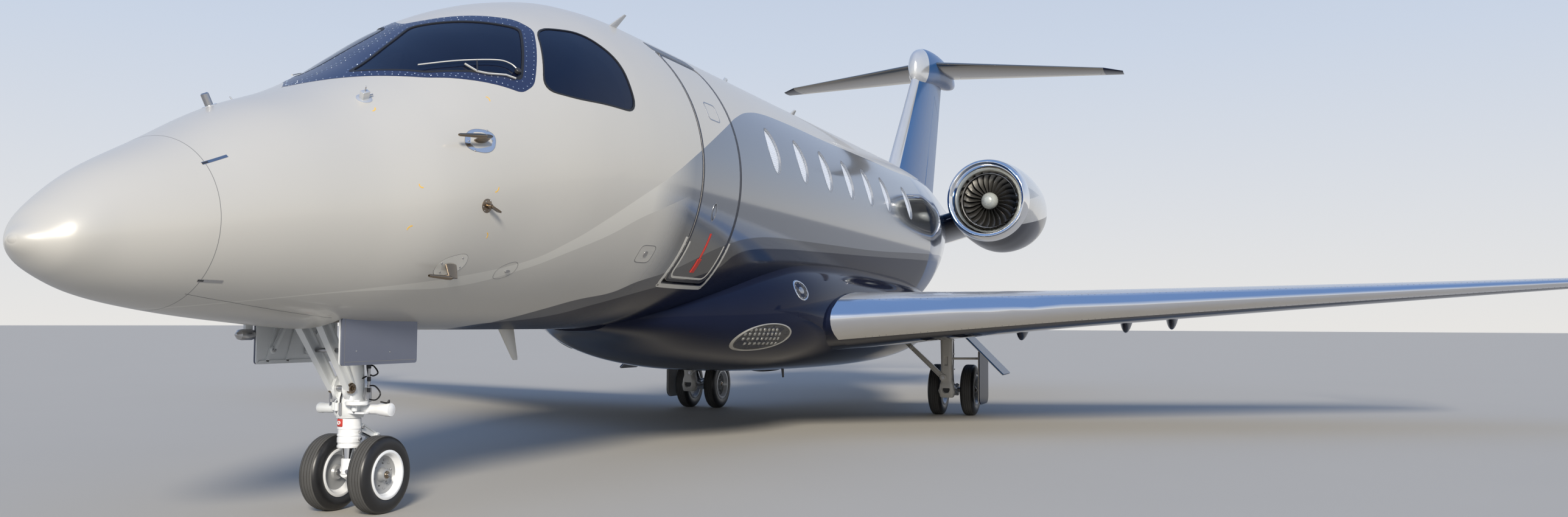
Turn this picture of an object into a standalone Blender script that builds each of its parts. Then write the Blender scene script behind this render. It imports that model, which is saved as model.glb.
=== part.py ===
"""Mid-size business jet with a T-tail and two rear engines, parked on its landing gear.

The nose points along -Y, +X is the aircraft's left (port) side and +Z is up, in metres.
The origin is on the ground under the middle of the aircraft's length.
Lengths along the aircraft are stations: metres aft of the tip of the nose.
"""

import math

import bmesh
import bpy
from mathutils import Matrix, Vector

# Driving dimensions
LENGTH = 20.74
NOSE_FLAT = 0.004         # the tip of the nose is blunted by this, and so is the tail's
FIT_GAP = 0.0003          # between faces that touch on the real aircraft
SWING_GAP = 0.008         # around moving surfaces
MERGE = 0.00008           # corners closer than this are one corner
FRAME_SEGMENTS = 32       # facets around the fuselage
WALL = 0.09               # skin, frame and trim together

# Fuselage outline: station and height or half-width
CROWN = [(0, 1.579), (0.05, 1.649), (0.15, 1.772), (0.34, 1.938), (0.75, 2.164), (1.23, 2.417),
         (1.64, 2.577), (2.1, 2.805), (2.44, 3.02), (2.81, 3.249), (3.22, 3.443), (3.67, 3.599),
         (4.17, 3.714), (4.72, 3.757), (5.34, 3.758), (15.0, 3.758), (17.0, 3.70), (19.55, 3.45)]
KEEL = [(0, 1.579), (0.05, 1.502), (0.17, 1.412), (0.36, 1.331), (0.75, 1.258), (1.23, 1.206),
        (2.0, 1.157), (3.2, 1.152), (12.6, 1.152), (13.8, 1.23), (15.0, 1.50), (16.5, 1.93),
        (18.0, 2.40), (19.55, 2.88)]
HALF_WIDTH = [(0, 0.0), (0.05, 0.111), (0.15, 0.232), (0.35, 0.32), (0.75, 0.478), (1.23, 0.631),
              (1.64, 0.744), (2.1, 0.891), (2.8, 1.028), (3.5, 1.162), (4.2, 1.24), (5.0, 1.277),
              (5.8, 1.283), (13.0, 1.283), (14.0, 1.22), (15.0, 1.07), (16.0, 0.86),
              (17.0, 0.65), (18.0, 0.46), (19.55, 0.22)]
RADOME_JOINT = 0.75
FORWARD_JOINT = 4.55
REAR_JOINT = 13.2
TAIL_END = 19.55
FORWARD_BULKHEAD = 1.02

# Cabin
FLOOR_TOP = 1.62
FLOOR_THICKNESS = 0.05
DOOR_FRONT, DOOR_REAR = 4.942, 5.734
DOOR_BOTTOM_ANGLE, DOOR_TOP_ANGLE = 134.0, 41.0
PANEL_TOP, COAMING_FRONT, COAMING_REAR = 2.30, 2.0, 2.50
PANEL_FRONT, PANEL_REAR = 2.18, 2.36
SEAT_X, SEAT_FRONT, SEAT_REAR, SEAT_TOP = 0.46, 2.88, 3.42, 2.07
WINDOW_HEIGHT = 2.843
WINDOW_SIZE = (0.30, 0.455)
FIRST_WINDOW, WINDOW_PITCH, EVEN_WINDOWS = 6.707, 0.819, 6
LAST_WINDOW = FIRST_WINDOW + 6.37 * WINDOW_PITCH

# Wing: span position, leading edge and trailing edge stations, thickness ratio
WING_ROOT, WING_KINK, WING_TIP = 1.40, 3.60, 9.35
WING_PLAN = [(WING_ROOT, 7.93, 12.10, 0.150), (WING_KINK, 9.20, 12.35, 0.135),
             (WING_TIP, 12.52, 13.62, 0.11)]
WING_ROOT_HEIGHT = 1.25
DIHEDRAL_SLOPE = 0.0618
# Winglet stations: span, height above the wing plane, leading edge, chord, cant in degrees
WINGLET = [(9.62, 0.045, 12.72, 1.00, 18.0), (9.84, 0.17, 12.95, 0.88, 42.0),
           (9.99, 0.42, 13.24, 0.72, 64.0), (10.105, 0.88, 13.68, 0.44, 74.0)]
FLAP_INNER, FLAP_OUTER = (2.62, 11.62), (7.20, 12.68)
FLAP_HINGE_DROP = (0.21, 0.115)
AILERON_NOSE, ELEVATOR_NOSE, RUDDER_NOSE = 0.068, 0.058, 0.125
AILERON_INNER, AILERON_OUTER = (7.34, 12.73), (9.20, 13.28)
TRACK_FAIRINGS = (2.84, 4.08, 4.62, 6.86)

# Tail
FIN_PLAN = [(3.40, 15.20, 18.70), (6.05, 17.63, 19.63)]      # height, leading, trailing edge
FIN_THICKNESS = 0.10
RUDDER_LOW, RUDDER_HIGH = (3.66, 17.72), (5.52, 18.72)
RUDDER_FLOOR_GAP = 0.018
CROWN_FALL = 0.09         # how steeply the crown falls under the rudder
TAIL_HEIGHT = 6.12
TAIL_PLAN = [(0.0, 18.15, 19.80, 0.10), (3.14, 19.64, 20.33, 0.09), (3.48, 20.02, 20.38, 0.07)]
ELEVATOR_INNER, ELEVATOR_OUTER = (0.44, 19.41), (3.06, 20.10)

# Engines
ENGINE_X, ENGINE_Z = 1.696, 3.208
LIP_STATION, LIP_END, FAN_STATION, NOZZLE_STATION = 15.16, 15.40, 15.487, 18.92
BLADE_TIP = 0.424
DUCT_RADIUS = 0.4435
BLADES = 22

# Landing gear
NOSE_STRUT = 2.32
NOSE_AXLE = (2.387, 0.244)
NOSE_WHEEL_OFFSET = 0.183
NOSE_TYRE = dict(radius=0.244, half_width=0.071, rim=0.144)
MAIN_X = 1.829
MAIN_LEG = 11.60
MAIN_AXLE = (12.07, 0.336)
MAIN_WHEEL_OFFSET = 0.215
MAIN_TYRE = dict(radius=0.336, half_width=0.088, rim=0.190)
WHEEL_SEGMENTS = 24

JACK_PAD_RADIUS = 0.06
NOSE_PAD_STATION, NOSE_PAD_BOTTOM = 3.9, 1.13
WING_PAD_X, WING_PAD_STATION, WING_PAD_DROP = 3.1, 10.9, 0.205
NOSE_WELL_HALF, NOSE_WELL_FRONT, NOSE_WELL_REAR = 0.30, 1.84, 2.60

# Colours: base colour, metallic, roughness
COLOURS = {
    "pearl": ((0.62, 0.61, 0.59), 0.3, 0.25),
    "navy": ((0.02, 0.035, 0.10), 0.3, 0.2),
    "blue": ((0.05, 0.13, 0.33), 0.4, 0.25),
    "polished": ((0.75, 0.75, 0.76), 1.0, 0.12),
    "bronze": ((0.34, 0.31, 0.27), 0.8, 0.25),
    "glass": ((0.02, 0.03, 0.05), 0.0, 0.05),
    "gear": ((0.75, 0.76, 0.77), 0.1, 0.35),
    "rim": ((0.8, 0.8, 0.8), 0.3, 0.3),
    "rubber": ((0.03, 0.03, 0.03), 0.0, 0.7),
    "door_grey": ((0.25, 0.27, 0.33), 0.3, 0.3),
    "trim": ((0.55, 0.53, 0.50), 0.0, 0.6),
    "dark": ((0.06, 0.06, 0.07), 0.2, 0.5),
    "engine": ((0.35, 0.35, 0.36), 0.8, 0.4),
}


def clear_scene():
    for existing in list(bpy.data.objects):
        bpy.data.objects.remove(existing, do_unlink=True)


def new_collection(name):
    collection = bpy.data.collections.new(name)
    bpy.context.scene.collection.children.link(collection)
    return collection


clear_scene()
PARTS = new_collection("business_jet")
CUTTERS = new_collection("cutters")


# Small mathematics

def smooth_curve(knots):
    """Monotone cubic through the knots, in the square root of the station so the nose is round."""
    xs = [math.sqrt(knot[0]) for knot in knots]
    ys = [knot[1] for knot in knots]
    steps = [b - a for a, b in zip(xs, xs[1:])]
    slopes = [(b - a) / step for a, b, step in zip(ys, ys[1:], steps)]
    tangents = [slopes[0]]
    for i in range(1, len(xs) - 1):
        before, after = slopes[i - 1], slopes[i]
        if before * after <= 0:
            tangents.append(0.0)
            continue
        weight_a = 2 * steps[i] + steps[i - 1]
        weight_b = steps[i] + 2 * steps[i - 1]
        tangents.append((weight_a + weight_b) / (weight_a / before + weight_b / after))
    tangents.append(slopes[-1])

    def value(station):
        x = math.sqrt(max(station, 0.0))
        i = 0
        while i < len(steps) - 1 and x > xs[i + 1]:
            i += 1
        t = (x - xs[i]) / steps[i]
        rise = (1 + 2 * t) * (1 - t) ** 2 * ys[i] + t * t * (3 - 2 * t) * ys[i + 1]
        bend = t * (1 - t) ** 2 * tangents[i] - t * t * (1 - t) * tangents[i + 1]
        return rise + steps[i] * bend

    return value


def straight(rows, x, column):
    """Value of a column at x, straight between the rows and past their ends."""
    i = 0
    while i < len(rows) - 2 and x > rows[i + 1][0]:
        i += 1
    low, high = rows[i], rows[i + 1]
    return low[column] + (high[column] - low[column]) * (x - low[0]) / (high[0] - low[0])


def point(x, station, z):
    return Vector((x, station - LENGTH / 2, z))


crown_at = smooth_curve(CROWN)
keel_at = smooth_curve(KEEL)
half_width_at = smooth_curve(HALF_WIDTH)


def skin_point(station, degrees, inset=0.0):
    """Point of the fuselage skin; the angle runs from the crown down the port side."""
    angle = math.radians(degrees)
    crown, keel = crown_at(station), keel_at(station)
    x = (half_width_at(station) - inset) * math.sin(angle)
    z = (crown + keel) / 2 + ((crown - keel) / 2 - inset) * math.cos(angle)
    return point(x, station, z)


def skin_ring(station, inset=0.0, segments=FRAME_SEGMENTS):
    return [skin_point(station, 360 * i / segments, inset) for i in range(segments)]


# Mesh helpers

def paint(obj, colour):
    base, metallic, roughness = COLOURS[colour]
    material = bpy.data.materials.new(obj.name + "_" + colour)
    material.use_nodes = True
    shader = material.node_tree.nodes["Principled BSDF"]
    shader.inputs["Base Color"].default_value = (*base, 1.0)
    shader.inputs["Metallic"].default_value = metallic
    shader.inputs["Roughness"].default_value = roughness
    obj.data.materials.clear()
    obj.data.materials.append(material)


def is_flat(face):
    first = face.verts[0].co
    return all(abs((corner.co - first).dot(face.normal)) < 0.000002 for corner in face.verts)


def from_bmesh(name, bm, split="SHORT_EDGE"):
    """A working body; keep() makes it a part."""
    bmesh.ops.recalc_face_normals(bm, faces=bm.faces)
    bm.normal_update()
    warped = [face for face in bm.faces if len(face.verts) == 4 and not is_flat(face)]
    bmesh.ops.triangulate(bm, faces=warped, quad_method=split)
    mesh = bpy.data.meshes.new(name)
    bm.to_mesh(mesh)
    bm.free()
    obj = bpy.data.objects.new(name, mesh)
    obj.hide_render = True
    obj.display_type = "WIRE"
    CUTTERS.objects.link(obj)
    return obj


def keep(obj, name, colour, origin=None):
    """Turn a working body into a finished, named part with its origin where it turns."""
    obj.name = name
    obj.data.name = name
    CUTTERS.objects.unlink(obj)
    PARTS.objects.link(obj)
    obj.hide_render = False
    obj.display_type = "TEXTURED"
    paint(obj, colour)
    obj.data.shade_smooth()
    obj.data.set_sharp_from_angle(angle=math.radians(35))
    if origin is not None:
        obj.data.transform(Matrix.Translation(-origin))
        obj.location = origin
    return obj


def loft(rings, loop=False, split="SHORT_EDGE"):
    """Skin through rings of equal length, capped at its ends or closed on itself."""
    bm = bmesh.new()
    rows = [[bm.verts.new(p) for p in ring] for ring in rings]
    count = len(rings[0])
    pairs = list(zip(rows, rows[1:]))
    if loop:
        pairs.append((rows[-1], rows[0]))
    for near, far in pairs:
        for i in range(count):
            j = (i + 1) % count
            bm.faces.new((near[i], near[j], far[j], far[i]))
    if not loop:
        bm.faces.new(list(reversed(rows[0])))
        bm.faces.new(rows[-1])
    return from_bmesh("loft", bm, split)


def box(low, high):
    bm = bmesh.new()
    bmesh.ops.create_cube(bm, size=1.0)
    low, high = Vector(low), Vector(high)
    size = high - low
    scale = Matrix.Diagonal((size.x, size.y, size.z, 1.0))
    bmesh.ops.transform(bm, matrix=Matrix.Translation((low + high) / 2) @ scale, verts=bm.verts)
    return from_bmesh("box", bm)


def rod(start, end, radius, segments=10, end_radius=None):
    """Cylinder or cone between two points."""
    axis = end - start
    bm = bmesh.new()
    bmesh.ops.create_cone(bm, cap_ends=True, segments=segments, radius1=radius,
                          radius2=radius if end_radius is None else end_radius,
                          depth=axis.length)
    turn = axis.to_track_quat("Z", "Y").to_matrix().to_4x4()
    bmesh.ops.transform(bm, matrix=Matrix.Translation((start + end) / 2) @ turn, verts=bm.verts)
    return from_bmesh("rod", bm)


def turned(profile, centre, axis, segments, closed=False):
    """Screw of a profile of (radius, distance along the axis), with a flat facet downwards."""
    mesh = bpy.data.meshes.new("profile")
    edges = [(i, i + 1) for i in range(len(profile) - 1)]
    if closed:
        edges.append((len(profile) - 1, 0))
    mesh.from_pydata([(radius, 0, along) for radius, along in profile], edges, [])
    obj = bpy.data.objects.new("profile", mesh)
    CUTTERS.objects.link(obj)
    screw = obj.modifiers.new("turn", "SCREW")
    screw.steps = segments
    screw.render_steps = segments
    screw.use_merge_vertices = True
    screw.merge_threshold = 0.00005
    if axis == "X":
        turn = Matrix.Rotation(math.radians(90), 4, "Y")
    else:
        turn = Matrix.Rotation(math.radians(-90), 4, "X")
    half_facet = Matrix.Rotation(math.pi / segments, 4, "Z")
    bake(obj)
    obj.data.transform(Matrix.Translation(centre) @ turn @ half_facet)
    bm = bmesh.new()
    bm.from_mesh(obj.data)
    bpy.data.objects.remove(obj, do_unlink=True)
    return from_bmesh("turned", bm)


def bake(obj):
    """Replace an object's mesh by its mesh with the modifiers applied."""
    bpy.context.view_layer.update()
    depsgraph = bpy.context.evaluated_depsgraph_get()
    mesh = bpy.data.meshes.new_from_object(obj.evaluated_get(depsgraph))
    obj.modifiers.clear()
    obj.data = mesh


def duplicate(obj):
    copy = bpy.data.objects.new(obj.name + "_copy", obj.data.copy())
    copy.hide_render = True
    copy.display_type = "WIRE"
    CUTTERS.objects.link(copy)
    return copy


def combine(target, tool, operation, keep_tool=False):
    """Exact Boolean of two working bodies, applied at once."""
    modifier = target.modifiers.new("boolean", "BOOLEAN")
    modifier.operation = operation
    modifier.solver = "EXACT"
    modifier.object = tool
    bake(target)
    if not keep_tool:
        bpy.data.objects.remove(tool, do_unlink=True)
    return target


def join(target, *tools):
    for tool in tools:
        combine(target, tool, "UNION")
    return target


def cut(target, *tools, keep_tool=False):
    for tool in tools:
        combine(target, tool, "DIFFERENCE", keep_tool)
    return target


def common(target, tool, keep_tool=False):
    return combine(target, tool, "INTERSECT", keep_tool)


def largest_island(obj):
    """Drop the slivers that a grazing cut leaves beside the main body."""
    bm = bmesh.new()
    bm.from_mesh(obj.data)
    bmesh.ops.remove_doubles(bm, verts=bm.verts, dist=MERGE)
    bmesh.ops.dissolve_degenerate(bm, edges=bm.edges, dist=MERGE)
    loose = [edge for edge in bm.edges if not edge.link_faces]
    bmesh.ops.delete(bm, geom=loose, context="EDGES")
    unseen = set(bm.verts)
    islands = []
    while unseen:
        stack = [unseen.pop()]
        island = []
        while stack:
            vertex = stack.pop()
            island.append(vertex)
            for edge in vertex.link_edges:
                other = edge.other_vert(vertex)
                if other in unseen:
                    unseen.remove(other)
                    stack.append(other)
        islands.append(island)
    main = max(islands, key=len)
    for island in islands:
        if island is not main:
            bmesh.ops.delete(bm, geom=island, context="VERTS")
    bmesh.ops.dissolve_limit(bm, angle_limit=math.radians(0.01), verts=bm.verts, edges=bm.edges)
    bm.to_mesh(obj.data)
    bm.free()
    return obj


def halve(obj, plane_point, normal):
    """Cut an object by a plane and keep the side behind its normal, closed by a flat face."""
    bm = bmesh.new()
    bm.from_mesh(obj.data)
    geometry = list(bm.verts) + list(bm.edges) + list(bm.faces)
    bmesh.ops.bisect_plane(bm, geom=geometry, plane_co=plane_point, plane_no=normal,
                           clear_outer=True, dist=0.000001)
    rim = [edge for edge in bm.edges if edge.is_boundary]
    bmesh.ops.holes_fill(bm, edges=rim)
    bmesh.ops.recalc_face_normals(bm, faces=bm.faces)
    bm.to_mesh(obj.data)
    bm.free()
    return obj


def mirrored(obj):
    """Starboard twin of a port working body."""
    twin = duplicate(obj)
    twin.data.transform(Matrix.Diagonal((-1.0, 1.0, 1.0, 1.0)))
    twin.data.flip_normals()
    return twin


def keep_pair(obj, name, colour, origin=None):
    """Keep a port body and its starboard twin."""
    twin = mirrored(obj)
    twin_origin = None if origin is None else Vector((-origin.x, origin.y, origin.z))
    keep(obj, name + "_port", colour, origin)
    keep(twin, name + "_starboard", colour, twin_origin)


def socket(target, start, end, radius, segments=10):
    """Round hole that takes a rod of this radius with a fit gap around it and at its end."""
    direction = (end - start).normalized()
    hole = rod(start, end + direction * FIT_GAP, (radius + FIT_GAP) / math.cos(math.pi / segments),
               segments)
    return cut(target, hole)


# Fuselage

def shell(front, rear, stations, front_closed=None, rear_closed=None):
    """Fuselage wall between two stations, with a bulkhead face where an end is closed."""
    inside = [s for s in stations if front < s < rear]
    outer = [skin_ring(s) for s in [front] + inside + [rear]]
    inner_front = front if front_closed is None else front_closed
    inner_rear = rear if rear_closed is None else rear_closed
    between = [s for s in stations if inner_front < s < inner_rear]
    inner = [skin_ring(s, WALL) for s in [inner_front] + between + [inner_rear]]
    if front_closed is None and rear_closed is None:
        return loft(outer + list(reversed(inner)), loop=True)
    if rear_closed is None:
        return loft(outer + list(reversed(inner)))
    return loft(list(reversed(outer)) + inner)


def fuselage_core(front, rear, stations, inset):
    """Solid of the fuselage's outline, to cut or trim other pieces with."""
    inside = [s for s in stations if front < s < rear]
    return loft([skin_ring(s, inset) for s in [front] + inside + [rear]])


NOSE_STATIONS = [NOSE_FLAT, 0.03, 0.08, 0.17, 0.30, 0.5]
FORWARD_STATIONS = [1.2, 1.65, 2.1, 2.45, 2.8, 3.2, 3.65, 4.15]
CABIN_STATIONS = [4.9, 5.35, 5.8, 12.6]
TAIL_STATIONS = [13.8, 14.4, 15.0, 16.0, 17.0, 18.2]
ALL_STATIONS = FORWARD_STATIONS + [FORWARD_JOINT] + CABIN_STATIONS + [REAR_JOINT] + TAIL_STATIONS


def panel_solid(outline, outside, inside, shrink=0.0):
    """Block through the skin; the outline is a loop of (station, degrees from the crown)."""
    middle_s = sum(s for s, a in outline) / len(outline)
    middle_a = sum(a for s, a in outline) / len(outline)
    outer, inner = [], []
    for s, a in outline:
        arc = math.radians(a - middle_a) * half_width_at(middle_s)
        reach = math.hypot(s - middle_s, arc)
        scale = 1 - shrink / reach
        s, a = middle_s + (s - middle_s) * scale, middle_a + (a - middle_a) * scale
        base = skin_point(s, a)
        along = skin_point(s + 0.02, a) - skin_point(s - 0.02, a)
        around = skin_point(s, a + 1) - skin_point(s, a - 1)
        normal = around.cross(along).normalized()
        if normal.dot(base - point(0, s, (crown_at(s) + keel_at(s)) / 2)) < 0:
            normal = -normal
        outer.append(base + normal * outside)
        inner.append(base - normal * inside)
    return loft([outer, inner], split="FIXED")


def rounded(corners, radius, steps=2):
    """Loop with its corners rounded by short arcs; the corners are points in a plane."""
    loop = []
    count = len(corners)
    for i, corner in enumerate(corners):
        corner = Vector(corner)
        before = (Vector(corners[i - 1]) - corner)
        after = (Vector(corners[(i + 1) % count]) - corner)
        start = corner + before.normalized() * min(radius, before.length * 0.45)
        end = corner + after.normalized() * min(radius, after.length * 0.45)
        for k in range(steps + 1):
            t = k / steps
            loop.append(tuple(start * (1 - t) ** 2 + corner * 2 * t * (1 - t) + end * t * t))
    return loop


CUT_DEPTH = (0.30, 0.40)  # how far a pane's cutter reaches out of and into the skin
PANE_FIT = 0.0004
PANE_OUTER, PANE_INNER = 0.008, 0.034

# Outlines on the skin as (station, degrees from the crown)
WINDSHIELD_CORNERS = [(2.0, 12.5), (2.70, 5.8), (3.23, 33.8), (2.87, 56.5), (2.30, 35.5)]
SIDE_WINDOW_CORNERS = [(3.0, 62.5), (3.36, 35.0), (3.80, 40.0), (4.0, 54.0), (3.95, 75.0),
                       (3.3, 68.5)]


def build_fuselage():
    radome = loft([skin_ring(s) for s in NOSE_STATIONS + [RADOME_JOINT - FIT_GAP]])
    keep(radome, "radome", "pearl")
    forward = shell(RADOME_JOINT, FORWARD_JOINT - FIT_GAP, FORWARD_STATIONS,
                    front_closed=FORWARD_BULKHEAD)
    glass = glass_shell()
    panes = {}
    for name, corners, corner_radius in (("windshield", WINDSHIELD_CORNERS, 0.09),
                                         ("side_window", SIDE_WINDOW_CORNERS, 0.16)):
        outline = scaled_round(corners, corner_radius)
        opening = panel_solid(outline, *CUT_DEPTH)
        opening_twin = mirrored(opening)
        cut(forward, opening, opening_twin)
        pane = panel_solid(outline, *CUT_DEPTH, shrink=PANE_FIT)
        panes[name] = common(pane, duplicate(glass))
    bpy.data.objects.remove(glass, do_unlink=True)
    well_low = point(-NOSE_WELL_HALF, NOSE_WELL_FRONT, 0.9)
    cut(forward, box(well_low, point(NOSE_WELL_HALF, NOSE_WELL_REAR, 1.6)))
    pad_bottom = point(0, NOSE_PAD_STATION, NOSE_PAD_BOTTOM)
    join(forward, rod(pad_bottom, pad_bottom + Vector((0, 0, WALL)), JACK_PAD_RADIUS))
    keep(largest_island(forward), "forward_fuselage", "pearl")
    for name, pane in panes.items():
        keep_pair(largest_island(pane), name, "glass")

    cabin = shell(FORWARD_JOINT, REAR_JOINT - FIT_GAP, CABIN_STATIONS,
                  rear_closed=REAR_JOINT - WALL)
    door = door_from(cabin)
    cut(cabin, doorway())
    cut_cabin_windows(cabin)
    keep(largest_island(cabin), "cabin_fuselage", "pearl")
    hinge = door_hinge_points()
    keep(largest_island(door), "entry_door", "pearl", (hinge[0] + hinge[1]) / 2)


def scaled_round(corners, radius):
    """Round an outline given in stations and degrees, using metres around the skin."""
    middle = sum(s for s, a in corners) / len(corners)
    metres = math.radians(1) * half_width_at(middle)
    loop = rounded([(s, a * metres) for s, a in corners], radius)
    return [(s, a / metres) for s, a in loop]


def glass_shell():
    """Layer of the skin that the flight deck's panes are cut from."""
    stations = [1.5, 1.75, 2.0, 2.25, 2.5, 2.75, 3.0, 3.3, 3.6, 3.9, 4.2, 4.5]
    outer = [skin_ring(s, PANE_OUTER) for s in stations]
    inner = [skin_ring(s, PANE_INNER) for s in reversed(stations)]
    return loft(outer + inner, loop=True)


def door_outline(bottom_extra, edge):
    """Door opening as (station, degrees), grown by an edge and by more at its bottom."""
    metres = math.radians(1) * half_width_at(DOOR_FRONT)
    grow = edge / metres
    low = DOOR_BOTTOM_ANGLE + (edge + bottom_extra) / metres
    high = DOOR_TOP_ANGLE - grow
    return [(DOOR_FRONT - edge, low), (DOOR_FRONT - edge, high),
            (DOOR_REAR + edge, high), (DOOR_REAR + edge, low)]


def door_block(outline):
    """Wedge of the wall between two angles and two stations."""
    (front, low), (_, high), (rear, _), _ = outline
    steps = 16
    rings = []
    for s in (front, rear):
        ring = []
        for i in range(steps + 1):
            a = low + (high - low) * i / steps
            ring.append(skin_point(s, a, -0.15))
        for i in range(steps, -1, -1):
            a = low + (high - low) * i / steps
            ring.append(skin_point(s, a, 0.25))
        rings.append(ring)
    return loft(rings)


DOOR_EDGE_GAP = 0.006
DOOR_SILL_EXTRA = 0.012
DOOR_HINGE_INSET = 0.014


def door_hinge_points():
    metres = math.radians(1) * half_width_at(DOOR_FRONT)
    angle = DOOR_BOTTOM_ANGLE - DOOR_HINGE_INSET / metres
    middle = (DOOR_FRONT + DOOR_REAR) / 2
    line = skin_point(middle, angle, DOOR_HINGE_INSET)
    return (Vector((line.x, point(0, DOOR_FRONT, 0).y, line.z)),
            Vector((line.x, point(0, DOOR_REAR, 0).y, line.z)))


def doorway():
    return door_block(door_outline(DOOR_SILL_EXTRA, DOOR_EDGE_GAP))


def door_from(cabin):
    """The door is the wall's own piece, with pins on its hinge line at its two lower corners."""
    door = duplicate(cabin)
    common(door, door_block(door_outline(0.0, 0.0)))
    front, rear = door_hinge_points()
    reach = Vector((0, DOOR_EDGE_GAP - FIT_GAP, 0))
    inward = Vector((0, 0.05, 0))
    join(door, rod(front - reach, front + inward, 0.010, 12),
         rod(rear - inward, rear + reach, 0.010, 12))
    return door


def cabin_window_stations():
    return [FIRST_WINDOW + i * WINDOW_PITCH for i in range(EVEN_WINDOWS)] + [LAST_WINDOW]


def window_plug(station, inner_x, outer_x, margin, segments=10):
    """Oval block across the wall at one cabin window."""
    rings = []
    for x in (inner_x, outer_x):
        ring = []
        for i in range(segments):
            a = 2 * math.pi * i / segments
            ring.append(point(x, station + (WINDOW_SIZE[0] / 2 - margin) * math.cos(a),
                              WINDOW_HEIGHT + (WINDOW_SIZE[1] / 2 - margin) * math.sin(a)))
        rings.append(ring)
    return loft(rings)


def cut_cabin_windows(cabin):
    for station in cabin_window_stations():
        plug = window_plug(station, 0.7, 1.5, 0.0)
        twin = mirrored(plug)
        cut(cabin, plug, twin)


def build_cabin_window_panels():
    """Inner window belt with the seven panes, one body on each side."""
    front, rear = FIRST_WINDOW - 0.30, LAST_WINDOW + 0.30
    outer = [skin_ring(s, WALL + FIT_GAP) for s in (front, rear)]
    inner = [skin_ring(s, WALL + 0.014) for s in (rear, front)]
    belt = loft(outer + inner, loop=True)
    common(belt, box(point(0.5, front - 0.1, WINDOW_HEIGHT - 0.33),
                     point(1.5, rear + 0.1, WINDOW_HEIGHT + 0.33)))
    layer = loft([skin_ring(front - 0.1, 0.010), skin_ring(rear + 0.1, 0.010)])
    for station in cabin_window_stations():
        plug = window_plug(station, 0.98, 1.5, 0.0006)
        common(plug, layer, keep_tool=True)
        hollow = loft([skin_ring(front - 0.1, WALL + 0.008), skin_ring(rear + 0.1, WALL + 0.008)])
        cut(plug, hollow)
        join(belt, plug)
    bpy.data.objects.remove(layer, do_unlink=True)
    keep_pair(largest_island(belt), "cabin_window_panel", "glass")


def build_interior():
    """Cabin floor, instrument panel and the two flight-deck seats with their console."""
    inside = fuselage_core(FORWARD_STATIONS[0], REAR_JOINT - WALL - FIT_GAP, ALL_STATIONS,
                           WALL + FIT_GAP)
    floor = box(point(-1.3, 1.9, FLOOR_TOP - FLOOR_THICKNESS),
                point(1.3, REAR_JOINT - WALL - FIT_GAP, FLOOR_TOP))
    common(floor, inside, keep_tool=True)
    cut(floor, box(point(0.80, DOOR_FRONT - 0.03, 1.4), point(1.3, DOOR_REAR + 0.03, 1.8)))
    keep(largest_island(floor), "cabin_floor", "trim")
    ground = FLOOR_TOP + FIT_GAP
    panel = box(point(-1.2, PANEL_FRONT, ground), point(1.2, PANEL_REAR, PANEL_TOP))
    join(panel, box(point(-1.2, COAMING_FRONT, PANEL_TOP - 0.06),
                    point(1.2, COAMING_REAR, PANEL_TOP + 0.02)))
    common(panel, inside)
    keep(largest_island(panel), "instrument_panel", "dark")
    console = box(point(-0.2, PANEL_REAR + 0.24, ground), point(0.2, SEAT_REAR - 0.02, 2.0))
    for side in (-1, 1):
        x = SEAT_X * side
        floor_rail = box(point(min(0, x), 3.0, ground), point(max(0, x), 3.3, 1.72))
        pedestal = box(point(x - 0.12, 2.95, 1.64), point(x + 0.12, 3.35, 1.95))
        cushion = box(point(x - 0.24, SEAT_FRONT, SEAT_TOP - 0.13),
                      point(x + 0.24, SEAT_REAR, SEAT_TOP))
        back = box(point(x - 0.23, SEAT_REAR - 0.04, SEAT_TOP - 0.07),
                   point(x + 0.23, SEAT_REAR + 0.08, SEAT_TOP + 0.59))
        headrest = box(point(x - 0.13, SEAT_REAR - 0.03, SEAT_TOP + 0.53),
                       point(x + 0.13, SEAT_REAR + 0.06, SEAT_TOP + 0.79))
        join(console, floor_rail, pedestal, cushion, back, headrest)
    keep(largest_island(console), "flight_deck_seats", "dark")


# Belly fairing: station, half-width, lowest and highest height
BELLY = [(5.15, 0.30, 1.135, 1.30), (5.7, 0.70, 1.05, 1.48), (6.4, 1.03, 0.88, 1.70),
         (7.1, 1.26, 0.765, 1.88), (7.9, 1.365, 0.70, 2.0), (9.4, 1.385, 0.665, 2.05),
         (11.2, 1.385, 0.655, 2.02), (12.4, 1.36, 0.69, 1.97), (13.3, 1.24, 0.79, 1.90),
         (14.2, 1.02, 0.97, 1.86), (15.0, 0.72, 1.22, 1.85), (15.5, 0.42, 1.45, 1.85)]
BELLY_ROUNDNESS = 2.6


def super_ring(half_width, low, high, station, power, segments=20):
    ring = []
    for i in range(segments):
        a = 2 * math.pi * i / segments
        c, s = math.cos(a), math.sin(a)
        x = half_width * math.copysign(abs(s) ** (2 / power), s)
        z = (low + high) / 2 + (high - low) / 2 * math.copysign(abs(c) ** (2 / power), c)
        ring.append(point(x, station, z))
    return ring


def build_belly_fairing():
    fairing = loft([super_ring(w, low, high, s, BELLY_ROUNDNESS) for s, w, low, high in BELLY])
    stub = loft([wing_ring(x, 0.0) for x in (1.15, WING_ROOT - FIT_GAP)])
    twin = mirrored(stub)
    join(fairing, stub, twin)
    cut(fairing, fuselage_core(FORWARD_JOINT, TAIL_END, ALL_STATIONS, -FIT_GAP))
    for side in (1, -1):
        ends = [Vector((p.x * side, p.y, p.z)) for p in SIDE_BRACE]
        socket(fairing, ends[0], ends[1], SIDE_BRACE_RADIUS)
    keep(largest_island(fairing), "belly_fairing", "navy")


# Wing

AIRFOIL_X = [0.0, 0.008, 0.035, 0.10, 0.22, 0.40, 0.60, 0.80, 1.0]


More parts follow.
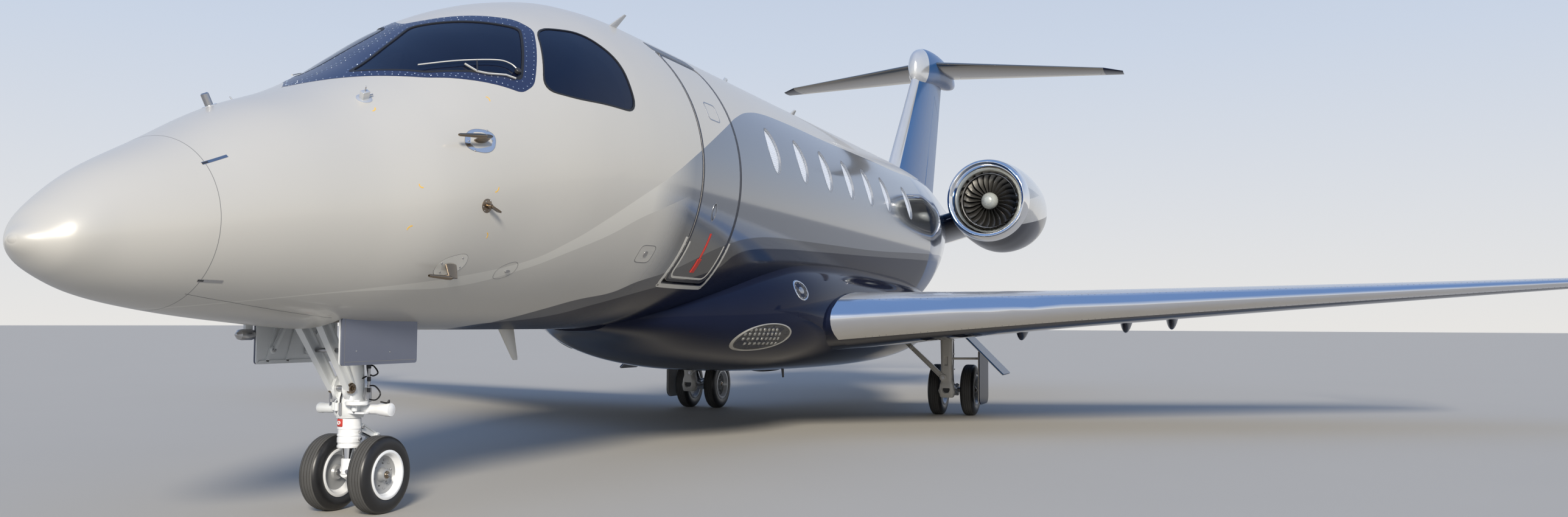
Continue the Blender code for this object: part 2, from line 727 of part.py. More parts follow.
def half_thickness(x):
    """Half thickness of a symmetric aerofoil of unit chord and unit thickness ratio."""
    return 5 * (0.2969 * math.sqrt(x) - 0.1260 * x - 0.3516 * x ** 2
                + 0.2843 * x ** 3 - 0.1015 * x ** 4)


def aerofoil_ring(lead, chord, thickness, place, grow=0.0):
    """Loop of an aerofoil; place(distance aft, height) gives the point in space."""
    ring = []
    for x in reversed(AIRFOIL_X):
        ring.append(place(lead + chord * x + (grow if x == 1.0 else 0.0),
                          half_thickness(x) * thickness * chord + grow))
    for x in AIRFOIL_X:
        ahead = grow if x == 0.0 else 0.0
        if x == 0.0:
            ring[-1] = place(lead - ahead, 0.0)
            continue
        ring.append(place(lead + chord * x + (grow if x == 1.0 else 0.0),
                          -half_thickness(x) * thickness * chord - grow))
    return ring


def wing_height(x):
    return WING_ROOT_HEIGHT + DIHEDRAL_SLOPE * (x - WING_ROOT)


def wing_ring(x, grow=0.0):
    lead = straight(WING_PLAN, x, 1)
    trail = straight(WING_PLAN, x, 2)
    thickness = straight(WING_PLAN, x, 3)
    height = wing_height(x)
    return aerofoil_ring(lead, trail - lead, thickness,
                         lambda s, up: point(x, s, height + up), grow)


def winglet_ring(span, rise, lead, chord, cant):
    lean = math.radians(cant)
    height = wing_height(span) + rise
    return aerofoil_ring(lead, chord, 0.10,
                         lambda s, up: point(span - up * math.sin(lean), s,
                                             height + up * math.cos(lean)))


def wing_solid(grow=0.0):
    spans = (WING_ROOT, WING_KINK, WING_TIP)
    rings = [wing_ring(x, grow) for x in spans]
    if not grow:
        rings += [winglet_ring(*row) for row in WINGLET]
    return loft(rings)


def hinge_frame(start, end):
    """Matrix with Z along the hinge line and X towards the trailing edge, at the line's start."""
    along = (end - start).normalized()
    aft = Vector((0, 1, 0))
    aft = (aft - along * aft.dot(along)).normalized()
    up = along.cross(aft)
    frame = Matrix((aft, up, along)).transposed().to_4x4()
    frame.translation = start
    return frame


def surface_block(start, end, radius, reach, gap_end=0.0):
    """Round-nosed block along a hinge line that takes in everything behind it."""
    length = (end - start).length
    outline = [(reach, radius), (0.0, radius)]
    for i in range(1, 8):
        a = math.pi / 2 + math.pi * i / 8
        outline.append((radius * math.cos(a), radius * math.sin(a)))
    outline += [(x, -y) for x, y in reversed(outline[:-7])]
    frame = hinge_frame(start, end)
    rings = []
    for z in (-gap_end, length + gap_end):
        rings.append([frame @ Vector((x, y, z)) for x, y in outline])
    return loft(rings)


def hinge_pins(surface, fixed, start, end, radius, length):
    """Pins on a hinge line at both ends of a surface, and their sockets in what carries it."""
    along = (end - start).normalized()
    for base, outward in ((start, -along), (end, along)):
        tip = base + outward * length
        join(surface, rod(base - outward * 0.04, tip, radius, 12))
        socket(fixed, base, tip, radius, 12)


def take_surface(fixed, start, end, radius, reach):
    """Split a round-nosed control surface off a solid, leaving a running gap around it."""
    surface = duplicate(fixed)
    common(surface, surface_block(start, end, radius, reach))
    cut(fixed, surface_block(start, end, radius + SWING_GAP, reach, gap_end=SWING_GAP))
    return surface


FLAP_NOSE_GAP = 0.006


def flap_axis_points():
    inner = point(FLAP_INNER[0], FLAP_INNER[1], wing_height(FLAP_INNER[0]) - FLAP_HINGE_DROP[0])
    outer = point(FLAP_OUTER[0], FLAP_OUTER[1], wing_height(FLAP_OUTER[0]) - FLAP_HINGE_DROP[1])
    return inner, outer


def flap_block(ahead, ends):
    """Everything behind the flap's hinge plane, between planes square to the hinge line."""
    start, end = flap_axis_points()
    frame = hinge_frame(start, end)
    length = (end - start).length
    rings = []
    for z in (-ends, length + ends):
        rings.append([frame @ Vector(p) for p in ((-ahead, -0.4, z), (1.2, -0.4, z),
                                                  (1.2, 0.6, z), (-ahead, 0.6, z))])
    return loft(rings)


def track_fairing(x):
    """Slim pod under the wing around a flap track, streamwise."""
    start, end = flap_axis_points()
    t = (x - start.x) / (end.x - start.x)
    axis_point = start.lerp(end, t)
    bottom = axis_point.z - 0.012
    top = wing_height(x) - 0.02
    rings = []
    front, rear = -0.72, 0.50 - 0.012 * (x - 2.84)
    steps = 6
    for k in range(steps + 1):
        u = k / steps
        y = axis_point.y + front + (rear - front) * u
        swell = math.sin(math.pi * min(max(u, 0.015), 0.985)) ** 0.6
        lean = (top - bottom) / 2
        rings.append([Vector((x + 0.055 * swell * math.cos(a),
                              y,
                              top - lean + lean * swell * math.sin(a)))
                      for a in [2 * math.pi * i / 8 for i in range(8)]])
    return loft(rings)


def knuckle_at(x, half_length, radius):
    start, end = flap_axis_points()
    t = (x - start.x) / (end.x - start.x)
    centre = start.lerp(end, t)
    along = (end - start).normalized()
    return rod(centre - along * half_length, centre + along * half_length, radius, 12)


def build_wing():
    wing = wing_solid()
    aileron_start = point(AILERON_INNER[0], AILERON_INNER[1], wing_height(AILERON_INNER[0]))
    aileron_end = point(AILERON_OUTER[0], AILERON_OUTER[1], wing_height(AILERON_OUTER[0]))
    aileron = take_surface(wing, aileron_start, aileron_end, AILERON_NOSE, 0.8)
    hinge_pins(aileron, wing, aileron_start, aileron_end, 0.014, 0.05)

    flap = duplicate(wing)
    common(flap, flap_block(0.0, 0.0))
    cut(wing, flap_block(FLAP_NOSE_GAP, SWING_GAP))
    start, end = flap_axis_points()
    frame = hinge_frame(start, end)
    aft = (frame.to_3x3() @ Vector((1, 0, 0))).normalized()
    for x in TRACK_FAIRINGS:
        pod = track_fairing(x)
        front_half = duplicate(pod)
        halve(front_half, start - aft * FLAP_NOSE_GAP, aft)
        halve(pod, start, -aft)
        join(wing, front_half)
        join(pod, knuckle_at(x, 0.025, 0.016))
        join(flap, pod)
        cut(wing, knuckle_at(x, 0.030, 0.0166))
    pad_bottom = point(WING_PAD_X, WING_PAD_STATION, wing_height(WING_PAD_X) - WING_PAD_DROP)
    join(wing, rod(pad_bottom, pad_bottom + Vector((0, 0, 0.12)), JACK_PAD_RADIUS))
    leg_top = point(MAIN_X, MAIN_LEG, LEG_TOP)
    socket(wing, point(MAIN_X, MAIN_LEG, 0.9), leg_top, LEG_RADIUS, 14)
    keep_pair(largest_island(wing), "wing", "navy")
    keep_pair(largest_island(flap), "flap", "navy", (start + end) / 2)
    keep_pair(largest_island(aileron), "aileron", "navy", (aileron_start + aileron_end) / 2)


# Tail

def fin_ring(z):
    lead = straight(FIN_PLAN, z, 1)
    trail = straight(FIN_PLAN, z, 2)
    return aerofoil_ring(lead, trail - lead, FIN_THICKNESS, lambda s, up: point(up, s, z))


# Tail bullet: station, half-width, lowest and highest height
BULLET = [(17.27, 0.03, 5.74, 5.90), (17.32, 0.09, 5.64, 6.06), (17.5, 0.15, 5.60, 6.22),
          (17.86, 0.19, 5.64, 6.335), (18.4, 0.215, 5.74, 6.40), (19.0, 0.22, 5.83, 6.42),
          (19.6, 0.20, 5.90, 6.39), (20.1, 0.15, 5.96, 6.32), (20.5, 0.085, 6.04, 6.25),
          (LENGTH - NOSE_FLAT, 0.02, 6.12, 6.17)]


def bullet_solid(grow=0.0):
    return loft([super_ring(w + grow, low - grow, high + grow, s, 2.2, 12)
                 for s, w, low, high in BULLET])


def tail_ring(x, grow=0.0):
    span = abs(x)
    lead = straight(TAIL_PLAN, span, 1)
    trail = straight(TAIL_PLAN, span, 2)
    thickness = straight(TAIL_PLAN, span, 3)
    return aerofoil_ring(lead, trail - lead, thickness,
                         lambda s, up: point(x, s, TAIL_HEIGHT + up), grow)


def tailplane_solid(grow=0.0):
    spans = (-3.48, -3.14, 0.0, 3.14, 3.48)
    return loft([tail_ring(x, grow) for x in spans])


def build_tail():
    fin = loft([fin_ring(z) for z in (3.2, 4.2, 5.1, 6.05)])
    cut(fin, fuselage_core(REAR_JOINT, TAIL_END, ALL_STATIONS, -FIT_GAP))
    cut(fin, bullet_solid(FIT_GAP))
    largest_island(fin)
    low = point(0, RUDDER_LOW[1], RUDDER_LOW[0])
    high = point(0, RUDDER_HIGH[1], RUDDER_HIGH[0])
    along = (high - low).normalized()
    rudder = duplicate(fin)
    block = surface_block(low - along * 0.6, high, RUDDER_NOSE, 1.6)
    floor_cut = crown_at(RUDDER_LOW[1]) + RUDDER_FLOOR_GAP
    halve(block, point(0, RUDDER_LOW[1], floor_cut), Vector((0, -CROWN_FALL, -1)))
    common(rudder, block)
    gap_block = surface_block(low - along * 0.9, high + along * SWING_GAP,
                              RUDDER_NOSE + SWING_GAP, 1.8)
    cut(fin, gap_block)
    largest_island(fin)
    pin_base = low + along * 0.12
    join(rudder, rod(pin_base, low - along * 0.06, 0.02, 12))
    join(rudder, rod(high - along * 0.04, high + along * 0.05, 0.016, 12))
    socket(fin, high, high + along * 0.05, 0.016, 12)
    bullet = bullet_solid()
    cut(bullet, tailplane_solid(FIT_GAP))
    tailplane = tailplane_solid()
    start = point(ELEVATOR_INNER[0], ELEVATOR_INNER[1], TAIL_HEIGHT)
    end = point(ELEVATOR_OUTER[0], ELEVATOR_OUTER[1], TAIL_HEIGHT)
    elevator = take_surface(tailplane, start, end, ELEVATOR_NOSE, 0.9)
    hinge_pins(elevator, tailplane, start, end, 0.010, 0.03)
    mirror_start = Vector((-start.x, start.y, start.z))
    mirror_end = Vector((-end.x, end.y, end.z))
    elevator_twin = take_surface(tailplane, mirror_start, mirror_end, ELEVATOR_NOSE, 0.9)
    bpy.data.objects.remove(elevator_twin, do_unlink=True)
    for base, other in ((mirror_start, mirror_end), (mirror_end, mirror_start)):
        outward = (base - other).normalized()
        socket(tailplane, base, base + outward * 0.03, 0.010, 12)
    keep(largest_island(fin), "fin", "blue")
    keep(largest_island(rudder), "rudder", "blue", (low + high) / 2)
    keep(largest_island(bullet), "tail_bullet", "blue")
    keep(largest_island(tailplane), "tailplane", "bronze")
    keep_pair(largest_island(elevator), "elevator", "bronze", (start + end) / 2)
    aft = shell(REAR_JOINT, TAIL_END, TAIL_STATIONS, rear_closed=TAIL_END - WALL)
    socket(aft, pin_base, low - along * 0.06, 0.02, 12)
    keep(largest_island(aft), "aft_fuselage", "pearl")


# Engines

# Cowl outline: station, half-width, radius below and radius above the engine's axis
COWL = [(LIP_END, 0.660, 0.668, 0.660), (15.9, 0.690, 0.735, 0.690), (16.6, 0.692, 0.775, 0.695),
        (17.5, 0.645, 0.695, 0.650), (18.3, 0.535, 0.545, 0.540),
        (NOZZLE_STATION, 0.440, 0.440, 0.440)]
DUCT = [(LIP_END, DUCT_RADIUS), (15.9, DUCT_RADIUS), (16.5, 0.50),
        (NOZZLE_STATION, 0.405)]
ENGINE_SEGMENTS = 24
HUB_REAR = 0.15           # rear face of the fan's hub, aft of the fan station
STRUT_FRONT, STRUT_REAR = 16.5, 17.0
PYLON_ENDS = ((0.55, 2.80), (1.6, 3.10))
PYLON_SECTION = (15.55, 3.0, 0.13)    # leading edge, chord, thickness ratio


def cowl_ring(station, half_width, below, above):
    ring = []
    for i in range(ENGINE_SEGMENTS):
        a = 2 * math.pi * (i + 0.5) / ENGINE_SEGMENTS
        up = math.cos(a)
        ring.append(point(ENGINE_X + half_width * math.sin(a), station,
                          ENGINE_Z + (above if up > 0 else below) * up))
    return ring


def round_ring(station, radius):
    return cowl_ring(station, radius, radius, radius)


def cowl_solid(grow=0.0):
    return loft([cowl_ring(s, w + grow, b + grow, a + grow) for s, w, b, a in COWL])


def build_engine():
    lip_outer = [(LIP_END - FIT_GAP, 0.660), (15.27, 0.647), (15.185, 0.622)]
    lip_inner = [(LIP_STATION, 0.595), (15.185, 0.558), (15.27, 0.495),
                 (LIP_END - FIT_GAP, DUCT_RADIUS)]
    rings = [cowl_ring(s, r, r + (0.008 if s > 15.39 else 0.0), r) for s, r in lip_outer]
    rings += [round_ring(s, r) for s, r in lip_inner]
    keep_pair(loft(rings, loop=True), "inlet_lip", "polished")

    outer = [cowl_ring(*row) for row in COWL]
    inner = [round_ring(s, r) for s, r in reversed(DUCT)]
    keep_pair(loft(outer + inner, loop=True), "nacelle", "pearl")

    axis = point(ENGINE_X, FAN_STATION, ENGINE_Z)
    spinner = [(0.0, -0.135), (0.035, -0.125), (0.075, -0.085), (0.105, -0.03), (0.115, 0.03),
               (0.115, HUB_REAR), (0.0, HUB_REAR)]
    fan = turned(spinner, axis, "Y", 16)
    join(fan, blade_ring(axis))
    keep_pair(largest_island(fan), "fan", "engine", axis)

    core_front = HUB_REAR + FIT_GAP
    core_profile = [(0.0, core_front), (0.09, core_front), (0.09, 0.30), (0.26, 0.40),
                    (0.33, 1.3), (0.30, 2.3), (0.0, 3.28)]
    core = turned(core_profile, axis, "Y", 12)
    duct_space = loft([round_ring(s, r - FIT_GAP) for s, r in DUCT])
    for degrees in (45, 135, 225, 315):
        strut = box(point(-0.02, STRUT_FRONT, 0.2), point(0.02, STRUT_REAR, 0.6))
        turn = Matrix.Translation((ENGINE_X, 0, ENGINE_Z)) @ Matrix.Rotation(
            math.radians(degrees), 4, "Y")
        strut.data.transform(turn)
        common(strut, duct_space, keep_tool=True)
        join(core, strut)
    bpy.data.objects.remove(duct_space, do_unlink=True)
    keep_pair(largest_island(core), "engine_core", "dark")

    pylon_rings = []
    for x, z in PYLON_ENDS:
        pylon_rings.append(aerofoil_ring(*PYLON_SECTION,
                                         lambda s, up, x=x, z=z: point(x, s, z + up)))
    pylon = cut(loft(pylon_rings), cowl_solid(FIT_GAP))
    for name, body in (("pylon_starboard", mirrored(pylon)), ("pylon_port", pylon)):
        cut(body, fuselage_core(REAR_JOINT, TAIL_END, ALL_STATIONS, -FIT_GAP))
        keep(largest_island(body), name, "navy")


def blade_ring(axis):
    """All the fan blades as one mesh of separate twisted plates, to join to the hub."""
    bm = bmesh.new()
    sections = ((0.09, 0.14, 0.012, 30.0), (BLADE_TIP, 0.165, 0.006, 58.0))
    for blade in range(BLADES):
        turn = Matrix.Translation(axis) @ Matrix.Rotation(2 * math.pi * blade / BLADES, 4, "Y")
        rows = []
        for radius, chord, thickness, twist in sections:
            lean = math.radians(twist)
            corners = []
            for u, v in ((-0.5, -0.5), (0.5, -0.5), (0.5, 0.5), (-0.5, 0.5)):
                along = chord * u
                across = thickness * v
                y = 0.06 + along * math.cos(lean) - across * math.sin(lean)
                x = along * math.sin(lean) + across * math.cos(lean)
                corners.append(bm.verts.new(turn @ Vector((x, y, radius))))
            rows.append(corners)
        for near, far in zip(rows, rows[1:]):
            for i in range(4):
                j = (i + 1) % 4
                bm.faces.new((near[i], near[j], far[j], far[i]))
        bm.faces.new(list(reversed(rows[0])))
        bm.faces.new(rows[-1])
    return from_bmesh("blades", bm)


# Landing gear

STEERING_JOINT = 0.60
TRUNNION_HEIGHT = 1.25
DRAG_BRACE_STATION = 1.93
NOSE_AXLE_RADIUS, MAIN_AXLE_RADIUS = 0.022, 0.032
TORQUE_LINK_APEX = (2.545, 0.47)
NOSE_DOOR_BOTTOM = 0.945
LEG_RADIUS = 0.06
LEG_TOP = 1.235
SIDE_BRACE_RADIUS = 0.022
SIDE_BRACE = (point(1.79, MAIN_LEG, 0.507), point(1.24, MAIN_LEG, 1.016))


DOOR_PANEL = 0.022        # thickness of the gear's doors
DOOR_LINK_HEIGHT = 0.76
LEG_DOOR_X = 2.215
WING_DOOR_EDGES = (Vector((2.65, 0, 0.585)), Vector((2.02, 0, 1.21)))
WING_DOOR_STATIONS = (11.05, 11.57)


def tyre_profile(radius, half_width, rim):
    """Closed outline of a tyre; its flats stand the given radius from the axle."""
    grow = 1 / math.cos(math.pi / WHEEL_SEGMENTS)
    depth = radius - rim
    half = [(rim + FIT_GAP, 0.74), (rim + 0.55 * depth, 1.0), (radius, 0.55)]
    outline = [(r * grow, -w * half_width) for r, w in half]
    outline += [(r * grow, w * half_width) for r, w in reversed(half)]
    return outline


def spool_profile(offset, rim, half_width, axle):
    """Twin rims on a live axle, from one end to the other."""
    grow = 1 / math.cos(math.pi / WHEEL_SEGMENTS)
    edge = half_width * 0.78
    half = [(0.0, offset + 0.80 * half_width), (0.24 * rim, offset + 0.80 * half_width),
            (0.28 * rim, offset + 0.15 * half_width), (0.80 * rim, offset + 0.15 * half_width),
            (0.88 * rim, offset + edge), (rim * grow, offset + edge),
            (rim * grow, offset - edge), (0.80 * rim, offset - 0.50 * half_width),
            (axle, offset - 0.50 * half_width)]
    return half + [(r, -x) for r, x in reversed(half)]


def build_nose_gear():
    def strut(z):
        return point(0, NOSE_STRUT, z)

    def trunnion(station, radius):
        reach = NOSE_WELL_HALF - FIT_GAP
        return rod(point(-reach, station, TRUNNION_HEIGHT), point(reach, station, TRUNNION_HEIGHT),
                   radius)

    leg = rod(strut(STEERING_JOINT + FIT_GAP), strut(1.29), 0.065, 14)
    collar = rod(strut(0.62), strut(0.71), 0.088, 14)
    steering_cylinder = rod(point(-0.26, NOSE_STRUT + 0.03, 0.655),
                            point(0.30, NOSE_STRUT + 0.03, 0.655), 0.032)
    brace_lug = box(point(-0.07, NOSE_STRUT - 0.11, 0.72), point(0.07, NOSE_STRUT, 0.86))
    join(leg, trunnion(NOSE_STRUT, 0.034), collar, steering_cylinder, brace_lug,
         trunnion(DRAG_BRACE_STATION, 0.026))
    for side in (-1, 1):
        join(leg, rod(point(0.13 * side, DRAG_BRACE_STATION, TRUNNION_HEIGHT),
                      point(0.05 * side, NOSE_STRUT - 0.08, 0.79), 0.021, 12))
    keep(largest_island(leg), "nose_gear_leg", "gear")

    axle_y, axle_z = NOSE_AXLE
    axle = NOSE_AXLE_RADIUS
    fork = rod(strut(0.42), strut(STEERING_JOINT), 0.070, 14)
    oleo = rod(strut(0.27), strut(0.45), 0.038)
    foot = box(point(-0.045, NOSE_STRUT - 0.045, axle_z - 0.03),
               point(0.045, axle_y + 0.02, axle_z + 0.075))
    knuckle = rod(point(-0.05, axle_y, axle_z), point(0.05, axle_y, axle_z), 0.052, 14)
    join(fork, oleo, foot, knuckle)
    apex_y, apex_z = TORQUE_LINK_APEX
    for side in (-1, 1):
        x = 0.030 * side
        apex = point(x * 0.8, apex_y, apex_z)
        join(fork, rod(point(x, NOSE_STRUT + 0.05, 0.53), apex, 0.014, 10),
             rod(point(x, axle_y + 0.02, 0.29), apex, 0.014, 10))
    join(fork, rod(point(-0.045, apex_y, apex_z), point(0.045, apex_y, apex_z), 0.018, 12))
    socket(fork, point(-0.2, axle_y, axle_z), point(0.2, axle_y, axle_z), axle, 14)
    keep(largest_island(fork), "nose_gear_fork", "gear", strut(0.5))

    centre = point(0, axle_y, axle_z)
    wheel = turned(spool_profile(NOSE_WHEEL_OFFSET, NOSE_TYRE["rim"], NOSE_TYRE["half_width"],
                                 axle), centre, "X", WHEEL_SEGMENTS)
    keep(wheel, "nose_wheel", "rim", centre)
    tyre_centre = point(NOSE_WHEEL_OFFSET, axle_y, axle_z)
    tyre = turned(tyre_profile(**NOSE_TYRE), tyre_centre, "X", WHEEL_SEGMENTS, closed=True)
    keep_pair(tyre, "nose_tyre", "rubber", tyre_centre)

    door = box(point(NOSE_WELL_HALF + 0.004, NOSE_WELL_FRONT, NOSE_DOOR_BOTTOM),
               point(NOSE_WELL_HALF + 0.026, NOSE_WELL_REAR - 0.05, 1.5))
    cut(door, fuselage_core(FORWARD_STATIONS[0], FORWARD_JOINT, ALL_STATIONS, -FIT_GAP))
    keep_pair(largest_island(door), "nose_gear_door", "door_grey")


def build_main_gear():
    axle_y, axle_z = MAIN_AXLE
    axle = MAIN_AXLE_RADIUS
    leg = rod(point(MAIN_X, MAIN_LEG, 0.40), point(MAIN_X, MAIN_LEG, LEG_TOP), LEG_RADIUS, 14)
    arm_pivot = box(point(MAIN_X - 0.07, MAIN_LEG - 0.07, 0.255),
                    point(MAIN_X + 0.07, MAIN_LEG + 0.07, 0.44))
    trailing_arm = rod(point(MAIN_X, MAIN_LEG, 0.345), point(MAIN_X, axle_y, axle_z), 0.05)
    knuckle = rod(point(MAIN_X - 0.055, axle_y, axle_z), point(MAIN_X + 0.055, axle_y, axle_z),
                  0.078, 14)
    shock = rod(point(MAIN_X, 11.88, 0.36), point(MAIN_X, MAIN_LEG + 0.03, 0.90), 0.032)
    side_brace = rod(SIDE_BRACE[0], SIDE_BRACE[1], SIDE_BRACE_RADIUS)
    door_link = rod(point(MAIN_X, MAIN_LEG, DOOR_LINK_HEIGHT),
                    point(LEG_DOOR_X - 0.0072, 11.80, DOOR_LINK_HEIGHT), 0.015, 12)
    join(leg, arm_pivot, trailing_arm, knuckle, shock, side_brace, door_link)
    socket(leg, point(MAIN_X - 0.2, axle_y, axle_z), point(MAIN_X + 0.2, axle_y, axle_z),
           axle, 14)
    keep_pair(largest_island(leg), "main_gear_leg", "gear")

    centre = point(MAIN_X, axle_y, axle_z)
    wheel = turned(spool_profile(MAIN_WHEEL_OFFSET, MAIN_TYRE["rim"], MAIN_TYRE["half_width"],
                                 axle), centre, "X", WHEEL_SEGMENTS)
    keep_pair(wheel, "main_wheel", "rim", centre)
    for name, offset in (("outer", MAIN_WHEEL_OFFSET), ("inner", -MAIN_WHEEL_OFFSET)):
        tyre_centre = point(MAIN_X + offset, axle_y, axle_z)
        tyre = turned(tyre_profile(**MAIN_TYRE), tyre_centre, "X", WHEEL_SEGMENTS, closed=True)
        keep_pair(tyre, "main_tyre_" + name, "rubber", tyre_centre)

    leg_door = box(point(LEG_DOOR_X, 11.70, 0.16),
                   point(LEG_DOOR_X + DOOR_PANEL, 12.32, 0.86))
    keep_pair(leg_door, "main_gear_leg_door", "navy")
    low, high = WING_DOOR_EDGES
    across = (high - low).normalized()
    normal = Vector((across.z, 0, -across.x)) * (DOOR_PANEL / 2)
    rings = []
    for station in WING_DOOR_STATIONS:
        offset = point(0, station, 0)
        rings.append([offset + low + normal, offset + high + normal,
                      offset + high - normal, offset + low - normal])
    wing_door = loft(rings)
    cut(wing_door, wing_solid(FIT_GAP))
    keep_pair(largest_island(wing_door), "main_gear_wing_door", "blue")


build_fuselage()
build_cabin_window_panels()
build_interior()
build_belly_fairing()
build_wing()
build_tail()
build_engine()
build_nose_gear()
build_main_gear()
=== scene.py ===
"""Looks of a parked mid-size business jet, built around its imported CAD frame.

Metres; the nose points along -Y, port is +X, +Z is up. A station is metres aft of the nose tip.
"""

import math

import bmesh
import bpy
import numpy as np
from mathutils import Matrix, Vector


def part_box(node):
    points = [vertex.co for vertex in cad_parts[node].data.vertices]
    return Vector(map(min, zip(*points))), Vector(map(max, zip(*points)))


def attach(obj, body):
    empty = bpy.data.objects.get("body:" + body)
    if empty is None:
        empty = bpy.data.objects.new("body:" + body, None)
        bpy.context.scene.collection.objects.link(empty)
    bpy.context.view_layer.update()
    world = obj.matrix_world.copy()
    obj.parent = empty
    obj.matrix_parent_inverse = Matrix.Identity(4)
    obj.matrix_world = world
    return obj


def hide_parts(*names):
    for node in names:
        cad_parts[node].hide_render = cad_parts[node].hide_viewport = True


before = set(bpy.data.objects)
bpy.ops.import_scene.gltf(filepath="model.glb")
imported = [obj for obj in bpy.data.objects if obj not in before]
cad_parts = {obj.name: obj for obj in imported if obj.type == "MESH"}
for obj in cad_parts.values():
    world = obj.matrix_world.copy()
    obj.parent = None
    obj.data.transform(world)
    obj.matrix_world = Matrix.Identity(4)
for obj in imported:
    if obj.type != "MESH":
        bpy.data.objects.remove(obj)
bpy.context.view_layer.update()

# Driving dimensions, as in the CAD source
LENGTH = 20.74
NOSE_FLAT = 0.004
FIT_GAP = 0.0003
SWING_GAP = 0.008
WALL = 0.09
CROWN = [(0, 1.579), (0.05, 1.649), (0.15, 1.772), (0.34, 1.938), (0.75, 2.164), (1.23, 2.417),
         (1.64, 2.577), (2.1, 2.805), (2.44, 3.02), (2.81, 3.249), (3.22, 3.443), (3.67, 3.599),
         (4.17, 3.714), (4.72, 3.757), (5.34, 3.758), (15.0, 3.758), (17.0, 3.70), (19.55, 3.45)]
KEEL = [(0, 1.579), (0.05, 1.502), (0.17, 1.412), (0.36, 1.331), (0.75, 1.258), (1.23, 1.206),
        (2.0, 1.157), (3.2, 1.152), (12.6, 1.152), (13.8, 1.23), (15.0, 1.50), (16.5, 1.93),
        (18.0, 2.40), (19.55, 2.88)]
HALF_WIDTH = [(0, 0.0), (0.05, 0.111), (0.15, 0.232), (0.35, 0.32), (0.75, 0.478), (1.23, 0.631),
              (1.64, 0.744), (2.1, 0.891), (2.8, 1.028), (3.5, 1.162), (4.2, 1.24), (5.0, 1.277),
              (5.8, 1.283), (13.0, 1.283), (14.0, 1.22), (15.0, 1.07), (16.0, 0.86),
              (17.0, 0.65), (18.0, 0.46), (19.55, 0.22)]
RADOME_JOINT, FORWARD_JOINT, REAR_JOINT, TAIL_END = 0.75, 4.55, 13.2, 19.55
FORWARD_BULKHEAD = 1.02
DOOR_FRONT, DOOR_REAR = 4.942, 5.734
DOOR_BOTTOM_ANGLE, DOOR_TOP_ANGLE = 134.0, 41.0
DOOR_SILL_EXTRA = 0.013
WINDOW_HEIGHT = 2.843
WINDOW_SIZE = (0.30, 0.455)
FIRST_WINDOW, WINDOW_PITCH, EVEN_WINDOWS = 6.707, 0.819, 6
LAST_WINDOW = FIRST_WINDOW + 6.37 * WINDOW_PITCH
WINDOW_STATIONS = [FIRST_WINDOW + i * WINDOW_PITCH for i in range(EVEN_WINDOWS)] + [LAST_WINDOW]

RING_STEPS = 144          # facets around the fuselage


# Places

def point(x, station, z):
    return Vector((x, station - LENGTH / 2, z))


def smooth_curve(knots):
    """Monotone cubic through the knots, in the square root of the station so the nose is round."""
    xs = np.sqrt(np.array([knot[0] for knot in knots], float))
    ys = np.array([knot[1] for knot in knots], float)
    steps = np.diff(xs)
    slopes = np.diff(ys) / steps
    tangents = [slopes[0]]
    for before, after, first, second in zip(slopes, slopes[1:], steps, steps[1:]):
        if before * after <= 0:
            tangents.append(0.0)
            continue
        weight_a = 2 * second + first
        weight_b = second + 2 * first
        tangents.append((weight_a + weight_b) / (weight_a / before + weight_b / after))
    tangents = np.array(tangents + [slopes[-1]])

    def value(station):
        x = np.sqrt(np.maximum(np.asarray(station, float), 0.0))
        i = np.clip(np.searchsorted(xs, x, side="left") - 1, 0, len(steps) - 1)
        step = steps[i]
        t = (x - xs[i]) / step
        rise = (1 + 2 * t) * (1 - t) ** 2 * ys[i] + t * t * (3 - 2 * t) * ys[i + 1]
        bend = t * (1 - t) ** 2 * tangents[i] - t * t * (1 - t) * tangents[i + 1]
        return rise + step * bend

    return value


crown_at = smooth_curve(CROWN)
keel_at = smooth_curve(KEEL)
half_width_at = smooth_curve(HALF_WIDTH)


def straight(rows, x, column):
    """Value of a column at x, straight between the rows and past their ends."""
    i = 0
    while i < len(rows) - 2 and x > rows[i + 1][0]:
        i += 1
    low, high = rows[i], rows[i + 1]
    return low[column] + (high[column] - low[column]) * (x - low[0]) / (high[0] - low[0])


def skin_normals(places):
    """Outward normals of the fuselage's smooth surface at points on or near it."""
    station = places[:, 1] + LENGTH / 2

    def field(s):
        crown, keel = crown_at(s), keel_at(s)
        across = places[:, 0] / np.maximum(half_width_at(s), 0.001)
        upward = (places[:, 2] - (crown + keel) / 2) / ((crown - keel) / 2)
        return across, upward, (crown - keel) / 2

    step = 0.004
    across, upward, half = field(station)
    ahead = field(np.maximum(station - step, 0.002))
    behind = field(station + step)
    slope = (behind[0] ** 2 + behind[1] ** 2 - ahead[0] ** 2 - ahead[1] ** 2) / (2 * step)
    width = np.maximum(half_width_at(station), 0.001)
    normal = np.stack([2 * across / width, slope, 2 * upward / half], axis=1)
    return normal / np.linalg.norm(normal, axis=1)[:, None]


def skin(station, degrees, inset=0.0):
    """Points of the fuselage skin; the angle runs from the crown down the port side."""
    station, degrees = np.broadcast_arrays(np.asarray(station, float), np.asarray(degrees, float))
    angle = np.radians(degrees)
    crown, keel = crown_at(station), keel_at(station)
    x = (half_width_at(station) - inset) * np.sin(angle)
    z = (crown + keel) / 2 + ((crown - keel) / 2 - inset) * np.cos(angle)
    return np.stack([x, station - LENGTH / 2, z], axis=-1)


def metres_per_degree(station):
    return math.radians(1) * float(half_width_at(station))


def skin_out(station, degrees, lift):
    """Points a little proud of the skin, along its normal."""
    places = skin(station, degrees).reshape(-1, 3)
    return places + skin_normals(places) * lift


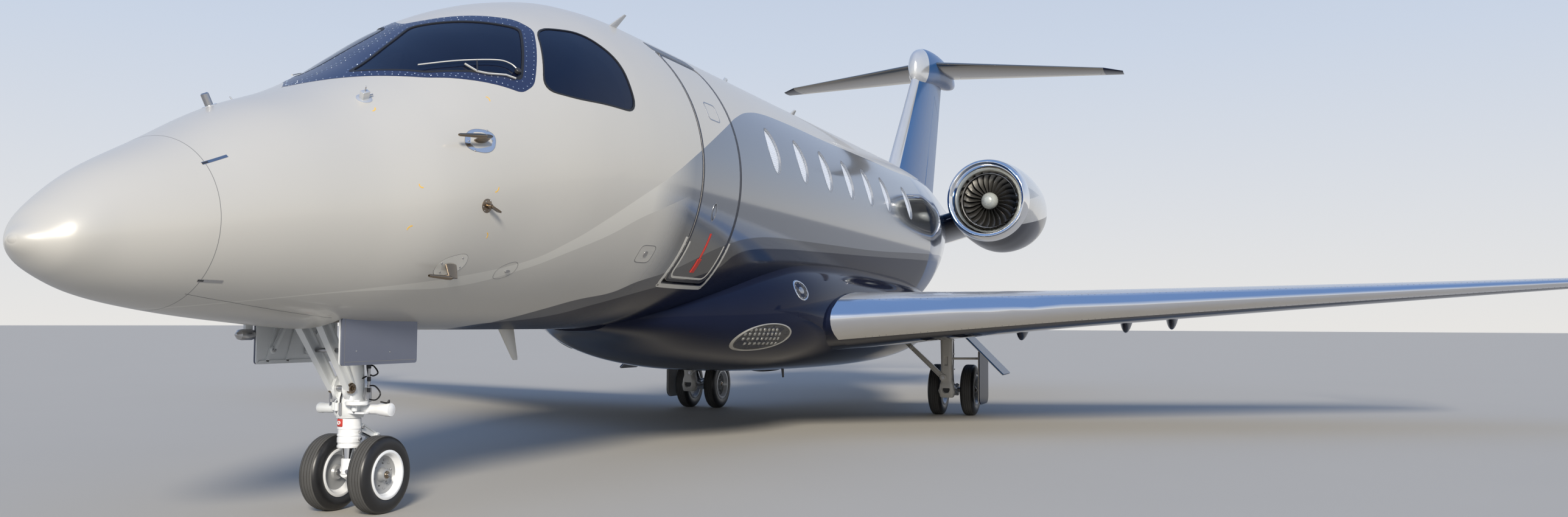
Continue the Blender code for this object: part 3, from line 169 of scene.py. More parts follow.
def angle_at(station, z):
    """Angle from the crown, in degrees, of the port skin at a height."""
    crown, keel = crown_at(station), keel_at(station)
    ratio = (z - (crown + keel) / 2) / ((crown - keel) / 2)
    return float(np.degrees(np.arccos(np.clip(ratio, -1, 1))))


def skin_ring(station, inset=0.0):
    return skin(station, 360 * np.arange(RING_STEPS) / RING_STEPS, inset)


# Meshes

def circle(count, shift=0.0):
    """Cosines and sines of evenly spaced angles; the shift is a share of one step."""
    angles = [2 * math.pi * (k + shift) / count for k in range(count)]
    return [(math.cos(a), math.sin(a)) for a in angles]


def super_oval(half_u, half_v, power, count, tilt=0.0):
    """Points (u, v) around an oval whose corners fill out as its power grows."""
    out = []
    for c, s in circle(count):
        u = half_u * math.copysign(abs(c) ** (2 / power), c)
        v = half_v * math.copysign(abs(s) ** (2 / power), s)
        out.append((u * math.cos(tilt) - v * math.sin(tilt),
                    u * math.sin(tilt) + v * math.cos(tilt)))
    return out


def add_object(name, mesh, material, smooth=True):
    obj = bpy.data.objects.new(name, mesh)
    bpy.context.scene.collection.objects.link(obj)
    if material:
        mesh.materials.append(MATERIALS[material])
    if smooth:
        mesh.shade_smooth()
    return obj


def make_mesh(name, verts, faces, material, sharp=None, smooth=True):
    """Object from points and faces; with a sharpness angle, its faces are also turned outwards."""
    mesh = bpy.data.meshes.new(name)
    mesh.from_pydata([tuple(v) for v in verts], [], faces)
    mesh.update()
    obj = add_object(name, mesh, material, smooth)
    if sharp is not None:
        face_out(obj)
        set_sharp(obj, sharp)
    return obj


def set_sharp(obj, degrees):
    obj.data.set_sharp_from_angle(angle=math.radians(degrees))


def paint(obj, *names):
    """Replace an object's materials."""
    obj.data.materials.clear()
    for name in names:
        obj.data.materials.append(MATERIALS[name])


def loft(name, rings, material=None, loop=False, sharp=40):
    """Skin through rings of equal length, capped at its ends or closed on itself."""
    rings = [np.asarray(ring, float) for ring in rings]
    count = len(rings[0])
    faces = []
    pairs = [(i, i + 1) for i in range(len(rings) - 1)]
    if loop:
        pairs.append((len(rings) - 1, 0))
    for near, far in pairs:
        for i in range(count):
            j = (i + 1) % count
            faces.append((near * count + i, near * count + j, far * count + j, far * count + i))
    if not loop:
        faces.append(tuple(reversed(range(count))))
        faces.append(tuple(range((len(rings) - 1) * count, len(rings) * count)))
    return make_mesh(name, np.concatenate(rings).tolist(), faces, material, sharp)


def both_sides(piece, name, body="airframe", node=None):
    """Place a port piece and its mirrored twin; {} stands for the side in each name."""
    for side, obj in (("starboard", mirrored(piece)), ("port", piece)):
        obj.name = name.format(side)
        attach(obj, body.format(side))
        if node:
            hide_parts(node.format(side))


def face_out(obj):
    bm = bmesh.new()
    bm.from_mesh(obj.data)
    bmesh.ops.recalc_face_normals(bm, faces=bm.faces)
    bm.to_mesh(obj.data)
    bm.free()


def bake(obj):
    bpy.context.view_layer.update()
    depsgraph = bpy.context.evaluated_depsgraph_get()
    mesh = bpy.data.meshes.new_from_object(obj.evaluated_get(depsgraph))
    obj.modifiers.clear()
    obj.data = mesh
    return obj


def combine(target, tool, operation, keep_tool=False):
    modifier = target.modifiers.new("boolean", "BOOLEAN")
    modifier.operation = operation
    modifier.solver = "MANIFOLD"
    modifier.object = tool
    bake(target)
    if not keep_tool:
        bpy.data.objects.remove(tool, do_unlink=True)
    return target


def join(target, *tools):
    for tool in tools:
        combine(target, tool, "UNION")
    return target


def cut(target, *tools, keep_tool=False):
    for tool in tools:
        combine(target, tool, "DIFFERENCE", keep_tool)
    return target


def common(target, tool):
    return combine(target, tool, "INTERSECT")


def duplicate(obj, name=None):
    copy = bpy.data.objects.new(name or obj.name + "_copy", obj.data.copy())
    bpy.context.scene.collection.objects.link(copy)
    return copy


def mirrored(obj):
    twin = duplicate(obj)
    twin.data.transform(Matrix.Diagonal((-1.0, 1.0, 1.0, 1.0)))
    twin.data.flip_normals()
    return twin


def merge(name, parts):
    """One object from several separate ones, with their materials."""
    materials = []
    bm = bmesh.new()
    for part in parts:
        start = len(bm.faces)
        bm.from_mesh(part.data)
        bm.faces.ensure_lookup_table()
        slots = []
        for item in part.data.materials:
            if item not in materials:
                materials.append(item)
            slots.append(materials.index(item))
        for face in bm.faces[start:]:
            face.material_index = slots[min(face.material_index, len(slots) - 1)] if slots else 0
    mesh = bpy.data.meshes.new(name)
    bm.to_mesh(mesh)
    bm.free()
    for part in parts:
        bpy.data.objects.remove(part, do_unlink=True)
    obj = bpy.data.objects.new(name, mesh)
    bpy.context.scene.collection.objects.link(obj)
    for item in materials:
        mesh.materials.append(item)
    return obj


def smooth_on_skin(obj, limit=0.94):
    """Shade the faces that lie along a smooth surface with that surface's own normals."""
    mesh = obj.data
    count = len(mesh.loops)
    corner_vertex = np.zeros(count, np.int32)
    mesh.loops.foreach_get("vertex_index", corner_vertex)
    places = np.zeros(len(mesh.vertices) * 3)
    mesh.vertices.foreach_get("co", places)
    places = places.reshape(-1, 3)
    face_normals = np.zeros(len(mesh.polygons) * 3)
    mesh.polygons.foreach_get("normal", face_normals)
    face_normals = face_normals.reshape(-1, 3)
    sizes = np.zeros(len(mesh.polygons), np.int32)
    mesh.polygons.foreach_get("loop_total", sizes)
    of_corner = np.repeat(face_normals, sizes, axis=0)
    surface = skin_normals(places)[corner_vertex]
    aligned = np.sum(surface * of_corner, axis=1)
    chosen = np.where((aligned > limit)[:, None], surface, of_corner)
    chosen = np.where((aligned < -limit)[:, None], -surface, chosen)
    mesh.shade_smooth()
    mesh.normals_split_custom_set(chosen.tolist())
    return obj


def box(low, high, material=None, bevel=0.0):
    bm = bmesh.new()
    bmesh.ops.create_cube(bm, size=1.0)
    low, high = Vector(low), Vector(high)
    size = high - low
    scale = Matrix.Diagonal((size.x, size.y, size.z, 1.0))
    bmesh.ops.transform(bm, matrix=Matrix.Translation((low + high) / 2) @ scale, verts=bm.verts)
    if bevel:
        bmesh.ops.bevel(bm, geom=list(bm.edges), offset=bevel, segments=3, affect="EDGES",
                        profile=0.5)
    mesh = bpy.data.meshes.new("box")
    bm.to_mesh(mesh)
    bm.free()
    obj = add_object("box", mesh, material)
    set_sharp(obj, 40)
    return obj


def turned(name, profile, centre, axis, segments, material, sharp=35, closed=False):
    """Surface of revolution of a profile of (radius, distance along the axis)."""
    centre, axis = Vector(centre), Vector(axis).normalized()
    turn = axis.to_track_quat("Z", "Y").to_matrix()
    verts, rows = [], []
    for radius, along in profile:
        if radius < 1e-6:
            rows.append([len(verts)])
            verts.append(centre + turn @ Vector((0, 0, along)))
            continue
        rows.append(list(range(len(verts), len(verts) + segments)))
        verts += [centre + turn @ Vector((radius * c, radius * s, along))
                  for c, s in circle(segments)]
    faces = []
    pairs = list(zip(rows, rows[1:]))
    if closed:
        pairs.append((rows[-1], rows[0]))
    for near, far in pairs:
        for i in range(segments):
            j = (i + 1) % segments
            if len(near) == 1:
                faces.append((near[0], far[j], far[i]))
            elif len(far) == 1:
                faces.append((near[i], near[j], far[0]))
            else:
                faces.append((near[i], near[j], far[j], far[i]))
    if not closed:
        faces += [tuple(row) for row in (rows[0][::-1], rows[-1]) if len(row) > 1]
    return make_mesh(name, verts, faces, material, sharp)


def rod(start, end, radius, material, segments=24, chamfer=0.0):
    start, end = Vector(start), Vector(end)
    length = (end - start).length
    profile = [(radius, 0), (radius, length)]
    if chamfer:
        profile = [(radius - chamfer, 0), (radius, chamfer), (radius, length - chamfer),
                   (radius - chamfer, length)]
    return turned("rod", profile, start, end - start, segments, material)


def tube(points, radius, material, segments=10):
    """Round tube along a smooth run of points."""
    points = [Vector(p) for p in points]
    rings = []
    side = None
    for i, p in enumerate(points):
        ahead = points[min(i + 1, len(points) - 1)] - points[max(i - 1, 0)]
        ahead.normalize()
        if side is None:
            side = ahead.orthogonal().normalized()
        side = (side - ahead * side.dot(ahead)).normalized()
        other = ahead.cross(side)
        rings.append([p + (side * c + other * s) * radius for c, s in circle(segments)])
    return loft("tube", rings, material)


def through(points, count):
    """Smooth curve through points, as a list of more points."""
    points = [np.array(p, float) for p in points]
    padded = [2 * points[0] - points[1]] + points + [2 * points[-1] - points[-2]]
    out = []
    for i in range(1, len(padded) - 2):
        a, b, c, d = padded[i - 1:i + 3]
        for k in range(count):
            t = k / count
            out.append(0.5 * (2 * b + (c - a) * t + (2 * a - 5 * b + 4 * c - d) * t * t
                              + (3 * b - a - 3 * c + d) * t ** 3))
    out.append(points[-1])
    return out


def studs(name, places, normals, radius, height, material, sides=8):
    """Low round heads on a surface, all in one mesh."""
    verts, faces = [], []
    for place, normal in zip(places, normals):
        n = Vector(normal).normalized()
        u = n.orthogonal().normalized()
        v = n.cross(u)
        base = len(verts)
        centre = Vector(place)
        for size, rise in ((1.0, -0.3), (1.0, 0.35), (0.6, 0.9)):
            verts += [centre + (u * c + v * s) * radius * size + n * height * rise
                      for c, s in circle(sides)]
        for ring in range(2):
            for k in range(sides):
                m = (k + 1) % sides
                low = base + ring * sides
                faces.append((low + k, low + m, low + sides + m, low + sides + k))
        faces.append(tuple(base + 2 * sides + k for k in range(sides)))
        faces.append(tuple(base + k for k in reversed(range(sides))))
    return make_mesh(name, verts, faces, material)


# Materials

MATERIALS = {}


def new_material(name):
    material = bpy.data.materials.new(name)
    MATERIALS[name] = material
    material.use_nodes = True
    return material.node_tree, material.node_tree.nodes["Principled BSDF"]


def feed(tree, node, inputs):
    """Set values on a node's inputs, or link sockets to them."""
    for key, value in inputs.items():
        if isinstance(value, bpy.types.NodeSocket):
            tree.links.new(value, node.inputs[key])
        else:
            node.inputs[key].default_value = value


def add_node(tree, kind, inputs, **settings):
    node = tree.nodes.new(kind)
    for key, value in settings.items():
        setattr(node, key, value)
    feed(tree, node, inputs)
    return node


def maths(tree, operation, a, b, clamp=False):
    return add_node(tree, "ShaderNodeMath", {0: a, 1: b}, operation=operation,
                    use_clamp=clamp).outputs[0]


def blend_colour(tree, factor, a, b):
    a, b = (c if isinstance(c, bpy.types.NodeSocket) else (*c, 1.0) for c in (a, b))
    return add_node(tree, "ShaderNodeMix", {0: factor, 6: a, 7: b}, data_type="RGBA").outputs[2]


def blend_number(tree, factor, a, b):
    return add_node(tree, "ShaderNodeMix", {0: factor, 2: a, 3: b}, data_type="FLOAT").outputs[0]


def noise(tree, coordinates, scale, detail=3.0):
    return add_node(tree, "ShaderNodeTexNoise", {"Vector": coordinates, "Scale": scale,
                                                 "Detail": detail}).outputs["Fac"]


def add_bump(tree, shader, height, strength, distance):
    node = add_node(tree, "ShaderNodeBump", {"Height": height, "Strength": strength,
                                             "Distance": distance})
    feed(tree, shader, {"Normal": node.outputs["Normal"]})


def object_place(tree):
    return tree.nodes.new("ShaderNodeTexCoord").outputs["Object"]


def finish(name, colour, metallic, roughness, coat=0.0, variation=0.05, patch_scale=3.0,
           grain_scale=220.0, bump=0.0, alpha=1.0, specular=0.5):
    """Painted, metal or plastic surface: slow colour variation, fine roughness and bump."""
    tree, shader = new_material(name)
    coordinates = object_place(tree)
    slow = noise(tree, coordinates, patch_scale)
    fine = noise(tree, coordinates, grain_scale, 2.0)
    dark = tuple(c * (1 - variation) for c in colour)
    light = tuple(min(1.0, c * (1 + variation)) for c in colour)
    spread = 0.25 * roughness
    rough = blend_number(tree, maths(tree, "MULTIPLY", maths(tree, "ADD", slow, fine), 0.5),
                         max(0.0, roughness - spread), min(1.0, roughness + spread))
    feed(tree, shader, {"Base Color": blend_colour(tree, slow, dark, light), "Roughness": rough,
                        "Metallic": metallic, "Coat Weight": coat, "Coat Roughness": 0.04,
                        "Specular IOR Level": specular, "Alpha": alpha})
    if bump:
        add_bump(tree, shader, fine, 0.35, bump)


PEARL = (0.50, 0.485, 0.45)
# pale paint of the door bands, wipers, lower pitot plate and keel antenna; in the livery, the
# painted reflection on the silver's front
STRIPE_AND_REFLECTION = (0.60, 0.585, 0.54)
SILVER = (0.25, 0.27, 0.305)
BAND = (0.13, 0.135, 0.15)
NAVY = (0.007, 0.010, 0.026)
BLUE = (0.018, 0.075, 0.20)

finish("floor", (0.43, 0.41, 0.375), 0.0, 0.95, variation=0.02, patch_scale=0.4, specular=0.1)
finish("polished", (0.80, 0.80, 0.81), 1.0, 0.10, variation=0.03, bump=0.0002)
finish("navy", NAVY, 0.1, 0.06, variation=0.10, specular=0.11)
finish("blue", (0.026, 0.098, 0.26), 0.15, 0.18, variation=0.06, specular=0.1)
# tan metal for the tailplane and elevators: a painted reflection of the tan ground
finish("bronze", (0.33, 0.30, 0.255), 0.95, 0.16, variation=0.05)
finish("frame_blue", (0.026, 0.037, 0.088), 0.3, 0.30, coat=0.15, variation=0.06)
finish("glass", (0.004, 0.007, 0.022), 0.0, 0.03, variation=0.2, alpha=0.78)
finish("cabin_glass", (0.45, 0.52, 0.62), 0.0, 0.03, variation=0.1, alpha=0.16)
finish("shade", (0.88, 0.90, 0.94), 0.0, 0.5, variation=0.03, bump=0.0004)
finish("rubber", (0.012, 0.012, 0.013), 0.0, 0.38, variation=0.25, patch_scale=9.0, bump=0.0003)
finish("tread", (0.060, 0.059, 0.057), 0.0, 0.75, variation=0.2, patch_scale=12.0, bump=0.0008)
finish("seal", (0.012, 0.012, 0.013), 0.0, 0.55, variation=0.2)
finish("rim", (0.78, 0.79, 0.80), 0.15, 0.32, coat=0.3, variation=0.05)
finish("gear", (0.66, 0.68, 0.69), 0.1, 0.36, coat=0.2, variation=0.06, bump=0.0003)
finish("chrome", (0.88, 0.88, 0.88), 1.0, 0.06, variation=0.02)
finish("steel", (0.45, 0.45, 0.46), 1.0, 0.30, variation=0.1, bump=0.0003)
finish("door_grey", (0.15, 0.165, 0.215), 0.35, 0.14, variation=0.03)
finish("engine", (0.33, 0.33, 0.34), 0.95, 0.28, variation=0.08)
finish("dark", (0.03, 0.03, 0.034), 0.1, 0.5, variation=0.2)
finish("trim", (0.52, 0.48, 0.42), 0.0, 0.6, variation=0.08, bump=0.001)
finish("panel_line", (0.16, 0.16, 0.16), 0.0, 0.5, variation=0.1)
finish("red", (0.45, 0.03, 0.02), 0.0, 0.5, variation=0.1)
finish("probe", (0.26, 0.205, 0.15), 1.0, 0.24, variation=0.15)
finish("nacelle_light", (0.55, 0.56, 0.57), 0.5, 0.2, coat=1.0)
finish("lining", (0.50, 0.47, 0.42), 0.0, 0.6, variation=0.05, patch_scale=4.0, grain_scale=500.0)
finish("wing_grey", (0.42, 0.43, 0.45), 0.3, 0.28, coat=0.6, variation=0.05)
finish("duct", (0.20, 0.185, 0.16), 0.9, 0.30, variation=0.15)
finish("blade", (0.16, 0.155, 0.145), 0.9, 0.34, variation=0.15)
finish("spinner", (0.40, 0.42, 0.40), 0.2, 0.35, coat=0.3, variation=0.08)
finish("door_seal", (0.010, 0.013, 0.025), 0.0, 0.35, variation=0.2)
finish("pearl_plain", PEARL, 0.2, 0.3, coat=0.3, variation=0.03)
finish("stripe_plain", STRIPE_AND_REFLECTION, 0.2, 0.3, coat=0.3, variation=0.03)
finish("tread_frame", (0.30, 0.29, 0.27), 0.3, 0.4, variation=0.1)
finish("tread_pad", (0.045, 0.043, 0.040), 0.0, 0.85, variation=0.3, patch_scale=20.0,
       bump=0.0015)
finish("yellow", (0.70, 0.42, 0.06), 0.0, 0.5, variation=0.1)
# darker grey for a wheel's web and hub: painted shade of the dished web
finish("hub", (0.30, 0.305, 0.31), 0.2, 0.35, variation=0.12)
finish("gear_warm", (0.50, 0.485, 0.45), 0.1, 0.36, coat=0.2, variation=0.06, bump=0.0003)
finish("lamp_base", (0.030, 0.030, 0.030), 0.3, 0.35, variation=0.2)
finish("lamp_rim", (0.34, 0.33, 0.30), 0.4, 0.3, variation=0.1)
finish("lamp_cell", (0.55, 0.54, 0.50), 0.8, 0.2, variation=0.2)
finish("lamp_glass", (0.10, 0.10, 0.10), 0.0, 0.04, variation=0.1, alpha=0.16)
finish("header_strip_grey", (0.075, 0.08, 0.09), 0.3, 0.3, variation=0.1)
finish("leather", (0.42, 0.37, 0.31), 0.0, 0.48, variation=0.08, patch_scale=5.0,
       grain_scale=500.0, bump=0.0006)
finish("carpet", (0.16, 0.145, 0.13), 0.0, 0.9, variation=0.15, patch_scale=6.0,
       grain_scale=700.0, bump=0.002)

# Paint lines on the fuselage as station and height
TOP_LINE = [(0.0, 1.18), (1.2, 1.33), (1.707, 1.392), (2.353, 1.482), (2.94, 1.603), (3.31, 1.76),
            (3.64, 1.94), (3.993, 2.131), (4.443, 2.354), (4.865, 2.573), (5.646, 2.925),
            (5.963, 3.047), (6.422, 3.169), (6.903, 3.234), (7.486, 3.260), (9.07, 3.272),
            (11.16, 3.314), (12.41, 3.326), (14.0, 3.42), (15.6, 3.62), (17.0, 3.8)]
LOW_LINE = [(0.0, 1.17), (1.2, 1.325), (1.714, 1.380), (2.425, 1.427), (2.987, 1.559),
            (3.365, 1.695), (3.734, 1.832), (4.07, 1.983), (4.37, 2.087), (5.0, 2.30)]
BAND_LINE = [(0.0, 1.0), (3.0, 1.10), (3.41, 1.219), (3.71, 1.313), (3.96, 1.378), (4.29, 1.432),
             (4.54, 1.526), (4.84, 1.601), (5.775, 1.901), (6.19, 1.976), (6.70, 2.019),
             (7.62, 2.042), (8.80, 2.067), (10.2, 2.097), (12.1, 2.176), (14.0, 2.25)]
NAVY_LINE = [(0.0, 0.95), (2.9, 1.06), (3.25, 1.19), (3.78, 1.237), (4.28, 1.348), (4.70, 1.448),
             (5.81, 1.69), (6.0, 1.812), (6.36, 1.885), (7.05, 1.93), (8.16, 1.966),
             (10.0, 2.02), (12.1, 2.09), (14.0, 2.15)]
BLUE_START = 13.08
EDGE_SHARPNESS = 500.0


def line_height(tree, station, knots):
    """Height of a paint line at a station."""
    first, last = knots[0][0], knots[-1][0]
    low = min(z for s, z in knots)
    high = max(z for s, z in knots)
    spread = maths(tree, "DIVIDE", maths(tree, "SUBTRACT", station, first), last - first,
                   clamp=True)
    node = add_node(tree, "ShaderNodeFloatCurve", {"Value": spread})
    curve = node.mapping.curves[0]
    places = [((s - first) / (last - first), (z - low) / (high - low)) for s, z in knots]
    for place in places[1:-1]:
        curve.points.new(*place)
    ordered = sorted(curve.points, key=lambda p: p.location[0])
    for item, place in zip(ordered, places):
        item.location = place
    node.mapping.update()
    return maths(tree, "ADD", maths(tree, "MULTIPLY", node.outputs[0], high - low), low)


def edge(tree, value):
    """One where the value is above zero, with an edge a few millimetres soft."""
    return maths(tree, "ADD", maths(tree, "MULTIPLY", value, EDGE_SHARPNESS), 0.5, clamp=True)


def livery():
    """Pearl upper body, silver side with its swept front painted paler as a painted reflection of
    the bright ground, grey band, navy belly, blue tail.
    """
    tree, shader = new_material("livery")
    coordinates = object_place(tree)
    axes = add_node(tree, "ShaderNodeSeparateXYZ", {"Vector": coordinates})
    station = maths(tree, "ADD", axes.outputs["Y"], LENGTH / 2)
    height = axes.outputs["Z"]

    def below(knots):
        return edge(tree, maths(tree, "SUBTRACT", line_height(tree, station, knots), height))

    ahead = maths(tree, "SUBTRACT", 1.0, maths(tree, "DIVIDE", maths(tree, "SUBTRACT", station,
                                                                     4.2), 0.6, clamp=True))
    under_stripe = maths(tree, "MULTIPLY", below(LOW_LINE), ahead)
    silver = maths(tree, "MULTIPLY", below(TOP_LINE), maths(tree, "SUBTRACT", 1.0, under_stripe))
    band = below(BAND_LINE)
    navy = below(NAVY_LINE)
    tail = edge(tree, maths(tree, "SUBTRACT", station, BLUE_START))
    tail = maths(tree, "MULTIPLY", tail, below(TOP_LINE))
    slow = noise(tree, coordinates, 1.3)
    fine = noise(tree, coordinates, 900.0, 1.0)
    pearl = blend_colour(tree, slow, tuple(c * 0.97 for c in PEARL), tuple(c * 1.03 for c in PEARL))
    # ahead of stations 4.2 to 4.8 the silver is painted paler: a painted reflection of the bright
    # ground
    front_silver_reflection = blend_colour(tree, ahead, SILVER, STRIPE_AND_REFLECTION)
    mirror = maths(tree, "MULTIPLY", silver, maths(tree, "SUBTRACT", 1.0, ahead))
    colour = blend_colour(tree, silver, pearl, front_silver_reflection)
    colour = blend_colour(tree, band, colour, BAND)
    colour = blend_colour(tree, navy, colour, NAVY)
    colour = blend_colour(tree, tail, colour, BLUE)
    metal = blend_number(tree, mirror, 0.2, 0.85)
    metal = blend_number(tree, band, metal, 0.6)
    metal = blend_number(tree, navy, metal, 0.1)
    rough = maths(tree, "ADD", blend_number(tree, mirror, 0.32, 0.09),
                  maths(tree, "MULTIPLY", slow, 0.05))
    gloss = maths(tree, "MULTIPLY", blend_number(tree, mirror, 0.3, 0.55),
                  maths(tree, "SUBTRACT", 1.0, band))
    feed(tree, shader, {"Base Color": colour, "Metallic": metal, "Roughness": rough,
                        "Coat Weight": gloss, "Coat Roughness": 0.05,
                        "Specular IOR Level": 0.2})
    add_bump(tree, shader, fine, 0.04, 0.0003)


livery()


# Floor, light and camera

FLOOR_REACH = 260.0
SKY = ((0.0, (1.0, 0.985, 0.96)), (0.22, (0.74, 0.83, 0.98)), (0.75, (0.22, 0.38, 0.74)))
SKY_STRENGTH = 0.80
SUN_POWER, SUN_WIDTH_DEGREES = 4.6, 13
SUN_COLOUR, SUN_DIRECTION = (1.0, 0.93, 0.81), (-0.42, 0.78, -0.42)


def build_stage():
    corners = [(x * FLOOR_REACH, y * FLOOR_REACH, 0)
               for x, y in ((-1, -1), (1, -1), (1, 1), (-1, 1))]
    floor = make_mesh("floor", corners, [(0, 1, 2, 3)], "floor", smooth=False)
    world = bpy.data.worlds.new("studio")
    bpy.context.scene.world = world
    world.use_nodes = True
    tree = world.node_tree
    generated = tree.nodes.new("ShaderNodeTexCoord").outputs["Generated"]
    up = add_node(tree, "ShaderNodeSeparateXYZ", {"Vector": generated}).outputs["Z"]
    ramp = add_node(tree, "ShaderNodeValToRGB", {"Fac": up})
    ramp.color_ramp.elements.new(SKY[1][0])
    for element, (place, colour) in zip(ramp.color_ramp.elements, SKY):
        element.position = place
        element.color = (*colour, 1.0)
    feed(tree, tree.nodes["Background"], {"Color": ramp.outputs["Color"],
                                          "Strength": SKY_STRENGTH})
    light = bpy.data.lights.new("key", "SUN")
    light.energy = SUN_POWER
    light.angle = math.radians(SUN_WIDTH_DEGREES)
    light.color = SUN_COLOUR
    key = bpy.data.objects.new("key", light)
    bpy.context.scene.collection.objects.link(key)
    key.rotation_euler = Vector(SUN_DIRECTION).to_track_quat("-Z", "Y").to_euler()


CAMERA_PLACE = Vector((5.190, -14.351, 1.206))
CAMERA_YAW, CAMERA_PITCH, CAMERA_ROLL = 0.3464, 0.0538, 0.0044
CAMERA_LENS, CAMERA_SENSOR = 27.757, 36.0


def build_camera():
    data = bpy.data.cameras.new("camera")
    data.lens = CAMERA_LENS
    data.sensor_width = CAMERA_SENSOR
    data.sensor_fit = "HORIZONTAL"
    data.clip_end = 800
    camera = bpy.data.objects.new("camera", data)
    bpy.context.scene.collection.objects.link(camera)
    flat = math.cos(CAMERA_PITCH)
    forward = Vector((-math.sin(CAMERA_YAW) * flat, math.cos(CAMERA_YAW) * flat,
                      math.sin(CAMERA_PITCH)))
    level_right = Vector((math.cos(CAMERA_YAW), math.sin(CAMERA_YAW), 0))
    level_up = level_right.cross(forward)
    right = level_right * math.cos(CAMERA_ROLL) + level_up * math.sin(CAMERA_ROLL)
    up = level_up * math.cos(CAMERA_ROLL) - level_right * math.sin(CAMERA_ROLL)
    matrix = Matrix((right, up, -forward)).transposed().to_4x4()
    matrix.translation = CAMERA_PLACE
    camera.matrix_world = matrix
    bpy.context.scene.camera = camera
    bpy.context.scene.view_settings.view_transform = "Standard"


build_stage()
build_camera()


# Fuselage skins

def between(front, rear, step):
    count = max(2, int(math.ceil((rear - front) / step)))
    return [front + (rear - front) * i / count for i in range(1, count)]


def shell(name, front, rear, step, front_closed=None, rear_closed=None):
    """Fuselage wall between two stations, with a bulkhead face where an end is closed."""
    outer = [skin_ring(s) for s in [front] + between(front, rear, step) + [rear]]
    inner_front = front if front_closed is None else front_closed
    inner_rear = rear if rear_closed is None else rear_closed
    inner_stations = [inner_front] + between(inner_front, inner_rear, step) + [inner_rear]
    inner = [skin_ring(s, WALL) for s in inner_stations]
    if front_closed is None and rear_closed is None:
        return loft(name, outer + list(reversed(inner)), "livery", loop=True)
    if rear_closed is None:
        return loft(name, outer + list(reversed(inner)), "livery")
    return loft(name, list(reversed(outer)) + inner, "livery")


def on_skin(spots, lift=0.0):
    """Points over the skin at (station, degrees) places, and the skin's normals there."""
    places = skin([s for s, a in spots], [a for s, a in spots])
    normals = skin_normals(places)
    return places + normals * lift, normals


def panel_block(outline, outside, inside):
    """Block through the skin; the outline is a loop of (station, degrees from the crown)."""
    places, normals = on_skin(outline)
    return loft("block", [places + normals * outside, places - normals * inside])


def rounded(corners, radius, steps=6):
    """Loop with its corners rounded by arcs; the corners are points in a plane."""
    loop = []
    count = len(corners)
    for i, corner in enumerate(corners):
        corner = Vector(corner)
        before = Vector(corners[i - 1]) - corner
        after = Vector(corners[(i + 1) % count]) - corner
        start = corner + before.normalized() * min(radius, before.length * 0.45)
        end = corner + after.normalized() * min(radius, after.length * 0.45)
        for k in range(steps + 1):
            t = k / steps
            loop.append(tuple(start * (1 - t) ** 2 + corner * 2 * t * (1 - t) + end * t * t))
    return loop


def divided(loop, step):
    """More points along a loop's long straight runs."""
    out = []
    for a, b in zip(loop, loop[1:] + loop[:1]):
        a, b = Vector(a), Vector(b)
        count = max(1, int((b - a).length / step))
        out += [tuple(a.lerp(b, k / count)) for k in range(count)]
    return out


def skin_outline(corners, radius, grow=0.0, step=0.06):
    """Rounded outline on the skin; corners and result are (station, degrees)."""
    middle = sum(s for s, a in corners) / len(corners)
    metres = metres_per_degree(middle)
    flat = [(s, a * metres) for s, a in corners]
    if grow:
        flat = offset_loop(flat, grow)
    loop = divided(rounded(flat, radius), step)
    return [(s, a / metres) for s, a in loop]


def offset_loop(loop, grow):
    """Loop moved outward by a distance."""
    points = [Vector(p) for p in loop]
    area = sum(a.x * b.y - b.x * a.y for a, b in zip(points, points[1:] + points[:1]))
    turn = 1 if area > 0 else -1
    out = []
    for i, corner in enumerate(points):
        before = (corner - points[i - 1]).normalized()
        after = (points[(i + 1) % len(points)] - corner).normalized()
        first = Vector((before.y, -before.x)) * turn
        second = Vector((after.y, -after.x)) * turn
        middle = (first + second).normalized()
        out.append(tuple(corner + middle * grow / max(0.3, middle.dot(first))))
    return out


WINDSHIELD_CORNERS = [(2.0, 12.5), (2.70, 5.8), (3.23, 33.8), (2.87, 56.5), (2.30, 35.5)]
SIDE_WINDOW_CORNERS = [(3.0, 62.5), (3.36, 35.0), (3.80, 40.0), (4.0, 54.0), (3.95, 75.0),
                       (3.3, 68.5)]
WINDSHIELD_ROUND, SIDE_WINDOW_ROUND = 0.05, 0.14


def door_outline(edge_gap, radius, sill=0.0):
    """The door's edge as (station, degrees), moved out by a gap and further down at its sill."""
    metres = metres_per_degree(DOOR_FRONT)
    grow = edge_gap / metres
    low = DOOR_BOTTOM_ANGLE + grow + sill / metres
    corners = [(DOOR_FRONT - edge_gap, low), (DOOR_FRONT - edge_gap, DOOR_TOP_ANGLE - grow),
               (DOOR_REAR + edge_gap, DOOR_TOP_ANGLE - grow), (DOOR_REAR + edge_gap, low)]
    return skin_outline(corners, radius, step=0.05)


def curved_block(outline, outside, inside):
    """Block like panel_block, but filled on a grid so that it follows a strongly curved wall."""
    low, high = min(a for s, a in outline), max(a for s, a in outline)
    steps = 40
    levels = [low + (high - low) * i / steps for i in range(steps + 1)]
    levels = sorted(levels + [a for s, a in outline])
    rings = []
    last = None
    for angle in levels:
        if last is not None and angle - last < 0.12 and angle < high:
            continue
        last = angle
        angle = min(max(angle, low + 1e-4), high - 1e-4)
        cuts = []
        for (s0, a0), (s1, a1) in zip(outline, outline[1:] + outline[:1]):
            if (a0 - angle) * (a1 - angle) <= 0 and a0 != a1:
                cuts.append(s0 + (s1 - s0) * (angle - a0) / (a1 - a0))
        front, rear = min(cuts), max(cuts)
        places = skin(np.array([front, rear]), np.array([angle, angle]))
        normals = skin_normals(places)
        out = places + normals * outside
        into = places - normals * inside
        rings.append([out[0], out[1], into[1], into[0]])
    return loft("block", rings)


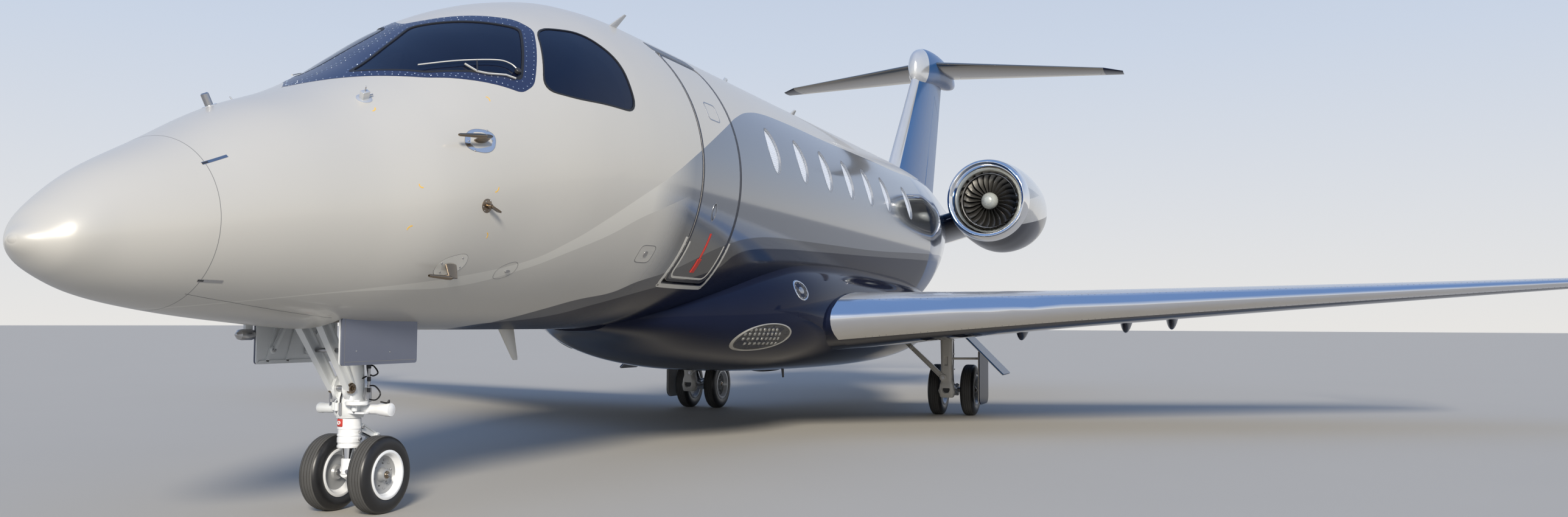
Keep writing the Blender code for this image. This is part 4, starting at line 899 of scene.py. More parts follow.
def line_inside(obj, limit=-0.3):
    """Cabin lining on the faces that look inwards."""
    mesh = obj.data
    mesh.materials.append(MATERIALS["lining"])
    outward = skin_normals(np.array([tuple(face.center) for face in mesh.polygons]))
    for face, normal in zip(mesh.polygons, outward):
        if face.normal.dot(Vector(normal)) < limit:
            face.material_index = len(mesh.materials) - 1


def build_fuselage():
    stations = [NOSE_FLAT] + [0.75 * (i / 44) ** 2 for i in range(4, 44)] + [RADOME_JOINT - 0.0012]
    radome = loft("radome_skin", [skin_ring(s) for s in stations], "livery")
    smooth_on_skin(radome, limit=0.8)
    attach(radome, "airframe")
    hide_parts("radome")

    forward = shell("forward_skin", RADOME_JOINT + 0.0012, FORWARD_JOINT - FIT_GAP, 0.05,
                    front_closed=FORWARD_BULKHEAD)
    for corners, radius in ((WINDSHIELD_CORNERS, WINDSHIELD_ROUND),
                            (SIDE_WINDOW_CORNERS, SIDE_WINDOW_ROUND)):
        block = curved_block(skin_outline(corners, radius), 0.20, 0.30)
        cut(forward, block, mirrored(block))
    cut(forward, box(point(-0.30, 1.84, 0.9), point(0.30, 2.60, 1.6)))
    smooth_on_skin(forward)
    line_inside(forward)
    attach(forward, "airframe")
    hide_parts("forward_fuselage")

    cabin = shell("cabin_skin", FORWARD_JOINT, REAR_JOINT - FIT_GAP, 0.20,
                  rear_closed=REAR_JOINT - WALL)
    door = duplicate(cabin, "door_skin")
    common(door, curved_block(door_outline(0.0, 0.10), 0.15, 0.25))
    cut(cabin, curved_block(door_outline(0.006, 0.045, DOOR_SILL_EXTRA), 0.15, 0.25))
    for station in WINDOW_STATIONS:
        ring = [(WINDOW_SIZE[0] / 2 * c, WINDOW_SIZE[1] / 2 * s) for c, s in circle(40)]
        for side in (1, -1):
            plug = loft("plug", [[point(x * side, station + u, WINDOW_HEIGHT + v) for u, v in ring]
                                 for x in (0.9, 1.5)])
            cut(cabin, plug)
    smooth_on_skin(cabin)
    smooth_on_skin(door)
    line_inside(cabin)
    line_inside(door, 0.3)
    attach(cabin, "airframe")
    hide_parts("cabin_fuselage")
    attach(door, "entry_door")
    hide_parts("entry_door")

    aft = shell("aft_skin", REAR_JOINT, TAIL_END, 0.12, rear_closed=TAIL_END - WALL)
    smooth_on_skin(aft)
    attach(aft, "airframe")
    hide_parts("aft_fuselage")


build_fuselage()


# Glass and its frames

FRAME_HALF = [(1.66, 0.0), (1.861, 12.3), (2.265, 37.8), (2.82, 61.5), (2.95, 60.0), (3.33, 36.0),
              (3.30, 28.0), (3.108, 18.6), (2.834, 6.0), (2.76, 0.0)]
RIVET_RADIUS, RIVET_HEIGHT = 0.0045, 0.0016


def skin_layer(front, rear, outside, inside, step=0.03):
    """Thin closed layer of the fuselage between two heights over its skin."""
    outer, inner = [], []
    for s in [front] + between(front, rear, step) + [rear]:
        places = skin_ring(s)
        normals = skin_normals(places)
        outer.append(places + normals * outside)
        inner.append(places - normals * inside)
    return loft("layer", outer + list(reversed(inner)), loop=True)


def patch(name, layer, outline, holes, material, curved=False):
    """Piece of a layer inside an outline, with holes."""
    make = curved_block if curved else panel_block
    piece = duplicate(layer, name)
    common(piece, make(outline, 0.12, 0.16))
    for hole in holes:
        cut(piece, make(hole, 0.14, 0.18))
    paint(piece, material)
    for face in piece.data.polygons:
        face.material_index = 0
    smooth_on_skin(piece)
    return piece


def mirror_outline(outline):
    return [(s, -a) for s, a in reversed(outline)]


def along_skin(outline, inset, spacing):
    """Evenly spaced (station, degrees) places on an outline moved inwards."""
    middle = sum(s for s, a in outline) / len(outline)
    metres = metres_per_degree(middle)
    flat = [Vector(p) for p in offset_loop([(s, a * metres) for s, a in outline], -inset)]
    out, carried = [], 0.0
    for a, b in zip(flat, flat[1:] + flat[:1]):
        length = (b - a).length
        while carried < length:
            place = a.lerp(b, carried / length)
            out.append((place.x, place.y / metres))
            carried += spacing
        carried -= length
    return out


def skin_studs(name, spots, radius, height, material, lift=0.0015):
    places, normals = on_skin(spots, lift)
    return studs(name, places, normals, radius, height, material)


def skin_strip(name, spots, width, material, lift=0.0006, depth=0.003, closed=False):
    """Flat strip on the skin through (station, degrees) places."""
    places, normals = on_skin(spots)
    count = len(places)
    rings = []
    for i in range(count):
        if closed:
            ahead = places[(i + 1) % count] - places[i - 1]
        else:
            ahead = places[min(i + 1, count - 1)] - places[max(i - 1, 0)]
        side = np.cross(normals[i], ahead)
        side *= width / 2 / np.linalg.norm(side)
        top = places[i] + normals[i] * lift
        low = places[i] - normals[i] * depth
        rings.append([top - side, top + side, low + side, low - side])
    return loft(name, rings, material, loop=closed)


def build_flight_deck_glass():
    frame_outline = FRAME_HALF + [(s, -a) for s, a in reversed(FRAME_HALF[1:-1])]
    frame_outline = skin_outline(frame_outline, 0.05, step=0.04)
    frame_layer = skin_layer(1.45, 4.3, 0.0012, 0.010)
    seal_layer = skin_layer(1.45, 4.3, 0.0024, 0.016)
    pane_layer = skin_layer(1.45, 4.3, -0.004, 0.010)
    shield = (WINDSHIELD_CORNERS, WINDSHIELD_ROUND)
    glass = skin_outline(*shield, step=0.04)
    frame_piece = patch("windshield_frame", frame_layer, frame_outline,
                        [glass, mirror_outline(glass)], "frame_blue", curved=True)
    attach(frame_piece, "airframe")
    spots = along_skin(frame_outline, 0.022, 0.042)
    for side in ("port", "starboard"):
        for name, shape, inner, outer in (
                ("windshield_", shield, -0.012, 0.006),
                ("side_window_", (SIDE_WINDOW_CORNERS, SIDE_WINDOW_ROUND), -0.010, 0.002)):
            edges = [skin_outline(*shape, grow=grow, step=0.04) for grow in (0.0, inner, outer)]
            if side == "starboard":
                edges = [mirror_outline(outline) for outline in edges]
            pane = patch(name + "pane_" + side, pane_layer, edges[0], [], "glass", curved=True)
            seal = patch(name + "seal_" + side, seal_layer, edges[2], [edges[1]], "seal",
                         curved=True)
            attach(pane, "airframe")
            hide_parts(name + side)
            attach(seal, "airframe")
    for layer in (frame_layer, seal_layer, pane_layer):
        bpy.data.objects.remove(layer, do_unlink=True)
    for sign in (1, -1):
        spots += [(1.72 + 0.042 * k, sign * (1.3 - 0.1 * k / 24)) for k in range(25)]
    inner_row = along_skin(skin_outline(*shield, grow=0.006, step=0.04), -0.016, 0.048)
    spots += inner_row + [(s, -a) for s, a in inner_row]
    rivets = skin_studs("windshield_rivets", spots, RIVET_RADIUS, RIVET_HEIGHT, "chrome")
    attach(rivets, "airframe")
    joint = skin_strip("windshield_joint", [(1.66 + 0.05 * k, 0.0) for k in range(23)], 0.004,
                       "steel", lift=0.0018)
    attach(joint, "airframe")


build_flight_deck_glass()


# Wing

WING_ROOT, WING_KINK, WING_TIP = 1.40, 3.60, 9.35
WING_PLAN = [(WING_ROOT, 7.93, 12.10, 0.150), (WING_KINK, 9.20, 12.35, 0.135),
             (WING_TIP, 12.52, 13.62, 0.11)]
WING_ROOT_HEIGHT = 1.25
DIHEDRAL_SLOPE = 0.0618
WINGLET = [(9.62, 0.045, 12.72, 1.00, 18.0), (9.84, 0.17, 12.95, 0.88, 42.0),
           (9.99, 0.42, 13.24, 0.72, 64.0), (10.104, 0.88, 13.68, 0.44, 74.0)]
FLAP_INNER, FLAP_OUTER = (2.62, 11.62), (7.20, 12.68)
FLAP_HINGE_DROP = (0.21, 0.115)
AILERON_INNER, AILERON_OUTER = (7.34, 12.73), (9.20, 13.28)
AILERON_NOSE, ELEVATOR_NOSE, RUDDER_NOSE = 0.068, 0.058, 0.125
TRACK_FAIRINGS = (2.84, 4.08, 4.62, 6.86)
# A track fairing: reach ahead and aft of the flap's axis, taper aft, half-width, keel and its end
TRACK_AHEAD, TRACK_AFT, TRACK_TAPER = 0.72, 0.50, 0.012
TRACK_HALF_WIDTH, TRACK_KEEL, TRACK_KEEL_END = 0.08, 0.13, 0.08
TRACK_DROP, TRACK_INSET = 0.012, 0.02
FLAP_NOSE_GAP = 0.006
RIVETS, RIVET_ROOT, RIVET_PITCH = 112, 1.66, 0.066
EDGE_STRIP = 0.07         # polished leading edge, as a share of the chord
AEROFOIL_X = sorted({0.5 - 0.5 * math.cos(math.pi * i / 26) for i in range(27)} | {EDGE_STRIP})


def half_thickness(x):
    """Half thickness of a symmetric aerofoil of unit chord and unit thickness ratio."""
    return 5 * (0.2969 * math.sqrt(x) - 0.1260 * x - 0.3516 * x ** 2
                + 0.2843 * x ** 3 - 0.1015 * x ** 4)


def aerofoil_ring(lead, chord, thickness, place):
    around = [(x, 1) for x in reversed(AEROFOIL_X)] + [(x, -1) for x in AEROFOIL_X[1:]]
    return [place(lead + chord * x, side * half_thickness(x) * thickness * chord)
            for x, side in around]


def wing_height(x):
    return WING_ROOT_HEIGHT + DIHEDRAL_SLOPE * (x - WING_ROOT)


def wing_ring(x):
    lead, trail = straight(WING_PLAN, x, 1), straight(WING_PLAN, x, 2)
    return aerofoil_ring(lead, trail - lead, straight(WING_PLAN, x, 3),
                         lambda s, up: point(x, s, wing_height(x) + up))


def winglet_ring(span, rise, lead, chord, cant, thickness):
    lean = math.radians(cant)
    height = wing_height(span) + rise
    return aerofoil_ring(lead, chord, thickness,
                         lambda s, up: point(span - up * math.sin(lean), s,
                                             height + up * math.cos(lean)))


def wing_solid():
    spans = [WING_ROOT, 1.7, 2.1, 2.5, 2.9, 3.3, WING_KINK, 4.4, 4.9, 5.6, 6.3, 7.0, 7.8, 8.5,
             WING_TIP]
    rings = [wing_ring(x) for x in spans]
    tip = (WING_TIP, 0.0, 12.52, 1.10, 3.5, 0.11)
    rows = through([tip] + [row + (0.10,) for row in WINGLET], 6)[1:]
    rings += [winglet_ring(*row) for row in rows]
    return loft("wing", rings, sharp=45)


def hinge_frame(start, end):
    """Matrix with Z along the hinge line and X towards the trailing edge, at the line's start."""
    along = (end - start).normalized()
    aft = Vector((0, 1, 0))
    aft = (aft - along * aft.dot(along)).normalized()
    up = along.cross(aft)
    matrix = Matrix((aft, up, along)).transposed().to_4x4()
    matrix.translation = start
    return matrix


def surface_block(start, end, radius, reach, gap_end=0.0):
    """Round-nosed block along a hinge line that takes in everything behind it."""
    length = (end - start).length
    outline = [(reach, radius)]
    for i in range(33):
        a = math.pi / 2 + math.pi * i / 32
        outline.append((radius * math.cos(a), radius * math.sin(a)))
    outline.append((reach, -radius))
    matrix = hinge_frame(start, end)
    return loft("block", [[matrix @ Vector((x, y, z)) for x, y in outline]
                          for z in (-gap_end, length + gap_end)])


def take_surface(fixed, start, end, radius, reach, name):
    """Split a round-nosed control surface off a solid, leaving a running gap around it."""
    surface = duplicate(fixed, name)
    common(surface, surface_block(start, end, radius, reach))
    cut(fixed, surface_block(start, end, radius + SWING_GAP, reach, gap_end=SWING_GAP))
    return surface


def flap_axis_points():
    inner = point(FLAP_INNER[0], FLAP_INNER[1], wing_height(FLAP_INNER[0]) - FLAP_HINGE_DROP[0])
    outer = point(FLAP_OUTER[0], FLAP_OUTER[1], wing_height(FLAP_OUTER[0]) - FLAP_HINGE_DROP[1])
    return inner, outer


def flap_block(ahead, ends):
    start, end = flap_axis_points()
    matrix = hinge_frame(start, end)
    length = (end - start).length
    return loft("block", [[matrix @ Vector(p) for p in ((-ahead, -0.4, z), (1.2, -0.4, z),
                                                        (1.2, 0.6, z), (-ahead, 0.6, z))]
                          for z in (-ends, length + ends)])


def track_fairing(x):
    """Slim pod under the wing around a flap track, streamwise."""
    start, end = flap_axis_points()
    axis_point = start.lerp(end, (x - start.x) / (end.x - start.x))
    bottom = axis_point.z - TRACK_DROP
    top = wing_height(x) - TRACK_INSET
    front, rear = -TRACK_AHEAD, TRACK_AFT - TRACK_TAPER * (x - TRACK_FAIRINGS[0])
    half = (top - bottom) / 2
    rings = []
    for k in range(25):
        u = min(max(0.5 - 0.5 * math.cos(math.pi * k / 24), 0.004), 0.996)
        swell = math.sin(math.pi * u) ** 0.6
        y = axis_point.y + front + (rear - front) * u
        share = min((y - axis_point.y - front) / (-TRACK_KEEL_END - front), 1.0)
        keel = TRACK_KEEL * math.sin(math.pi * share) ** 0.8 if share < 1.0 else 0.0
        rings.append([(x + TRACK_HALF_WIDTH * swell * c, y,
                       top - half + half * swell * s - keel * max(-s, 0.0))
                      for c, s in circle(28)])
    return loft("pod", rings)


def halves(solid, plane_point, normal, gap):
    """The parts of a solid before and behind a plane, a gap apart."""
    turn = Vector(normal).to_track_quat("Z", "Y").to_matrix().to_4x4()
    out = []
    for low, high in ((-3.0, -gap), (0.0, 3.0)):
        block = box((-3.0, -3.0, low), (3.0, 3.0, high))
        block.data.transform(Matrix.Translation(plane_point) @ turn)
        out.append(common(duplicate(solid), block))
    bpy.data.objects.remove(solid, do_unlink=True)
    return out


def paint_wing(obj):
    """Materials by where a face lies: polished leading edge, upper side, lower side."""
    mesh = obj.data
    bm = bmesh.new()
    bm.from_mesh(mesh)
    for row, following in zip(WING_PLAN, WING_PLAN[1:]):
        start, end = (Vector((r[0], r[1] + EDGE_STRIP * (r[2] - r[1]) - LENGTH / 2, 0))
                      for r in (row, following))
        across = (end - start).cross(Vector((0, 0, 1))).normalized()
        near = [face for face in bm.faces
                if max(v.co.x for v in face.verts) > start.x - 0.001
                and min(v.co.x for v in face.verts) < end.x + 0.001]
        parts = near + list({e for f in near for e in f.edges}) + list({v for f in near
                                                                       for v in f.verts})
        bmesh.ops.bisect_plane(bm, geom=parts, dist=0.0004, plane_co=start, plane_no=across)
    bm.to_mesh(mesh)
    bm.free()
    paint(obj, "navy", "wing_grey", "polished")
    for face in mesh.polygons:
        place = face.center
        x = min(abs(place.x), WING_TIP)
        lead, trail = straight(WING_PLAN, x, 1), straight(WING_PLAN, x, 2)
        share = (place.y + LENGTH / 2 - lead) / (trail - lead)
        if abs(place.x) < WING_TIP and share < EDGE_STRIP:
            face.material_index = 2
        else:
            face.material_index = 1 if face.normal.z > 0.05 else 0


def build_wings():
    wing = wing_solid()
    aileron_start = point(AILERON_INNER[0], AILERON_INNER[1], wing_height(AILERON_INNER[0]))
    aileron_end = point(AILERON_OUTER[0], AILERON_OUTER[1], wing_height(AILERON_OUTER[0]))
    aileron = take_surface(wing, aileron_start, aileron_end, AILERON_NOSE, 0.8, "aileron")
    flap = duplicate(wing, "flap")
    common(flap, flap_block(0.0, 0.0))
    cut(wing, flap_block(FLAP_NOSE_GAP, SWING_GAP))
    start, end = flap_axis_points()
    aft = (hinge_frame(start, end).to_3x3() @ Vector((1, 0, 0))).normalized()
    for x in TRACK_FAIRINGS:
        front_half, rear_half = halves(track_fairing(x), start, aft, FLAP_NOSE_GAP)
        join(wing, front_half)
        join(flap, rear_half)
    for piece, node, body in ((wing, "wing", "airframe"), (flap, "flap", "flap_{}"),
                              (aileron, "aileron", "aileron_{}")):
        set_sharp(piece, 40)
        paint_wing(piece)
        both_sides(piece, node + "_skin_{}", body, node + "_{}")


def edge_rivets():
    """Rivet rows along the rear edges of the polished leading edge."""
    places, normals = [], []
    share = EDGE_STRIP - 0.006
    for k in range(RIVETS):
        x = RIVET_ROOT + RIVET_PITCH * k
        lead, trail = straight(WING_PLAN, x, 1), straight(WING_PLAN, x, 2)
        chord, ratio = trail - lead, straight(WING_PLAN, x, 3)
        rise = half_thickness(share) * ratio * chord
        slope = (half_thickness(share + 0.004) - half_thickness(share - 0.004)) / 0.008 * ratio
        for side in (1, -1):
            for sign in (1, -1):
                places.append(point(x * sign, lead + share * chord,
                                    wing_height(x) + rise * side))
                normals.append(Vector((0, -slope, side)).normalized())
    rivets = studs("edge_rivets", places, normals, 0.0042, 0.0012, "dark", 6)
    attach(rivets, "airframe")


edge_rivets()
build_wings()


# Belly fairing: station, half-width, lowest and highest height

BELLY = [(5.15, 0.30, 1.135, 1.30), (5.7, 0.70, 1.05, 1.48), (6.4, 1.03, 0.88, 1.70),
         (7.1, 1.26, 0.765, 1.88), (7.9, 1.365, 0.70, 2.0), (9.4, 1.385, 0.665, 2.05),
         (11.2, 1.385, 0.655, 2.02), (12.4, 1.36, 0.69, 1.97), (13.3, 1.24, 0.79, 1.90),
         (14.2, 1.02, 0.97, 1.86), (15.0, 0.72, 1.22, 1.85), (15.5, 0.42, 1.45, 1.85)]
BELLY_ROUNDNESS = 2.6


def super_ring(station, half_width, low, high, power, segments):
    return [point(x, station, (low + high) / 2 + up)
            for up, x in super_oval((high - low) / 2, half_width, power, segments)]


def fuselage_core(front, rear):
    """Solid of the fuselage between two stations, a fitting gap larger."""
    stations = [front] + between(front, rear, 0.1) + [rear]
    return loft("core", [skin_ring(s, -FIT_GAP) for s in stations])


def build_fairing():
    rows = through(BELLY, 6)
    fairing = loft("belly_fairing_skin", [super_ring(*row, BELLY_ROUNDNESS, 120) for row in rows])
    stub = loft("stub", [wing_ring(x) for x in (1.10, WING_ROOT - FIT_GAP)])
    join(fairing, stub, mirrored(stub))
    cut(fairing, fuselage_core(5.0, 16.2))
    paint(fairing, "navy")
    fairing.data.shade_smooth()
    set_sharp(fairing, 30)
    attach(fairing, "airframe")
    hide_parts("belly_fairing")


build_fairing()


# Tail

FIN_PLAN = [(3.40, 15.20, 18.70), (6.05, 17.63, 19.63)]
FIN_THICKNESS = 0.10
RUDDER_LOW, RUDDER_HIGH = (3.66, 17.72), (5.52, 18.72)
RUDDER_FLOOR_GAP, CROWN_FALL = 0.018, 0.09
TAIL_HEIGHT, TAIL_TIP = 6.12, 3.14
BULLET_TIP_PAINT = 17.75
TAIL_PLAN = [(0.0, 18.15, 19.80, 0.10), (3.14, 19.64, 20.33, 0.09), (3.48, 20.02, 20.38, 0.07)]
ELEVATOR_INNER, ELEVATOR_OUTER = (0.44, 19.41), (3.06, 20.10)
BULLET = [(17.27, 0.03, 5.74, 5.90), (17.32, 0.09, 5.64, 6.06), (17.5, 0.15, 5.60, 6.22),
          (17.86, 0.19, 5.64, 6.335), (18.4, 0.215, 5.74, 6.40), (19.0, 0.22, 5.83, 6.42),
          (19.6, 0.20, 5.90, 6.39), (20.1, 0.15, 5.96, 6.32), (20.5, 0.085, 6.04, 6.25),
          (LENGTH - NOSE_FLAT, 0.02, 6.12, 6.17)]


def fin_ring(z):
    lead, trail = straight(FIN_PLAN, z, 1), straight(FIN_PLAN, z, 2)
    return aerofoil_ring(lead, trail - lead, FIN_THICKNESS, lambda s, up: point(up, s, z))


def tail_ring(x):
    span = abs(x)
    lead, trail = straight(TAIL_PLAN, span, 1), straight(TAIL_PLAN, span, 2)
    return aerofoil_ring(lead, trail - lead, straight(TAIL_PLAN, span, 3),
                         lambda s, up: point(x, s, TAIL_HEIGHT + up))


def paint_by(obj, names, choose):
    """Materials by a face's place; the choice is a place in the list of names."""
    paint(obj, *names)
    for face in obj.data.polygons:
        face.material_index = int(choose(face))
    obj.data.shade_smooth()
    set_sharp(obj, 40)


def split_rudder(fin):
    """Take the rudder off the fin; its foot slopes with the fuselage's crown."""
    low = point(0, RUDDER_LOW[1], RUDDER_LOW[0])
    high = point(0, RUDDER_HIGH[1], RUDDER_HIGH[0])
    along = (high - low).normalized()
    rudder = duplicate(fin, "rudder_skin")
    block = surface_block(low - along * 0.6, high, RUDDER_NOSE, 1.6)
    floor_cut = box((-2, -2, -3), (2, 4, 0))
    lean = Vector((0, CROWN_FALL, 1)).to_track_quat("Z", "Y").to_matrix().to_4x4()
    centre = point(0, RUDDER_LOW[1], float(crown_at(RUDDER_LOW[1])) + RUDDER_FLOOR_GAP)
    floor_cut.data.transform(Matrix.Translation(centre) @ lean)
    cut(block, floor_cut)
    common(rudder, block)
    cut(fin, surface_block(low - along * 0.9, high + along * SWING_GAP, RUDDER_NOSE + SWING_GAP,
                           1.8))
    return rudder


def split_elevator(tailplane):
    """Take both elevators off the tailplane and keep the port one."""
    start = point(ELEVATOR_INNER[0], ELEVATOR_INNER[1], TAIL_HEIGHT)
    end = point(ELEVATOR_OUTER[0], ELEVATOR_OUTER[1], TAIL_HEIGHT)
    elevator = take_surface(tailplane, start, end, ELEVATOR_NOSE, 0.9, "elevator")
    flip = Vector((-1, 1, 1))
    other = take_surface(tailplane, end * flip, start * flip, ELEVATOR_NOSE, 0.9, "other")
    bpy.data.objects.remove(other, do_unlink=True)
    return elevator


def build_tail():
    fin = loft("fin_skin", [fin_ring(z) for z in (3.2, 3.8, 4.4, 5.1, 5.6, 6.05)])
    cut(fin, fuselage_core(14.5, TAIL_END))
    bullet = loft("tail_bullet_skin", [super_ring(*row, 2.2, 64) for row in through(BULLET, 5)])
    cut(fin, duplicate(bullet))
    rudder = split_rudder(fin)
    tailplane = loft("tailplane_skin", [tail_ring(x) for x in (-3.48, -3.14, -1.6, 0.0, 1.6, 3.14,
                                                               3.48)])
    cut(bullet, duplicate(tailplane))
    elevator = split_elevator(tailplane)

    def fin_zone(face):
        z = face.center.z
        lead, trail = straight(FIN_PLAN, z, 1), straight(FIN_PLAN, z, 2)
        return (face.center.y + LENGTH / 2 - lead) / (trail - lead) < EDGE_STRIP

    paint_by(fin, ["blue", "nacelle_light"], fin_zone)
    paint_by(rudder, ["blue"], lambda face: 0)
    paint_by(bullet, ["blue", "nacelle_light"],
             lambda face: face.center.y + LENGTH / 2 < BULLET_TIP_PAINT)
    # tailplane and elevators take a tan metal that paints in the reflection of the tan ground
    paint_by(tailplane, ["bronze", "navy"], lambda face: abs(face.center.x) > TAIL_TIP)
    paint_by(elevator, ["bronze"], lambda face: 0)
    for obj, node, body in ((fin, "fin", "airframe"), (rudder, "rudder", "rudder"),
                            (bullet, "tail_bullet", "airframe"),
                            (tailplane, "tailplane", "airframe")):
        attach(obj, body)
        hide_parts(node)
    both_sides(elevator, "elevator_skin_{}", "elevator_{}", "elevator_{}")


build_tail()


# Engines

ENGINE_X, ENGINE_Z = 1.696, 3.208
LIP_STATION, LIP_END, FAN_STATION, NOZZLE_STATION = 15.16, 15.40, 15.487, 18.92
DUCT_RADIUS, BLADE_TIP, HUB_RADIUS, HUB_REAR = 0.4435, 0.426, 0.115, 0.15
BLADES, BLADE_ROOT, BLADE_SECTIONS = 24, 0.098, 9
BLADE_OUTLINE = [(-0.5, 0.0), (-0.25, 0.42), (0.1, 0.5), (0.5, 0.0), (0.1, -0.5), (-0.25, -0.42)]
VANES, VANE_ROOT, VANE_HALF = 28, 0.085, 0.003
VANE_STATIONS = (15.86, 15.96)
COWL = [(LIP_END, 0.660, 0.668, 0.660), (15.9, 0.690, 0.735, 0.690), (16.6, 0.692, 0.775, 0.695),
        (17.5, 0.645, 0.695, 0.650), (18.3, 0.535, 0.545, 0.540),
        (NOZZLE_STATION, 0.440, 0.440, 0.440)]
DUCT = [(LIP_END, DUCT_RADIUS), (15.9, DUCT_RADIUS), (16.5, 0.50), (NOZZLE_STATION, 0.405)]
# Inlet lip: station, radius, radius below; core: radius, distance behind the fan
LIP_PROFILE = [(LIP_END - FIT_GAP, 0.660, 0.668), (15.33, 0.655, 0.661), (15.27, 0.647, 0.651),
               (15.215, 0.634, 0.636), (15.18, 0.619, 0.620), (LIP_STATION, 0.597, 0.597),
               (15.172, 0.572, 0.572), (15.20, 0.545, 0.545), (15.27, 0.497, 0.497),
               (15.34, 0.460, 0.460), (LIP_END - FIT_GAP, DUCT_RADIUS, DUCT_RADIUS)]
CORE_PROFILE = [(0.0, HUB_REAR + 0.002), (0.09, HUB_REAR + 0.002), (0.09, 0.30), (0.18, 0.36),
                (0.26, 0.40), (0.31, 0.7), (0.33, 1.3), (0.325, 1.8), (0.30, 2.3), (0.21, 2.75),
                (0.09, 3.12), (0.0, 3.28)]
CASE_RING, CASE_RING_LENGTH = 0.0075, 0.01
PYLON_ENDS = ((0.55, 2.80), (1.6, 3.10))
PYLON_SECTION = (15.55, 3.0, 0.13)
ENGINE_STEPS = 120


def cowl_ring(station, half_width, below, above):
    return [point(ENGINE_X + half_width * s, station, ENGINE_Z + (above if c > 0 else below) * c)
            for c, s in circle(ENGINE_STEPS, 0.5)]


def round_ring(station, radius):
    return cowl_ring(station, radius, radius, radius)


def nacelle_paint():
    """Pale upper cowl with a grey swept stripe and a navy underside."""
    tree, shader = new_material("nacelle_paint")
    coordinates = object_place(tree)
    axes = add_node(tree, "ShaderNodeSeparateXYZ", {"Vector": coordinates})
    aft = maths(tree, "ADD", axes.outputs["Y"], LENGTH / 2 - LIP_END)
    height = maths(tree, "SUBTRACT", axes.outputs["Z"], ENGINE_Z)
    slow = noise(tree, coordinates, 2.0)
    navy_edge = maths(tree, "SUBTRACT", maths(tree, "MULTIPLY", aft, 0.14), 0.40)
    top_edge = maths(tree, "SUBTRACT", 0.19, maths(tree, "MULTIPLY", aft, 0.05))
    low_edge = maths(tree, "ADD", maths(tree, "MULTIPLY", aft, 0.16), 0.0)
    navy = edge(tree, maths(tree, "SUBTRACT", navy_edge, height))
    stripe = maths(tree, "MULTIPLY", edge(tree, maths(tree, "SUBTRACT", top_edge, height)),
                   edge(tree, maths(tree, "SUBTRACT", height, low_edge)))
    pale = blend_colour(tree, slow, (0.41, 0.42, 0.43), (0.45, 0.46, 0.47))
    colour = blend_colour(tree, stripe, pale, SILVER)
    colour = blend_colour(tree, navy, colour, NAVY)
    feed(tree, shader, {
        "Base Color": colour,
        "Metallic": blend_number(tree, navy, blend_number(tree, stripe, 0.3, 0.85), 0.0),
        "Coat Weight": blend_number(tree, navy, 0.6, 0.0), "Coat Roughness": 0.03,
        "Roughness": maths(tree, "ADD", maths(tree, "MULTIPLY", slow, 0.06), 0.10),
        "Specular IOR Level": 0.1})


nacelle_paint()


def fan_blades(axis):
    """Wide swept blades, each a thin lens section twisted from root to tip."""
    count = len(BLADE_OUTLINE)
    verts, faces = [], []
    for blade in range(BLADES):
        turn = Matrix.Translation(axis) @ Matrix.Rotation(2 * math.pi * blade / BLADES, 4, "Y")
        base = len(verts)
        for k in range(BLADE_SECTIONS):
            u = k / (BLADE_SECTIONS - 1)
            radius = BLADE_ROOT + (BLADE_TIP - BLADE_ROOT) * u
            chord = 0.135 + 0.045 * math.sin(math.pi * 0.6 * u)
            thickness = 0.013 - 0.008 * u
            lean = math.radians(24 + 36 * u)
            sweep = -0.05 * math.sin(math.pi * 0.5 * u) ** 2 + 0.05 * u ** 3
            for along, across in BLADE_OUTLINE:
                a, c = along * chord, across * thickness
                y = 0.06 + a * math.cos(lean) - c * math.sin(lean)
                x = a * math.sin(lean) + c * math.cos(lean) + sweep
                verts.append(turn @ Vector((x, y, math.sqrt(max(radius ** 2 - x ** 2, 0.0064)))))
        for k in range(BLADE_SECTIONS - 1):
            for i in range(count):
                j = (i + 1) % count
                low = base + k * count
                faces.append((low + i, low + j, low + count + j, low + count + i))
        faces.append(tuple(base + i for i in reversed(range(count))))
        faces.append(tuple(base + (BLADE_SECTIONS - 1) * count + i for i in range(count)))
    return make_mesh("blades", verts, faces, "blade", 50)


def build_fan():
    axis = point(ENGINE_X, FAN_STATION, ENGINE_Z)
    hub = HUB_RADIUS * 1.18
    spinner = turned("spinner", [(0.0, -0.140), (0.030, -0.138), (0.052, -0.130), (0.064, -0.122),
                                 (0.066, -0.119), (0.070, -0.119), (0.102, -0.086), (0.124, -0.040),
                                 (hub, 0.0), (hub, HUB_REAR), (0.0, HUB_REAR)],
                     axis, (0, 1, 0), 72, "spinner")
    bolts = []
    for c, s in circle(4, 0.5):
        centre = axis + Vector((0.083 * c, -0.100, 0.083 * s))
        bolts.append(rod(centre, centre + Vector((0, 0.02, 0)), 0.0075, "steel", 12, 0.001))
    ring = turned("ring", [(0.0655, -0.1225), (0.0685, -0.1225), (0.0685, -0.115),
                           (0.0655, -0.115)], axis, (0, 1, 0), 72, "steel", closed=True)
    return merge("fan_assembly", [spinner, fan_blades(axis), ring] + bolts)


def inlet_lip():
    """Polished lip, from its outer edge around the nose into the duct."""
    rear = LIP_END - FIT_GAP
    rings = [cowl_ring(min(max(s, LIP_STATION), rear), radius, below, radius)
             for s, radius, below in through(LIP_PROFILE, 4)]
    return loft("lip", rings, "chrome", loop=True, sharp=50)


